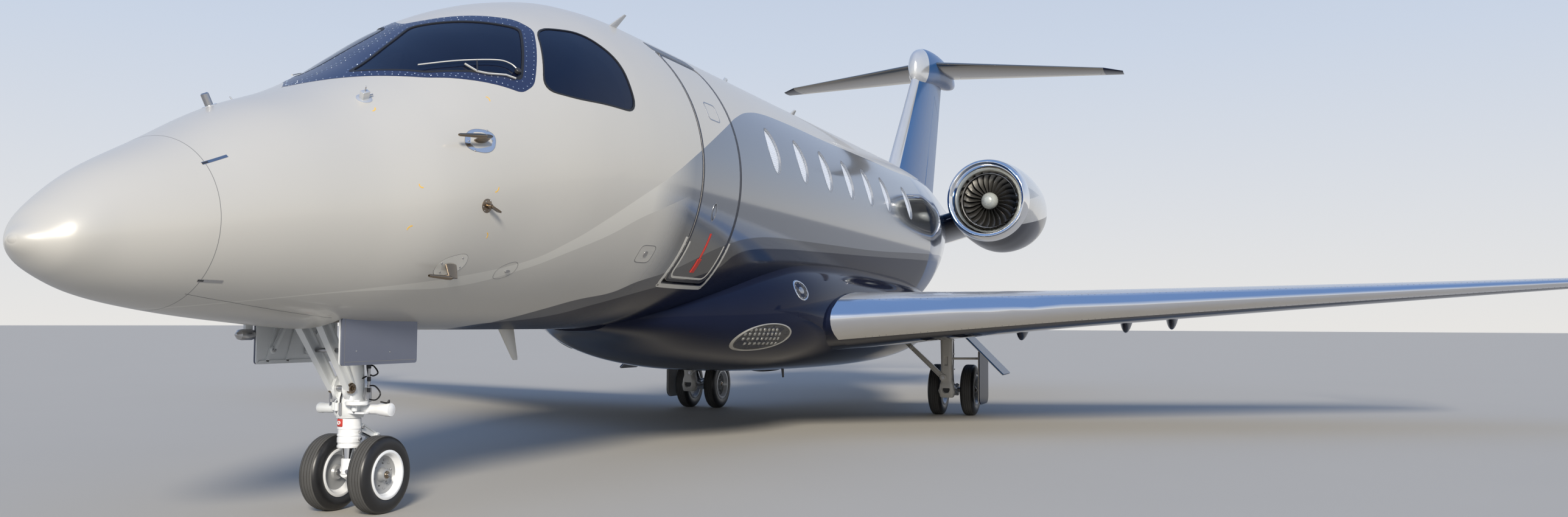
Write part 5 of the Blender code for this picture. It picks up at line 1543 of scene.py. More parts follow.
def nacelle():
    """Cowl outside, duct inside, and the case ring ahead of the fan."""
    rings = [cowl_ring(*row) for row in through(COWL, 7)]
    rings += [round_ring(s, r) for s, r in reversed(through(DUCT, 4))]
    cowl = loft("cowl", rings, "nacelle_paint", loop=True, sharp=50)
    axis = Vector((ENGINE_X, 0, ENGINE_Z))
    paint_by(cowl, ["nacelle_paint", "duct"],
             lambda face: face.normal.dot((face.center - axis) * Vector((1, 0, 1))) < 0)
    inner, outer = DUCT_RADIUS - CASE_RING, DUCT_RADIUS - FIT_GAP
    profile = [(inner, -CASE_RING_LENGTH), (outer, -CASE_RING_LENGTH), (outer, 0.0), (inner, 0.0)]
    case_ring = turned("case_ring", profile, point(ENGINE_X, FAN_STATION - 0.03, ENGINE_Z),
                       (0, 1, 0), 120, "steel", closed=True)
    return merge("cowl", [cowl, case_ring])


def engine_core():
    """Core on the engine's axis and the vanes that hold it in the duct."""
    parts = [turned("core", CORE_PROFILE, point(ENGINE_X, FAN_STATION, ENGINE_Z), (0, 1, 0), 64,
                    "engine")]
    front, rear = (s - LENGTH / 2 for s in VANE_STATIONS)
    for k in range(VANES):
        vane = box((-VANE_HALF, front, VANE_ROOT), (VANE_HALF, rear, DUCT_RADIUS - 0.001), "duct")
        vane.data.transform(Matrix.Translation((ENGINE_X, 0, ENGINE_Z))
                            @ Matrix.Rotation(2 * math.pi * k / VANES, 4, "Y"))
        parts.append(vane)
    return merge("core", parts)


def pylon():
    """Strut of aerofoil section, trimmed to the fuselage and the cowl."""
    (x0, z0), (x1, z1) = PYLON_ENDS
    rings = []
    for k in range(13):
        x, z = x0 + (x1 - x0) * k / 12, z0 + (z1 - z0) * k / 12
        rings.append(aerofoil_ring(*PYLON_SECTION, lambda s, up, x=x, z=z: point(x, s, z + up)))
    strut = loft("pylon", rings, "navy", sharp=50)
    cowl = loft("solid_cowl", [cowl_ring(s, *(reach + FIT_GAP for reach in row))
                               for s, *row in through(COWL, 7)])
    cut(strut, cowl, fuselage_core(14.5, TAIL_END))
    paint(strut, "navy")
    set_sharp(strut, 50)
    return strut


def build_engines():
    for piece, node in ((inlet_lip(), "inlet_lip"), (nacelle(), "nacelle"), (build_fan(), "fan"),
                        (engine_core(), "engine_core"), (pylon(), "pylon")):
        both_sides(piece, node + "_skin_{}", "fan_{}" if node == "fan" else "airframe",
                   node + "_{}")


build_engines()


# Cabin windows

def ellipse_outline(station, grow):
    """Window outline on the port skin as (station, degrees)."""
    out = []
    for c, s in circle(40):
        along = station + (WINDOW_SIZE[0] / 2 + grow) * c
        up = (WINDOW_SIZE[1] / 2 + grow) * s
        out.append((along, angle_at(along, WINDOW_HEIGHT + up)))
    return out


def pleated_shade(station):
    """Closed pleated shade behind one window."""
    rows, columns = 46, 8
    bottom = WINDOW_HEIGHT - WINDOW_SIZE[1] / 2 - 0.02
    height = WINDOW_SIZE[1] + 0.04
    front, back = [], []
    for i in range(rows + 1):
        z = bottom + height * i / rows
        inset = 0.026 + 0.004 * (i % 2)
        for j in range(columns + 1):
            s = station - 0.17 + 0.34 * j / columns
            place = skin(s, angle_at(s, z), inset)
            front.append(tuple(place))
            back.append(tuple(place - np.array([0.003, 0, 0])))
    count = len(front)
    wide = columns + 1
    faces = []
    for i in range(rows):
        for j in range(columns):
            a = i * wide + j
            faces.append((a, a + 1, a + 1 + wide, a + wide))
            faces.append((count + a + wide, count + a + wide + 1, count + a + 1, count + a))
    rim = list(range(wide))
    rim += [i * wide + columns for i in range(1, rows + 1)]
    rim += [rows * wide + j for j in range(columns - 1, -1, -1)]
    rim += [i * wide for i in range(rows - 1, 0, -1)]
    for a, b in zip(rim, rim[1:] + rim[:1]):
        faces.append((b, a, count + a, count + b))
    shade = make_mesh("shade", front + back, faces, "shade", smooth=False)
    face_out(shade)
    return shade


def build_cabin_windows():
    pane_layer = skin_layer(6.3, 12.3, -0.006, 0.012, step=0.4)
    belt_layer = skin_layer(6.35, 12.25, -(WALL + FIT_GAP), WALL + 0.012, step=0.4)
    rim_layer = skin_layer(6.3, 12.3, 0.0008, 0.014, step=0.4)
    low, high = angle_at(9.0, WINDOW_HEIGHT - 0.33), angle_at(9.0, WINDOW_HEIGHT + 0.33)
    front, rear = FIRST_WINDOW - 0.30, LAST_WINDOW + 0.30
    belt_outline = [(front, low), (front, high), (rear, high), (rear, low)]
    parts = []
    for station in WINDOW_STATIONS:
        parts.append(patch("pane", pane_layer, ellipse_outline(station, -0.006), [],
                           "cabin_glass"))
        parts.append(patch("rim", rim_layer, ellipse_outline(station, -0.0005),
                           [ellipse_outline(station, -0.007)], "steel"))
        parts.append(pleated_shade(station))
    parts.append(patch("belt", belt_layer, belt_outline,
                       [ellipse_outline(s, 0.012) for s in WINDOW_STATIONS], "trim"))
    both_sides(merge("cabin_windows_port", parts), "cabin_windows_{}",
               node="cabin_window_panel_{}")
    for obj in (pane_layer, belt_layer, rim_layer):
        bpy.data.objects.remove(obj, do_unlink=True)


build_cabin_windows()


# Door trim: seals, painted band, handle, strap and airstair treads

DOOR_BAND = [(-0.037, -0.42), (-0.037, -0.06), (-0.022, 0.025), (0.05, 0.049)]
DOOR_MIDDLE = 5.338
TREADS, FIRST_TREAD_ANGLE, TREAD_PITCH = 6, 62.0, 9.0


def at_heights(places):
    """(station, degrees) on the port skin for (station, height) places."""
    return [(s, angle_at(s, z)) for s, z in places]


def airstair_treads():
    parts = []
    run = Vector((0, 1, 0))
    for k in range(TREADS):
        centre = skin_out([DOOR_MIDDLE], [FIRST_TREAD_ANGLE + TREAD_PITCH * k], -0.052)[0]
        outward = Vector(skin_normals(np.array([centre]))[0])
        rise = outward.cross(run).normalized()
        for reach, low, high, item in ((0.30, -0.012, 0.045, "tread_frame"),
                                       (0.285, 0.044, 0.0475, "tread_pad")):
            rings = [[Vector(centre) - outward * depth + run * reach * u + rise * 0.085 * v
                      for u, v in ((-1, -1), (1, -1), (1, 1), (-1, 1))] for depth in (low, high)]
            parts.append(loft("step", rings, item, sharp=30))
    return parts


def build_door_trim():
    seal = skin_strip("door_seal", door_outline(-0.0125, 0.095), 0.024, "door_seal", lift=0.0008,
                      closed=True)
    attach(seal, "entry_door")
    surround = skin_strip("door_surround", door_outline(0.0140, 0.052, DOOR_SILL_EXTRA), 0.013,
                          "door_seal", lift=0.0008, closed=True)
    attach(surround, "airframe")
    metres = metres_per_degree(DOOR_FRONT)
    band = [(DOOR_FRONT + s, a) for s, a in DOOR_BAND]
    band += [(DOOR_REAR - s, a) for s, a in reversed(DOOR_BAND)]
    curve = through([(s, DOOR_BOTTOM_ANGLE * metres + a) for s, a in band], 6)
    strip = skin_strip("door_band", [(s, a / metres) for s, a in curve], 0.044, "stripe_plain",
                       lift=0.0007)
    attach(strip, "airframe")

    inner_band = [spot for spot in door_outline(-0.048, 0.09) if spot[1] > 116.0]
    inner_band.sort(key=lambda spot: math.atan2(spot[0] - DOOR_MIDDLE,
                                                spot[1] - DOOR_BOTTOM_ANGLE + 10))
    frame_corners = at_heights([(5.235, 2.912), (5.235, 3.06), (5.46, 3.06), (5.46, 2.912)])
    oval = [(5.25 + 0.040 * c, angle_at(5.25, 2.13 + 0.075 * s)) for c, s in circle(28)]
    strap = at_heights([(5.318, 1.956), (5.322, 1.85), (5.326, 1.74)])
    strap_end = at_heights([(5.327, 1.745), (5.332, 1.69), (5.333, 1.635)])
    parts = [skin_strip("handle_frame", skin_outline(frame_corners, 0.035, step=0.03), 0.011,
                        "steel", lift=0.001, closed=True),
             skin_strip("handle_rim", oval, 0.009, "steel", lift=0.0012, closed=True),
             # dark oval inside the handle rim: painted shade of the handle recess
             loft("recess_painted_shade", [on_skin(oval, 0.0004)[0], on_skin(oval, -0.002)[0]], "dark"),
             skin_strip("inner_band", inner_band, 0.020, "stripe_plain", lift=0.0009),
             skin_strip("strap", strap, 0.020, "red", lift=0.006),
             skin_strip("strap_end", strap_end, 0.062, "red", lift=0.008)]
    trim = merge("door_fittings", parts + airstair_treads())
    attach(trim, "entry_door")


build_door_trim()


# Probes, vents and hatches on the nose

def local_frame(station, degrees):
    """Place on the port skin with its normal, forward and upward directions."""
    places, normals = on_skin([(station, degrees)])
    normal = Vector(normals[0])
    forward = Vector((0, -1, 0))
    forward = (forward - normal * forward.dot(normal)).normalized()
    up = normal.cross(forward).normalized()
    if up.z < 0:
        up = -up
    return Vector(places[0]), normal, forward, up


def skin_oval(station, degrees, half_length, half_height, power, tilt, count):
    metres = metres_per_degree(station)
    return [(station + u, degrees - v / metres)
            for u, v in super_oval(half_length, half_height, power, count, tilt)]


def plate(station, degrees, half_length, half_height, lift, material, power=2.0, tilt=0.0):
    """Thin rounded plate that follows the skin."""
    spots = skin_oval(station, degrees, half_length, half_height, power, tilt, 40)
    return loft("plate", [on_skin(spots, lift)[0], on_skin(spots, -0.003)[0]], material)


def outline_on(name, station, degrees, half_length, half_height, width, material, power,
               tilt=0.0, lift=0.0008):
    """Closed line around an oval on the skin."""
    spots = skin_oval(station, degrees, half_length, half_height, power, tilt, 48)
    return skin_strip(name, spots, width, material, lift, closed=True)


def base_plate(place, normal, inner, outer, height, rim, segments, material):
    """Low round foot on the skin with a bevelled edge."""
    profile = [(0.0, height), (inner, height), (outer, rim), (outer, -0.004), (0.0, -0.004)]
    return turned("base", profile, place, normal, segments, material)


def pitot(station, degrees, rise, drop, plate_material, tilt=0.12):
    """Air data probe: plate, raked mast and a tapered tube pointing forward."""
    place, normal, forward, up = local_frame(station, degrees)
    head = place + normal * rise + up * drop
    side = forward.cross(head - place).normalized()
    mast = [[centre + forward * chord / 2 * c + side * thick / 2 * s for c, s in circle(24)]
            for centre, chord, thick in ((place - normal * 0.004, 0.105, 0.034),
                                         (head, 0.080, 0.024))]
    barrel = [(0.0, -0.020), (0.008, -0.014), (0.013, 0.0), (0.0145, 0.04), (0.0125, 0.10),
              (0.0095, 0.19), (0.0075, 0.20), (0.004, 0.20), (0.0035, 0.18), (0.0, 0.18)]
    screws = [(station + u, degrees + v) for u, v in ((-0.09, -1.6), (-0.06, 3.0), (0.09, 1.6),
                                                      (0.07, -2.8))]
    return [loft("mast", mast, "probe"),
            turned("barrel", barrel, head + forward * 0.024, forward, 24, "probe"),
            plate(station, degrees, 0.122, 0.074, 0.0015, plate_material, 2.5, tilt),
            outline_on("plate_rim", station, degrees, 0.123, 0.075, 0.0025, "panel_line", 2.5,
                       tilt, 0.0012),
            skin_studs("screws", screws, 0.006, 0.002, "steel", 0.002)]


def build_probes():
    parts = pitot(2.36, 73.0, 0.075, 0.0, "polished", -0.45)
    parts += pitot(2.26, 123.0, 0.062, -0.055, "stripe_plain")

    vane_station, vane_degrees = 2.39, 99.2
    place, normal, forward, up = local_frame(vane_station, vane_degrees)
    blade = [place + normal * h - forward * f - up * d
             for h, f, d in ((0.018, -0.01, -0.004), (0.056, -0.006, 0.0), (0.060, 0.070, 0.026),
                             (0.026, 0.066, 0.024))]
    screws = [(vane_station + 0.034 * c, vane_degrees + 2.05 * s) for c, s in circle(6)]
    parts += [base_plate(place, normal, 0.034, 0.044, 0.005, 0.001, 36, "probe"),
              rod(place, place + normal * 0.040, 0.015, "probe", 20, 0.002),
              loft("vane", [[p + up * d for p in blade] for d in (0.006, -0.006)], "probe"),
              skin_studs("screws", screws, 0.0042, 0.0018, "steel", 0.005)]

    # ice detector
    place, normal, forward, up = local_frame(1.815, 35.5)
    block = box((-0.026, -0.017, 0.0), (0.026, 0.017, 0.052), "nacelle_light", bevel=0.004)
    turn = Matrix((forward, normal.cross(forward), normal)).transposed().to_4x4()
    turn.translation = place
    block.data.transform(turn)
    arm = place + normal * 0.014
    parts += [base_plate(place, normal, 0.040, 0.047, 0.006, 0.002, 36, "nacelle_light"), block,
              rod(place + normal * 0.05, place + normal * 0.085, 0.0035, "steel", 12, 0.001),
              rod(arm - forward * 0.02, arm - forward * 0.062, 0.004, "steel", 12)]
    both_sides(merge("nose_probes_port", parts), "nose_probes_{}")

    place, normal, forward, up = local_frame(1.22, -9.0)
    post = [rod(place - normal * 0.004, place + normal * 0.075, 0.022, "steel", 24, 0.006),
            base_plate(place, normal, 0.036, 0.042, 0.004, 0.001, 32, "nacelle_light")]
    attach(merge("crown_probe", post), "airframe")


BELLY_JOINT = [(0.735, 144.7), (0.865, 146.7), (1.02, 148.7), (1.18, 150.9), (1.36, 153.0),
               (1.545, 154.5), (1.76, 156.2)]
# Short curved marks: station, degrees, where the arc starts
MARKS = [(1.790, 42.5, 0.0), (2.52, 58.8, -1.2), (2.45, 93.0, 0.0), (2.44, 112.0, -1.2),
         (1.905, 84.0, 1.6), (1.85, 103.5, 3.1)]
# Blade antennas: name, station, degrees, height, root chord, tip chord, rake, finish
ANTENNAS = [("crown_antenna_port", 4.62, 28.4, 0.13, 0.13, 0.045, 0.11, "nacelle_light"),
            ("crown_antenna", 8.3, 0.0, 0.20, 0.24, 0.10, 0.15, "nacelle_light"),
            ("crown_antenna_rear", 9.2, 24.0, 0.06, 0.16, 0.08, 0.05, "nacelle_light"),
            ("keel_antenna", 4.08, 180.0, 0.24, 0.22, 0.075, 0.14, "stripe_plain")]
BLADE_SHARES = [0.5 - 0.5 * math.cos(math.pi * k / 12) for k in range(13)]
BLADE_SECTION = ([(share, half_thickness(share)) for share in BLADE_SHARES]
                 + [(share, -half_thickness(share)) for share in BLADE_SHARES[11:0:-1]])


def build_skin_details():
    hatch_angle, panel = angle_at(2.82, 1.543), (4.37, 123.4)
    parts = [outline_on("hatch", 2.82, hatch_angle, 0.095, 0.062, 0.0025, "panel_line", 2.4, 0.25),
             plate(2.84, angle_at(2.84, 1.540), 0.022, 0.010, 0.006, "steel"),
             outline_on("service_panel", *panel, 0.115, 0.075, 0.006, "panel_line", 4.5),
             plate(*panel, 0.110, 0.071, 0.0008, "pearl_plain", 4.5),
             plate(*panel, 0.026, 0.026, 0.0022, "steel", 2.2)]
    for s, a, start in MARKS:
        arc = [(s + 0.026 * math.cos(t), a + 1.6 * math.sin(t))
               for t in [start + math.pi * 0.55 * k / 8 for k in range(9)]]
        parts.append(skin_strip("mark", arc, 0.007, "yellow"))
    for a in (49.2, 131.8, -49.2, -131.8):
        parts.append(skin_strip("latch", [(s, a) for s in (0.735, 0.80, 0.865)], 0.018, "steel",
                                lift=0.0012))
        parts.append(skin_strip("latch_end", [(0.735, a), (0.765, a)], 0.010, "dark", lift=0.0020))
    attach(merge("nose_markings", parts), "airframe")
    joint = skin_strip("radome_joint", [(RADOME_JOINT, 360 * k / 144) for k in range(144)], 0.0032,
                       "panel_line", lift=0.0002, depth=0.004, closed=True)
    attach(joint, "airframe")
    for name, side in (("port", 1), ("starboard", -1)):
        seam = skin_strip("belly_joint_" + name, [(s, a * side) for s, a in BELLY_JOINT], 0.0035,
                          "panel_line", lift=0.0004)
        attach(seam, "airframe")
    for row in ANTENNAS:
        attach(antenna(*row), "airframe")


def antenna(name, station, degrees, height, chord, top_chord, rake, material):
    """Raked blade antenna standing on the skin."""
    places, normals = on_skin([(station, degrees)])
    place, normal = Vector(places[0]), Vector(normals[0])
    across = normal.cross(Vector((0, 1, 0))).normalized()
    rings = []
    for u, size in ((0.0, 1.0), (0.35, 1.0), (0.7, 1.0), (0.93, 1.0), (1.0, 0.8)):
        width = (chord + (top_chord - chord) * u) * size
        foot = place + normal * (height * u - 0.012 * (1 - u))
        rings.append([foot + Vector((0, rake * u + width * (share - 0.5), 0))
                      + across * half * 0.13 * width for share, half in BLADE_SECTION])
    return loft(name, rings, material)


build_probes()
build_skin_details()


# Landing gear; places are (x, station, height)

NOSE_AXLE, MAIN_AXLE = (0.0, 2.387, 0.244), (1.829, 12.07, 0.336)
# Tyres: radius, half-width, rim radius, distance from the axle's middle
NOSE_TYRE, MAIN_TYRE = (0.244, 0.071, 0.144, 0.183), (0.336, 0.088, 0.190, 0.215)
GEAR_X, LEG_STATION = 1.829, 11.60
X, Y, Z = (1, 0, 0), (0, 1, 0), (0, 0, 1)
BEAM_SECTION = [(-1, -1), (1, -1), (1, -0.65), (0.35, -0.55), (0.35, 0.55), (1, 0.65), (1, 1),
                (-1, 1), (-1, 0.65), (-0.35, 0.55), (-0.35, -0.55), (-1, -0.65)]


def bar(start, end, radius, material, segments=24, chamfer=0.0):
    return rod(point(*start), point(*end), radius, material, segments, chamfer)


def beam(start, end, side, half_wide, half_tall, material, end_share=1.0):
    """Forged beam of I section; side is the direction across its flanges."""
    start, end, side = point(*start), point(*end), Vector(side)
    along = (end - start).normalized()
    side = (side - along * side.dot(along)).normalized()
    other = along.cross(side)
    rings = [[place + side * u * half_wide * size + other * v * half_tall * size
              for u, v in BEAM_SECTION] for place, size in ((start, 1.0), (end, end_share))]
    return loft("beam", rings, material, sharp=30)


def knuckle(centre, axis, radius, half_length, material, pin=None):
    """Round boss with a chamfer and, with a pin, its heads at both ends."""
    centre, axis = point(*centre), Vector(axis)
    parts = [rod(centre - axis * half_length, centre + axis * half_length, radius, material, 32,
                 min(0.005, radius * 0.2))]
    for out in (axis, -axis) if pin else ():
        face = centre + out * half_length
        parts.append(rod(face - out * 0.002, face + out * 0.009, radius * 0.52, pin, 6, 0.0015))
        parts.append(rod(face, face + out * 0.016, radius * 0.24, pin, 16, 0.001))
    return parts


def section_ring(x, station, z, half_x, half_y, power):
    return [point(x + u, station + v, z) for u, v in super_oval(half_x, half_y, power, 48)]


def mark_faces(obj, centre, near, far, material):
    """Another material on faces whose distance from an axle lies between two limits."""
    obj.data.materials.append(MATERIALS[material])
    for face in obj.data.polygons:
        reach = face.center - centre
        if near < math.hypot(reach.y, reach.z) < far:
            face.material_index = 1


def tyre(centre, size):
    """Aircraft tyre with four grooves around its tread."""
    radius, half_width, rim = size[:3]
    height = radius - rim
    side = [(rim + 0.001, 0.78), (rim + 0.10 * height, 0.90), (rim + 0.30 * height, 0.985),
            (rim + 0.50 * height, 1.0), (rim + 0.68 * height, 0.97), (rim + 0.84 * height, 0.86),
            (rim + 0.93 * height, 0.74), (radius - 0.004, 0.64)]
    tread = []
    for groove in (-0.46, -0.16, 0.16, 0.46):
        crown = radius - 0.0025 * groove ** 2
        tread += [(crown, groove - 0.032), (crown - 0.006, groove - 0.022),
                  (crown - 0.006, groove + 0.022), (crown, groove + 0.032)]
    profile = [(r, -y) for r, y in side] + tread + [(r, y) for r, y in reversed(side)]
    obj = turned("tyre", [(r, y * half_width) for r, y in profile], centre, X, 84, "rubber",
                 sharp=28, closed=True)
    mark_faces(obj, centre, radius - 0.0045, radius + 1, "tread")
    return obj


# Wheel profile: shares of the rim's radius and of the half-width
WHEEL = [(0.0, 0.80), (0.20, 0.80), (0.25, 0.74), (0.28, 0.52), (0.34, 0.26), (0.52, 0.16),
         (0.74, 0.20), (0.83, 0.42), (0.89, 0.72), (0.93, 0.92), (0.97, 0.985), (1.05, 0.985),
         (1.08, 0.95), (1.08, 0.90), (1.03, 0.86), (0.995, 0.78), (0.995, -0.78), (1.03, -0.86),
         (1.08, -0.90), (1.08, -0.95), (1.05, -0.985), (0.97, -0.985), (0.92, -0.90),
         (0.87, -0.62), (0.78, -0.46), (0.55, -0.42), (0.36, -0.52), (0.30, -0.72), (0.0, -0.72)]
WHEEL_CAP = [(0.0, 0.012), (0.07, 0.012), (0.08, 0.009), (0.15, 0.007), (0.17, 0.002),
             (0.17, -0.004), (0.0, -0.004)]


def wheel(centre, outward, size, windows):
    """Split wheel: flanges, dished web, bolts, dark discs painted as the shade in its windows or
    holes, and a hub cap.
    """
    half_width, rim = size[1], size[2]
    axis = Vector((outward, 0, 0))

    def around(count, shift, reach, out):
        return [centre + axis * out * half_width + Vector((0, c, s)) * reach * rim
                for c, s in circle(count, shift)]

    disc = turned("wheel", [(r * rim, y * half_width) for r, y in WHEEL], centre, axis, 72, "rim")
    # the web and hub inside 0.8 of the rim's radius take the darker grey: painted shade of the
    # dished web
    mark_faces(disc, centre, -1, 0.80 * rim, "hub")
    cap_face = centre + axis * 0.80 * half_width
    parts = [disc,
             turned("cap", [(r * rim, y) for r, y in WHEEL_CAP], cap_face, axis, 32, "probe"),
             rod(cap_face + axis * 0.010, cap_face + axis * 0.020, 0.07 * rim, "steel", 6, 0.001),
             studs("bolts", around(12, 0.5, 0.64, 0.185), [axis] * 12, 0.034 * rim, 0.008, "steel",
                   6)]
    # dark discs on the web stand for its holes: painted shade seen through them
    if not windows:
        holes = around(6, 0.3 * 6 / (2 * math.pi), 0.45, 0.165)
        parts.append(studs("holes", holes, [axis] * 6, 0.075 * rim, 0.002, "dark", 18))
    # dark oval discs stand for the wheel's windows: painted shade seen through them
    for k in range(windows):
        shaded_window_disc = turned("shaded_window_disc", [(0.0, 0.0015), (0.066 * rim, 0.0015), (0.080 * rim, 0.0),
                               (0.080 * rim, -0.006), (0.0, -0.006)], (0, 0, 0), axis, 20, "dark")
        shaded_window_disc.data.transform(Matrix.Translation(centre + axis * 0.19 * half_width)
                            @ Matrix.Rotation(2 * math.pi * k / windows, 4, "X")
                            @ Matrix.Translation((0, 0, 0.60 * rim))
                            @ Matrix.Diagonal((1, 1, 2.2, 1)))
        parts.append(shaded_window_disc)
    return parts


def slab(outline, place, low, high, material=None):
    """Plate from an outline; place turns (u, v, depth) into a point."""
    return loft("slab", [[place(u, v, depth) for u, v in outline] for depth in (low, high)],
                material, sharp=30)


def frame_ribs(outline, place, low, high, material, diagonals):
    """Raised rim and ribs on the inner side of a door."""
    rings = [[place(a, b, low), place(c, d, low), place(c, d, high), place(a, b, high)]
             for (a, b), (c, d) in zip(outline, offset_loop(outline, -0.022))]
    parts = [loft("rim", rings, material, loop=True, sharp=30)]
    for start, end in diagonals:
        start, end = Vector(start), Vector(end)
        along = (end - start).normalized()
        across = Vector((-along.y, along.x)) * 0.012
        quad = [start + across, end + across, end - across, start - across]
        parts.append(slab(quad, place, low, high, material))
    return parts


def hose(points, radius=0.005):
    return tube(through([point(*p) for p in points], 8), radius, "rubber")


NOSE_TRUNK = [(1.288, 0.064, 0.062), (1.20, 0.066, 0.062), (1.02, 0.072, 0.066),
              (0.90, 0.080, 0.070), (0.80, 0.084, 0.074), (0.735, 0.076, 0.072),
              (0.715, 0.080, 0.080), (0.70, 0.088, 0.088), (0.625, 0.088, 0.088),
              (0.612, 0.078, 0.078), (0.6015, 0.076, 0.076)]
NOSE_EAR = [(2.335, 0.915), (2.265, 0.875), (2.216, 0.835), (2.203, 0.79), (2.213, 0.745),
            (2.250, 0.712), (2.335, 0.705)]
NOSE_HOSES = [
    [(0.10, 2.37, 0.93), (0.145, 2.36, 0.925), (0.185, 2.35, 0.885), (0.15, 2.35, 0.865),
     (0.10, 2.37, 0.875)],
    [(0.10, 2.36, 0.80), (0.165, 2.35, 0.80), (0.215, 2.34, 0.755), (0.18, 2.34, 0.715),
     (0.11, 2.34, 0.72)],
    [(0.09, 2.38, 1.0), (0.065, 2.395, 0.93), (0.08, 2.39, 0.86), (0.10, 2.37, 0.80)],
    [(0.235, 2.32, 0.705), (0.28, 2.32, 0.70), (0.29, 2.33, 0.715), (0.285, 2.335, 0.69)],
    [(0.09, 2.36, 0.86), (0.04, 2.235, 0.80), (0.01, 2.225, 0.74), (0.005, 2.225, 0.69)],
    [(-0.08, 2.37, 1.18), (-0.085, 2.385, 1.0), (-0.08, 2.39, 0.85), (-0.05, 2.37, 0.74)]]
# Steering cylinders and the boss beside them: profile, place, axis, segments, finish
NOSE_TURNINGS = [
    ([(0.0, 0.262), (0.026, 0.262), (0.031, 0.256), (0.034, 0.252), (0.034, 0.225), (0.031, 0.220),
      (0.031, 0.06), (0.0, 0.06)], (0, 2.335, 0.655), (-1, 0.03, 0), 32, "gear"),
    ([(0.0, 0.302), (0.022, 0.302), (0.027, 0.300), (0.040, 0.298), (0.043, 0.292), (0.043, 0.262),
      (0.037, 0.215), (0.032, 0.20), (0.031, 0.06), (0.0, 0.06)],
     (0, 2.335, 0.655), (1, 0.03, 0), 32, "rim"),
    ([(0.0, 0.018), (0.020, 0.018), (0.024, 0.010), (0.066, 0.010), (0.070, 0.006),
      (0.070, -0.010), (0.062, -0.016), (0.0, -0.016)], (0.105, 2.255, 0.700), Z, 40, "rim")]


def build_nose_leg():
    parts = [loft("trunk", [section_ring(0, 2.32, z, a, b, 2.6) for z, a, b in NOSE_TRUNK], "gear")]
    disc = [(2.24 + 0.036 * c, 0.79 + 0.036 * s) for c, s in circle(28)]
    for sign in (1, -1):
        def place(u, v, depth, sign=sign):
            return point(sign * depth, u, v)

        parts += [slab(rounded(NOSE_EAR, 0.03, 4), place, 0.030, 0.052, "gear"),
                  slab(disc, place, 0.050, 0.060, "gear"),
                  beam((0.085 * sign, 1.93, 1.25), (0.062 * sign, 2.24, 0.79), X, 0.026, 0.045,
                       "gear", 0.75),
                  bar((0.05 * sign, 2.32, 1.25), (0.2997 * sign, 2.32, 1.25), 0.034, "gear", 28,
                      0.004),
                  bar((0.12 * sign, 1.93, 1.25), (0.2997 * sign, 1.93, 1.25), 0.026, "gear", 24,
                      0.003)]
        parts += knuckle((0.13 * sign, 1.93, 1.25), X, 0.036, 0.026, "gear", "steel")
        parts += knuckle((0.072 * sign, 2.24, 0.79), X, 0.034, 0.014, "probe", "probe")
    for half, station, z, radius, material, segments in ((0.13, 1.93, 1.25, 0.018, "gear", 20),
                                                         (0.095, 2.08, 1.03, 0.014, "steel", 16),
                                                         (0.06, 2.24, 0.79, 0.018, "steel", 20)):
        parts.append(bar((-half, station, z), (half, station, z), radius, material, segments))
    for profile, place, axis, segments, material in NOSE_TURNINGS:
        parts.append(turned("turning", profile, point(*place), axis, segments, material))
    parts.append(slab(rounded([(0.03, 2.24), (0.17, 2.235), (0.17, 2.30), (0.03, 2.36)], 0.02, 3),
                      point, 0.632, 0.642, "rim"))
    for x, s in ((-0.085, 2.28), (0.10, 2.24), (-0.03, 2.235)):
        parts += knuckle((x, s, 0.672), Z, 0.017, 0.026, "gear", "steel")
    for x, s, z in ((-0.15, 2.32, 0.69), (-0.10, 2.26, 0.72), (0.16, 2.29, 0.715)):
        parts.append(bar((x, s, z - 0.02), (x, s, z + 0.045), 0.009, "steel", 6, 0.001))
    # feed pipes with their clamps and hoses down the port side
    for x, s in ((0.098, 2.375), (0.118, 2.350)):
        parts.append(bar((x, s, 0.735), (x, s, 1.20), 0.009, "steel", 12))
        for z in (0.76, 0.83, 0.91, 1.02):
            parts.append(bar((x, s, z), (x, s, z + 0.028), 0.013, "dark", 6, 0.002))
    parts.append(bar((0.105, 2.36, 0.70), (0.105, 2.36, 0.79), 0.022, "steel", 20, 0.003))
    parts += [hose(run) for run in NOSE_HOSES]
    parts.append(bar((0.005, 2.225, 0.625), (0.005, 2.225, 0.70), 0.010, "steel", 12, 0.001))
    leg = merge("nose_leg", parts)
    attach(leg, "airframe")
    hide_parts("nose_gear_leg")


COLLAR = [(0.0, 0.600), (0.066, 0.600), (0.071, 0.596), (0.071, 0.545), (0.0735, 0.543),
          (0.0735, 0.532), (0.069, 0.530), (0.069, 0.500), (0.0735, 0.497), (0.0735, 0.488),
          (0.070, 0.486), (0.070, 0.478), (0.0735, 0.475), (0.0735, 0.448), (0.069, 0.442),
          (0.069, 0.430), (0.0735, 0.428), (0.0735, 0.415), (0.060, 0.412), (0.0, 0.412)]


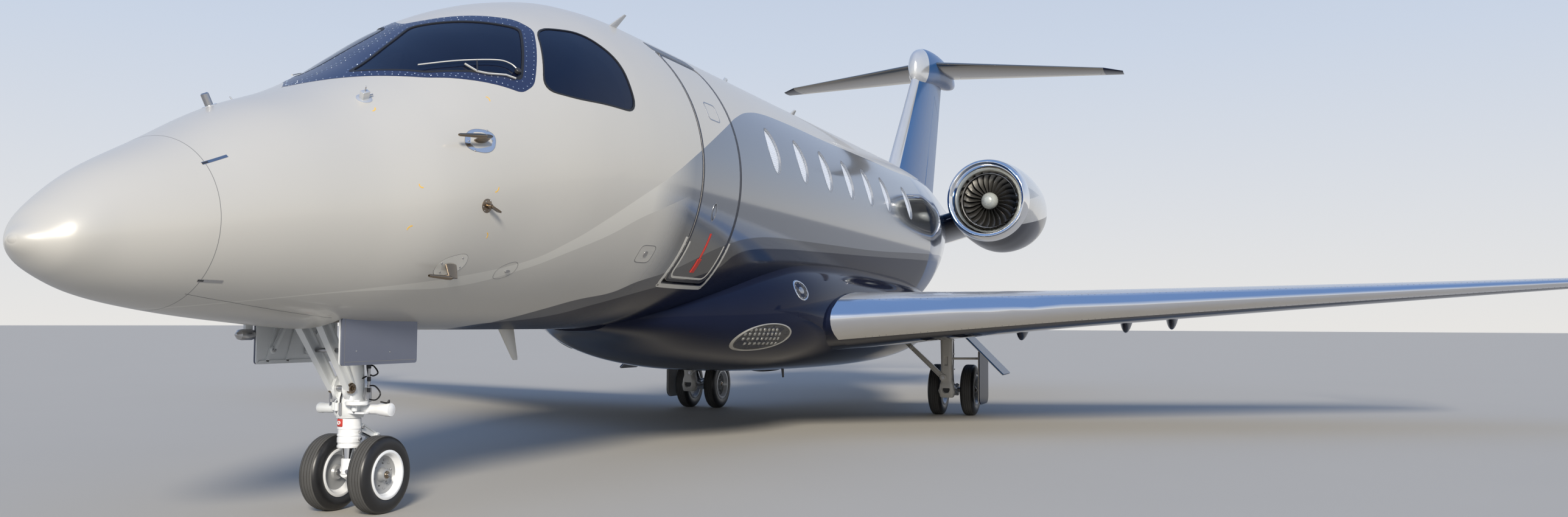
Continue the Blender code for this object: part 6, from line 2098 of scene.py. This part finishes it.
def build_nose_fork():
    foot_top = [(0.0, 0.345), (0.040, 0.345), (0.046, 0.340), (0.046, 0.300), (0.050, 0.285),
                (0.050, 0.250), (0.0, 0.250)]
    sleeve = [(0.0, 0.086), (0.030, 0.086), (0.034, 0.082), (0.034, 0.050), (0.0, 0.050)]
    foot = [[point(0.046 * c * w, s, 0.264 + 0.048 * up * w) for c, up in circle(32)]
            for s, w in ((2.278, 0.75), (2.30, 1.0), (2.35, 1.04), (2.40, 1.0))]
    parts = [turned("collar", COLLAR, point(0, 2.32, 0), Z, 56, "rim"),
             bar((0, 2.32, 0.262), (0, 2.32, 0.44), 0.037, "chrome", 48),
             turned("foot_top", foot_top, point(0, 2.32, 0), Z, 40, "rim"),
             loft("foot", foot, "rim")]
    parts += knuckle(NOSE_AXLE, X, 0.051, 0.052, "rim")
    elbow = 2.545, 0.470
    for sign in (1, -1):
        parts += [turned("axle_sleeve", sleeve, point(*NOSE_AXLE), (sign, 0, 0), 32, "chrome"),
                  bar((0.028 * sign, 2.29, 0.266), (0.030 * sign, 2.268, 0.266), 0.016, "steel", 6,
                      0.002),
                  beam((0.038 * sign, 2.385, 0.535), (0.020 * sign, *elbow), X, 0.011, 0.026,
                       "gear", 0.7),
                  beam((0.038 * sign, 2.407, 0.290), (0.020 * sign, *elbow), X, 0.011, 0.024,
                       "gear", 0.7)]
    for place in ((0, 2.385, 0.535), (0, *elbow), (0, 2.410, 0.292)):
        parts += knuckle(place, X, 0.021, 0.047, "gear", "steel")
    # tow and lock marker on the collar
    tag = box((-0.020, -0.006, -0.024), (0.020, 0.006, 0.024), "red", bevel=0.003)
    ring = turned("ring", [(0.008, 0.004), (0.012, 0.004), (0.012, -0.004), (0.008, -0.004)],
                  (0, -0.008, 0), Y, 28, "rim", closed=True)
    turn = Matrix.Translation(point(0, 2.32, 0.572)) @ Matrix.Rotation(-0.2, 4, "Z")
    for item in (tag, ring):
        item.data.transform(turn @ Matrix.Translation((0, -0.072, 0)))
        parts.append(item)
    for z in (0.470, 0.512):
        parts.append(bar((0.074, 2.32, z), (0.092, 2.32, z), 0.010, "steel", 6, 0.001))
    parts.append(hose([(0.03, 2.41, 0.50), (0.05, 2.50, 0.44), (0.04, 2.47, 0.34),
                       (0.03, 2.42, 0.27)], 0.004))
    fork = merge("nose_fork", parts)
    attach(fork, "nose_steering")
    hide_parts("nose_gear_fork")


def build_wheels():
    centre = point(*NOSE_AXLE)
    offset = Vector((NOSE_TYRE[3], 0, 0))
    parts = [rod(centre - offset, centre + offset, 0.022, "steel", 32)]
    for name, sign in (("port", 1), ("starboard", -1)):
        place = centre + offset * sign
        parts += wheel(place, sign, NOSE_TYRE, 0)
        cover = tyre(place, NOSE_TYRE)
        cover.name = "nose_tyre_skin_" + name
        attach(cover, "nose_wheels")
        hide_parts("nose_tyre_" + name)
    wheels = merge("nose_wheel_pair", parts)
    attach(wheels, "nose_wheels")
    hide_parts("nose_wheel")
    for name, sign in (("port", 1), ("starboard", -1)):
        centre = point(MAIN_AXLE[0] * sign, MAIN_AXLE[1], MAIN_AXLE[2])
        offset = Vector((MAIN_TYRE[3] * sign, 0, 0))
        parts = [rod(centre - offset, centre + offset, 0.032, "steel", 32)]
        for place, facing, part in ((centre + offset, sign, "outer"),
                                    (centre - offset, -sign, "inner")):
            parts += wheel(place, facing, MAIN_TYRE, 10)
            cover = tyre(place, MAIN_TYRE)
            cover.name = "main_tyre_skin_" + part + "_" + name
            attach(cover, "main_wheels_" + name)
            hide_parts("main_tyre_" + part + "_" + name)
        wheels = merge("main_wheel_pair_" + name, parts)
        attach(wheels, "main_wheels_" + name)
        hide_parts("main_wheel_" + name)


def door_layers(outline, place, skin_depths, liner_depths, rib_depths, colour, lining, ribs):
    """Outer skin, inner liner and ribs of a gear door."""
    return [slab(outline, place, *skin_depths, colour),
            slab(offset_loop(outline, -0.004), place, *liner_depths, lining)] + frame_ribs(
                outline, place, *rib_depths, lining, ribs)


def build_nose_doors():
    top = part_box("nose_gear_door_port")[1][2]
    outline = rounded([(1.84, top), (1.84, 0.945), (2.55, 0.945), (2.55, top)], 0.022, 4)
    ribs = [((1.93, 0.96), (2.02, top - 0.01)), ((2.10, 0.96), (2.19, top - 0.01)),
            ((2.42, 0.96), (2.30, top - 0.01))]

    def place(u, v, depth):
        return point(depth, u, v)

    parts = door_layers(outline, place, (0.316, 0.326), (0.312, 0.3165), (0.3045, 0.313),
                        "door_grey", "gear", ribs)
    for s, z in ((1.97, 1.03), (2.28, 1.02)):
        parts += knuckle((0.302, s, z), X, 0.024, 0.010, "gear", "steel")
        parts.append(beam((0.295, s, z), (0.262, s + 0.10, top + 0.02), Y, 0.010, 0.012, "gear"))
    for (a, b), (c, d) in (((1.865, top - 0.004), (1.865, 0.949)), ((1.865, 0.965), (2.53, 0.965))):
        seam = [(a, b), (c, d), (c + 0.003, d + 0.003), (a + 0.003, b + 0.003)]
        parts.append(slab(seam, place, 0.3255, 0.3264, "panel_line"))
    both_sides(merge("nose_door_port", parts), "nose_door_{}", node="nose_gear_door_{}")


MAIN_LEG = [(1.234, 0.086, 0.066), (1.10, 0.080, 0.064), (0.80, 0.074, 0.062),
            (0.66, 0.072, 0.062), (0.58, 0.074, 0.064), (0.48, 0.070, 0.066),
            (0.45, 0.078, 0.070), (0.42, 0.088, 0.074), (0.38, 0.092, 0.076),
            (0.31, 0.094, 0.074), (0.27, 0.088, 0.066), (0.256, 0.076, 0.056)]
LEG_WINDOW = [(-0.052, 0.385), (-0.052, 0.345), (-0.03, 0.310), (0.03, 0.310), (0.052, 0.345),
              (0.052, 0.385)]
TRAILING_ARM = [(11.60, 0.345, 0.060, 0.055), (11.70, 0.335, 0.064, 0.052),
                (11.85, 0.330, 0.058, 0.050), (11.98, 0.334, 0.062, 0.060),
                (12.07, 0.336, 0.054, 0.070)]
# Brake hoses, inwards or outwards of the leg
BRAKE_HOSES = [[(0.06, 11.67, 1.15), (0.07, 11.69, 0.90), (0.06, 11.70, 0.60), (0.05, 11.80, 0.42),
                (0.06, 11.95, 0.42), (0.07, 12.03, 0.40)],
               [(-0.06, 11.67, 1.15), (-0.075, 11.69, 0.88), (-0.06, 11.71, 0.58),
                (-0.05, 11.82, 0.41), (-0.06, 11.96, 0.42), (-0.07, 12.03, 0.40)]]


def build_main_gear():
    x, mid = GEAR_X, LEG_STATION

    def place(u, v, depth):
        return point(x + u, mid + depth, v)

    leg = loft("leg", [section_ring(x, mid, z, a, b, 4.5) for z, a, b in MAIN_LEG], "gear_warm")
    window = rounded(LEG_WINDOW, 0.022, 4)
    cut(leg, slab(window, place, -0.2, -0.045))
    set_sharp(leg, 35)
    shaded_window_disc = rounded([(-0.018, 0.78), (-0.018, 0.68), (0.018, 0.68), (0.018, 0.78)], 0.016, 4)
    cut(leg, slab(shaded_window_disc, place, -0.2, -0.052))
    arm = [[point(x + a * c, s, z + b * up) for c, up in circle(32)]
           for s, z, a, b in TRAILING_ARM]
    upper, lower, middle = (x, 11.63, 0.90), (x, 11.88, 0.36), (x, 11.7675, 0.603)
    # the dark plate at the floor of the leg's window is painted shade seen through it
    parts = [leg, slab(offset_loop(window, -0.008), place, -0.050, -0.044, "dark"),
             beam((x - 0.035, mid - 0.060, 0.515), (1.36, mid - 0.02, 0.905), Y, 0.015, 0.033,
                  "gear_warm", 0.85),
             beam((1.36, mid - 0.01, 0.905), (1.24, mid, 1.016), Y, 0.018, 0.028, "gear_warm"),
             beam((x - 0.05, mid - 0.02, 1.10), (x - 0.30, mid - 0.04, 1.19), Y, 0.014, 0.022,
                  "gear_warm"),
             loft("arm", arm, "gear_warm"),
             bar(upper, middle, 0.036, "gear_warm", 32, 0.004),
             bar(middle, lower, 0.024, "chrome", 32),
             bar((x, 11.60, 0.76), (2.2078, 11.80, 0.76), 0.015, "gear_warm", 20)]
    for centre, axis, radius, half_length, pin in (
            ((x - 0.035, mid - 0.065, 0.515), Y, 0.046, 0.024, "steel"),
            ((1.36, mid - 0.02, 0.905), Y, 0.030, 0.024, "steel"),
            ((x, mid, 1.14), X, 0.040, 0.11, "steel"),
            ((x, 12.07, 0.336), X, 0.078, 0.056, None),
            ((x, mid, 0.345), X, 0.048, 0.100, "steel"),
            (upper, X, 0.040, 0.040, "steel"), (lower, X, 0.036, 0.036, "steel")):
        parts += knuckle(centre, axis, radius, half_length, "gear_warm", pin)
    for run in BRAKE_HOSES:
        parts.append(hose([(x + u, s, z) for u, s, z in run], 0.007))
    for z in (1.0, 0.82, 0.62):
        parts.append(box(point(x - 0.085, 11.652, z - 0.008), point(x + 0.085, 11.70, z + 0.008),
                         "steel", bevel=0.002))
    both_sides(merge("main_leg_port", parts), "main_leg_{}", node="main_gear_leg_{}")


def build_leg_doors():
    outline = rounded([(11.70, 0.86), (11.70, 0.22), (11.78, 0.16), (12.24, 0.16), (12.32, 0.22),
                       (12.32, 0.86)], 0.05, 5)
    ribs = [((11.72, 0.62), (12.30, 0.62)), ((11.72, 0.38), (12.30, 0.38)),
            ((12.01, 0.18), (12.01, 0.84))]

    def place(u, v, depth):
        return point(2.2155 + depth, u, v)

    door = merge("leg_door_port", door_layers(divided(outline, 0.08), place, (0.010, 0.0215),
                                              (0.007, 0.0105), (0.0, 0.008), "navy", "gear_warm",
                                              ribs))
    both_sides(door, "leg_door_{}", node="main_gear_leg_door_{}")


def build_wing_doors():
    front = 11.05
    low, high = point(2.65, front, 0.585), point(2.02, front, 1.21)
    run, length = (high - low).normalized(), (high - low).length
    across = Vector((run.z, 0, -run.x))
    outline = rounded([(front, 0.0), (11.57, 0.0), (11.57, length), (front, length)], 0.03, 4)
    ribs = [((11.07, v), (11.55, v)) for v in (0.30, 0.60)]

    def slope(u, v, depth):
        return low + Vector((0, u - front, 0)) + run * v + across * depth

    # the outer skin takes the blue paint: a painted reflection of the blue sky glint
    door = merge("wing_door_port", door_layers(outline, slope, (-0.004, 0.010), (-0.007, -0.0035),
                                               (-0.012, -0.005), "blue", "gear_warm", ribs))
    both_sides(door, "wing_door_{}", node="main_gear_wing_door_{}")


build_nose_leg()
build_nose_fork()
build_wheels()
build_nose_doors()
build_main_gear()
build_leg_doors()
build_wing_doors()


# Fittings on the belly fairing: landing light and round port

FAIRING_ROWS = through(BELLY, 6)
# Ovals on the fairing: station, height, half length, half height, tilt
LENS, PORT = (6.80, 1.078, 0.385, 0.130, 0.05), (7.36, 1.535, 0.125, 0.100, 0.0)
# Rings of each fitting as (share of the oval, lift)
FAIRING_DISCS = [
    (LENS, "lamp_base", [(0.02, 0.001), (0.5, 0.001), (0.93, 0.001), (0.93, -0.006),
                         (0.02, -0.006)]),
    (LENS, "lamp_rim", [(0.92, -0.004), (0.92, 0.007), (0.95, 0.009), (1.0, 0.003),
                        (1.0, -0.004)]),
    (LENS, "lamp_glass", [(0.02, 0.0095), (0.5, 0.0095), (0.93, 0.0085), (0.93, 0.0065),
                          (0.5, 0.0075), (0.02, 0.0075)]),
    (PORT, "polished", [(0.86, -0.004), (0.86, 0.004), (0.90, 0.006), (1.0, 0.003),
                        (1.0, -0.004)]),
    (PORT, "dark", [(0.05, 0.001), (0.86, 0.0015), (0.86, -0.004), (0.05, -0.004)]),
    (PORT, "steel", [(0.05, 0.012), (0.20, 0.011), (0.34, 0.004), (0.36, -0.002),
                     (0.05, -0.002)])]
# Rows of lamp cells: how many, height, first station
LAMP_ROWS = ((7, 1.145, 6.56), (9, 1.105, 6.50), (9, 1.06, 6.53), (8, 1.015, 6.60))


def fairing_point(station, z, lift=0.0):
    """Point over the belly fairing's port side."""
    def side(s, height):
        low, high = straight(FAIRING_ROWS, s, 2), straight(FAIRING_ROWS, s, 3)
        share = abs((height - (low + high) / 2) / ((high - low) / 2))
        reach = max(1 - share ** BELLY_ROUNDNESS, 0.0) ** (1 / BELLY_ROUNDNESS)
        return point(straight(FAIRING_ROWS, s, 1) * reach, s, height)
    place = side(station, z)
    if not lift:
        return place
    along = side(station + 0.01, z) - side(station - 0.01, z)
    upward = side(station, z + 0.01) - side(station, z - 0.01)
    normal = along.cross(upward).normalized()
    return place + (normal if normal.x > 0 else -normal) * lift


def fairing_disc(oval, profile, material):
    """Oval fitting on the fairing; the profile holds (share of the oval, lift) rows."""
    station, z, half_length, half_height, tilt = oval
    rings = [[fairing_point(station + u, z + v, lift)
              for u, v in super_oval(half_length * share, half_height * share, 2.0, 56, tilt)]
             for share, lift in profile]
    return loft("disc", rings, material, sharp=30)


def fairing_studs(spots, lift, radius, height, material, sides):
    places = [fairing_point(s, z, lift) for s, z in spots]
    normals = [fairing_point(s, z, 1.0) - place for (s, z), place in zip(spots, places)]
    return studs("studs", places, normals, radius, height, material, sides)


def build_fairing_fittings():
    parts = [fairing_disc(oval, profile, material) for oval, material, profile in FAIRING_DISCS]
    cells = [(start + 0.060 * k + 0.01 * (row % 2), z)
             for row, (count, z, start) in enumerate(LAMP_ROWS) for k in range(count)]
    screws = [(PORT[0] + 0.094 * c, PORT[1] + 0.075 * s) for c, s in circle(10)]
    parts.append(fairing_studs(cells, 0.0, 0.0185, 0.006, "lamp_cell", 12))
    parts.append(fairing_studs(screws, 0.002, 0.006, 0.002, "steel", 10))
    both_sides(merge("fairing_fittings_port", parts), "fairing_fittings_{}")


build_fairing_fittings()


# Windscreen wipers, dark grey strip above the door, belly blister and antenna, nose well lamp

WIPER_ARM = [(2.871, 52.9), (2.846, 49.2), (2.763, 45.6), (2.523, 38.5), (2.292, 31.0)]
WIPER_BLADE = [(2.553, 40.8), (2.585, 46.3), (2.643, 49.2), (2.764, 52.7), (2.822, 55.4)]
# Belly blister: station, half-width, depth
BLISTER = [(9.35, 0.01, 0.004), (9.42, 0.07, 0.020), (9.65, 0.12, 0.034), (9.95, 0.12, 0.034),
           (10.15, 0.07, 0.020), (10.22, 0.01, 0.004)]
BLISTER_KEEL = 0.662
WELL_LAMP = [(0.0, -0.010), (0.010, -0.006), (0.018, 0.010), (0.030, 0.020), (0.034, 0.040),
             (0.034, 0.115), (0.026, 0.130), (0.0, 0.130)]


def build_wipers():
    parts = []
    for sign in (1, -1):
        arm = [(s, a * sign) for s, a in WIPER_ARM]
        blade = [(s, a * sign) for s, a in WIPER_BLADE]
        places = on_skin(arm, 0.022)[0]
        hub = on_skin(arm[:1])[0][0]
        normal = skin_normals(np.array([hub]))[0]
        grip = Vector(places[3] * 0.5 + places[2] * 0.5)
        foot = Vector(on_skin(blade[1:2], 0.014)[0][0])
        parts += [tube(through(places, 6), 0.0045, "stripe_plain"),
                  skin_strip("blade", blade, 0.009, "stripe_plain", lift=0.016, depth=-0.007),
                  skin_strip("rubber", blade, 0.008, "seal", lift=0.0085, depth=-0.004),
                  rod(hub, hub + normal * 0.030, 0.020, "dark", 24, 0.004),
                  tube([grip, (grip + foot) / 2, foot], 0.005, "dark", 8)]
    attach(merge("wipers", parts), "airframe")


def build_door_header_strip():
    # dark grey strip on the skin just above the door
    layer = skin_layer(4.8, 5.9, 0.0022, 0.006, step=0.2)
    outline = skin_outline([(4.93, 34.0), (5.76, 34.0), (5.78, 39.6), (4.91, 39.6)], 0.04)
    header_strip_grey = patch("door_header_strip", layer, outline, [], "header_strip_grey")
    bpy.data.objects.remove(layer, do_unlink=True)
    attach(header_strip_grey, "airframe")


def build_belly_fittings():
    """Low blister and a blade antenna under the belly fairing."""
    rings = [[point(half * c, s, BLISTER_KEEL - (depth if up > 0 else 0.02) * up)
              for c, up in circle(32)] for s, half, depth in through(BLISTER, 4)]
    blister = loft("belly_blister", rings, "dark")
    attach(blister, "airframe")
    rings = []
    for u in (0.0, 0.4, 0.8, 1.0):
        width = 0.11 - 0.04 * u
        rings.append([point(half * 0.12 * width, 10.30 + 0.05 * u + width * share, 0.69 - 0.16 * u)
                      for share, half in BLADE_SECTION])
    blade = loft("belly_antenna", rings, "dark")
    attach(blade, "airframe")


def build_well_lamp():
    lamp = turned("nose_well_lamp", WELL_LAMP, point(-0.345, 1.72, 1.125), Y, 32, "steel")
    bracket = box(point(-0.355, 1.78, 1.13), point(-0.335, 1.84, 1.19), "gear", bevel=0.003)
    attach(merge("nose_well_lamp", [lamp, bracket]), "airframe")


build_wipers()
build_door_header_strip()
build_belly_fittings()
build_well_lamp()


# Flight deck

SEAT_X, CUSHION_ROUNDING = 0.46, 0.35


def pillow(low, high, name):
    """Padded leather block: a subdivided cage whose faces swell and whose corners are soft."""
    bm = bmesh.new()
    bmesh.ops.create_cube(bm, size=2.0)
    bmesh.ops.subdivide_edges(bm, edges=list(bm.edges), cuts=5, use_grid_fill=True)
    size, middle = (Vector(high) - Vector(low)) / 2, (Vector(high) + Vector(low)) / 2
    for vert in bm.verts:
        a, b, c = (math.sqrt(1 - CUSHION_ROUNDING * v * v / 2) for v in vert.co)
        vert.co = middle + vert.co * Vector((b * c, a * c, a * b)) * size
    mesh = bpy.data.meshes.new(name)
    bm.to_mesh(mesh)
    bm.free()
    obj = add_object(name, mesh, "leather")
    obj.modifiers.new("soft", "SUBSURF").levels = 1
    bake(obj)
    obj.data.shade_smooth()
    return obj


def build_seats():
    low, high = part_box("flight_deck_seats")
    front, floor_z = low[1], low[2]
    depth = high[1] - front
    seat_z, back_y = floor_z + 0.36, front + depth - 0.16
    post_y = front + depth * 0.42
    hard, soft = [], []
    for sign in (1, -1):
        x = SEAT_X * sign
        soft.append(pillow((x - 0.25, front + 0.02, seat_z), (x + 0.25, back_y, seat_z + 0.12),
                           "seat_cushion"))
        for k in range(3):
            z = seat_z + 0.10 + 0.155 * k
            soft.append(pillow((x - 0.235, back_y - 0.01, z),
                               (x + 0.235, back_y + 0.105, z + 0.165), "seat_back"))
        soft.append(pillow((x - 0.15, back_y, seat_z + 0.60), (x + 0.15, back_y + 0.11, high[2]),
                           "headrest"))
        hard.append(box((x - 0.24, back_y + 0.085, seat_z + 0.02),
                        (x + 0.24, back_y + 0.155, seat_z + 0.60), "dark", bevel=0.02))
        for rest in (x + 0.27, x - 0.27):
            hard.append(box((rest - 0.025, front + 0.10, seat_z + 0.22),
                            (rest + 0.025, back_y + 0.02, seat_z + 0.27), "dark", bevel=0.012))
        hard.append(box((x - 0.16, front + 0.08, floor_z), (x + 0.16, back_y - 0.02, floor_z + 0.05),
                        "dark", bevel=0.008))
        hard.append(rod((x, post_y, floor_z + 0.04), (x, post_y, seat_z + 0.01), 0.09, "steel", 28,
                        0.006))
    frames = merge("seat_frames", hard)
    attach(frames, "airframe")
    padding = merge("seat_cushions", soft)
    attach(padding, "airframe")
    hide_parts("flight_deck_seats")


def build_panel():
    low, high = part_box("instrument_panel")
    x, front, rear, top = high[0], low[1] + 0.01, high[1] - 0.005, high[2]
    rings = []
    for u in (-1.0, -0.75, -0.3, 0.0, 0.3, 0.75, 1.0):
        reach, ahead = x * u * 0.985, x * u * 0.80
        z = top - 0.004 - 0.05 * abs(u) ** 2.5
        rings.append([(ahead, front, z - 0.085), (ahead, front, z - 0.055),
                      (ahead, front + 0.06, z - 0.04), (reach, rear - 0.05, z),
                      (reach, rear, z - 0.02), (reach, rear, z - 0.05),
                      (reach, rear - 0.03, z - 0.06)])
    face_y = low[1] + (high[1] - low[1]) * 0.62
    parts = [loft("coaming", rings, "dark", sharp=60),
             box((-x * 0.80, low[1] + 0.12, low[2] + 0.10), (x * 0.80, face_y, top - 0.07),
                 "lamp_base", bevel=0.01),
             box((-0.20, low[1] + 0.14, low[2]), (0.20, face_y + 0.06, low[2] + 0.34), "lamp_base",
                 bevel=0.02)]
    z = top - 0.235
    for centre in (-0.46, -0.155, 0.155, 0.46):
        for wide, tall, near, far, material, bevel in (
                (0.135, 0.10, -0.002, 0.010, "gear", 0.006),
                (0.12, 0.087, 0.004, 0.0125, "glass", 0.003)):
            parts.append(box((centre - wide, face_y + near, z - tall),
                             (centre + wide, face_y + far, z + tall), material, bevel=bevel))
        for k in range(6):
            start = Vector((centre - 0.10 + 0.04 * k, face_y + 0.002, z - 0.118))
            parts.append(rod(start, start + Vector((0, 0.014, 0)), 0.007, "dark", 12, 0.001))
    panel = merge("instrument_panel_skin", parts)
    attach(panel, "airframe")
    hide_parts("instrument_panel")


build_seats()
build_panel()


# CAD nodes that keep their shape and take a finish here
KEPT = {"cabin_floor": "carpet"}
for node, finish_name in KEPT.items():
    paint(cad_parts[node], finish_name)
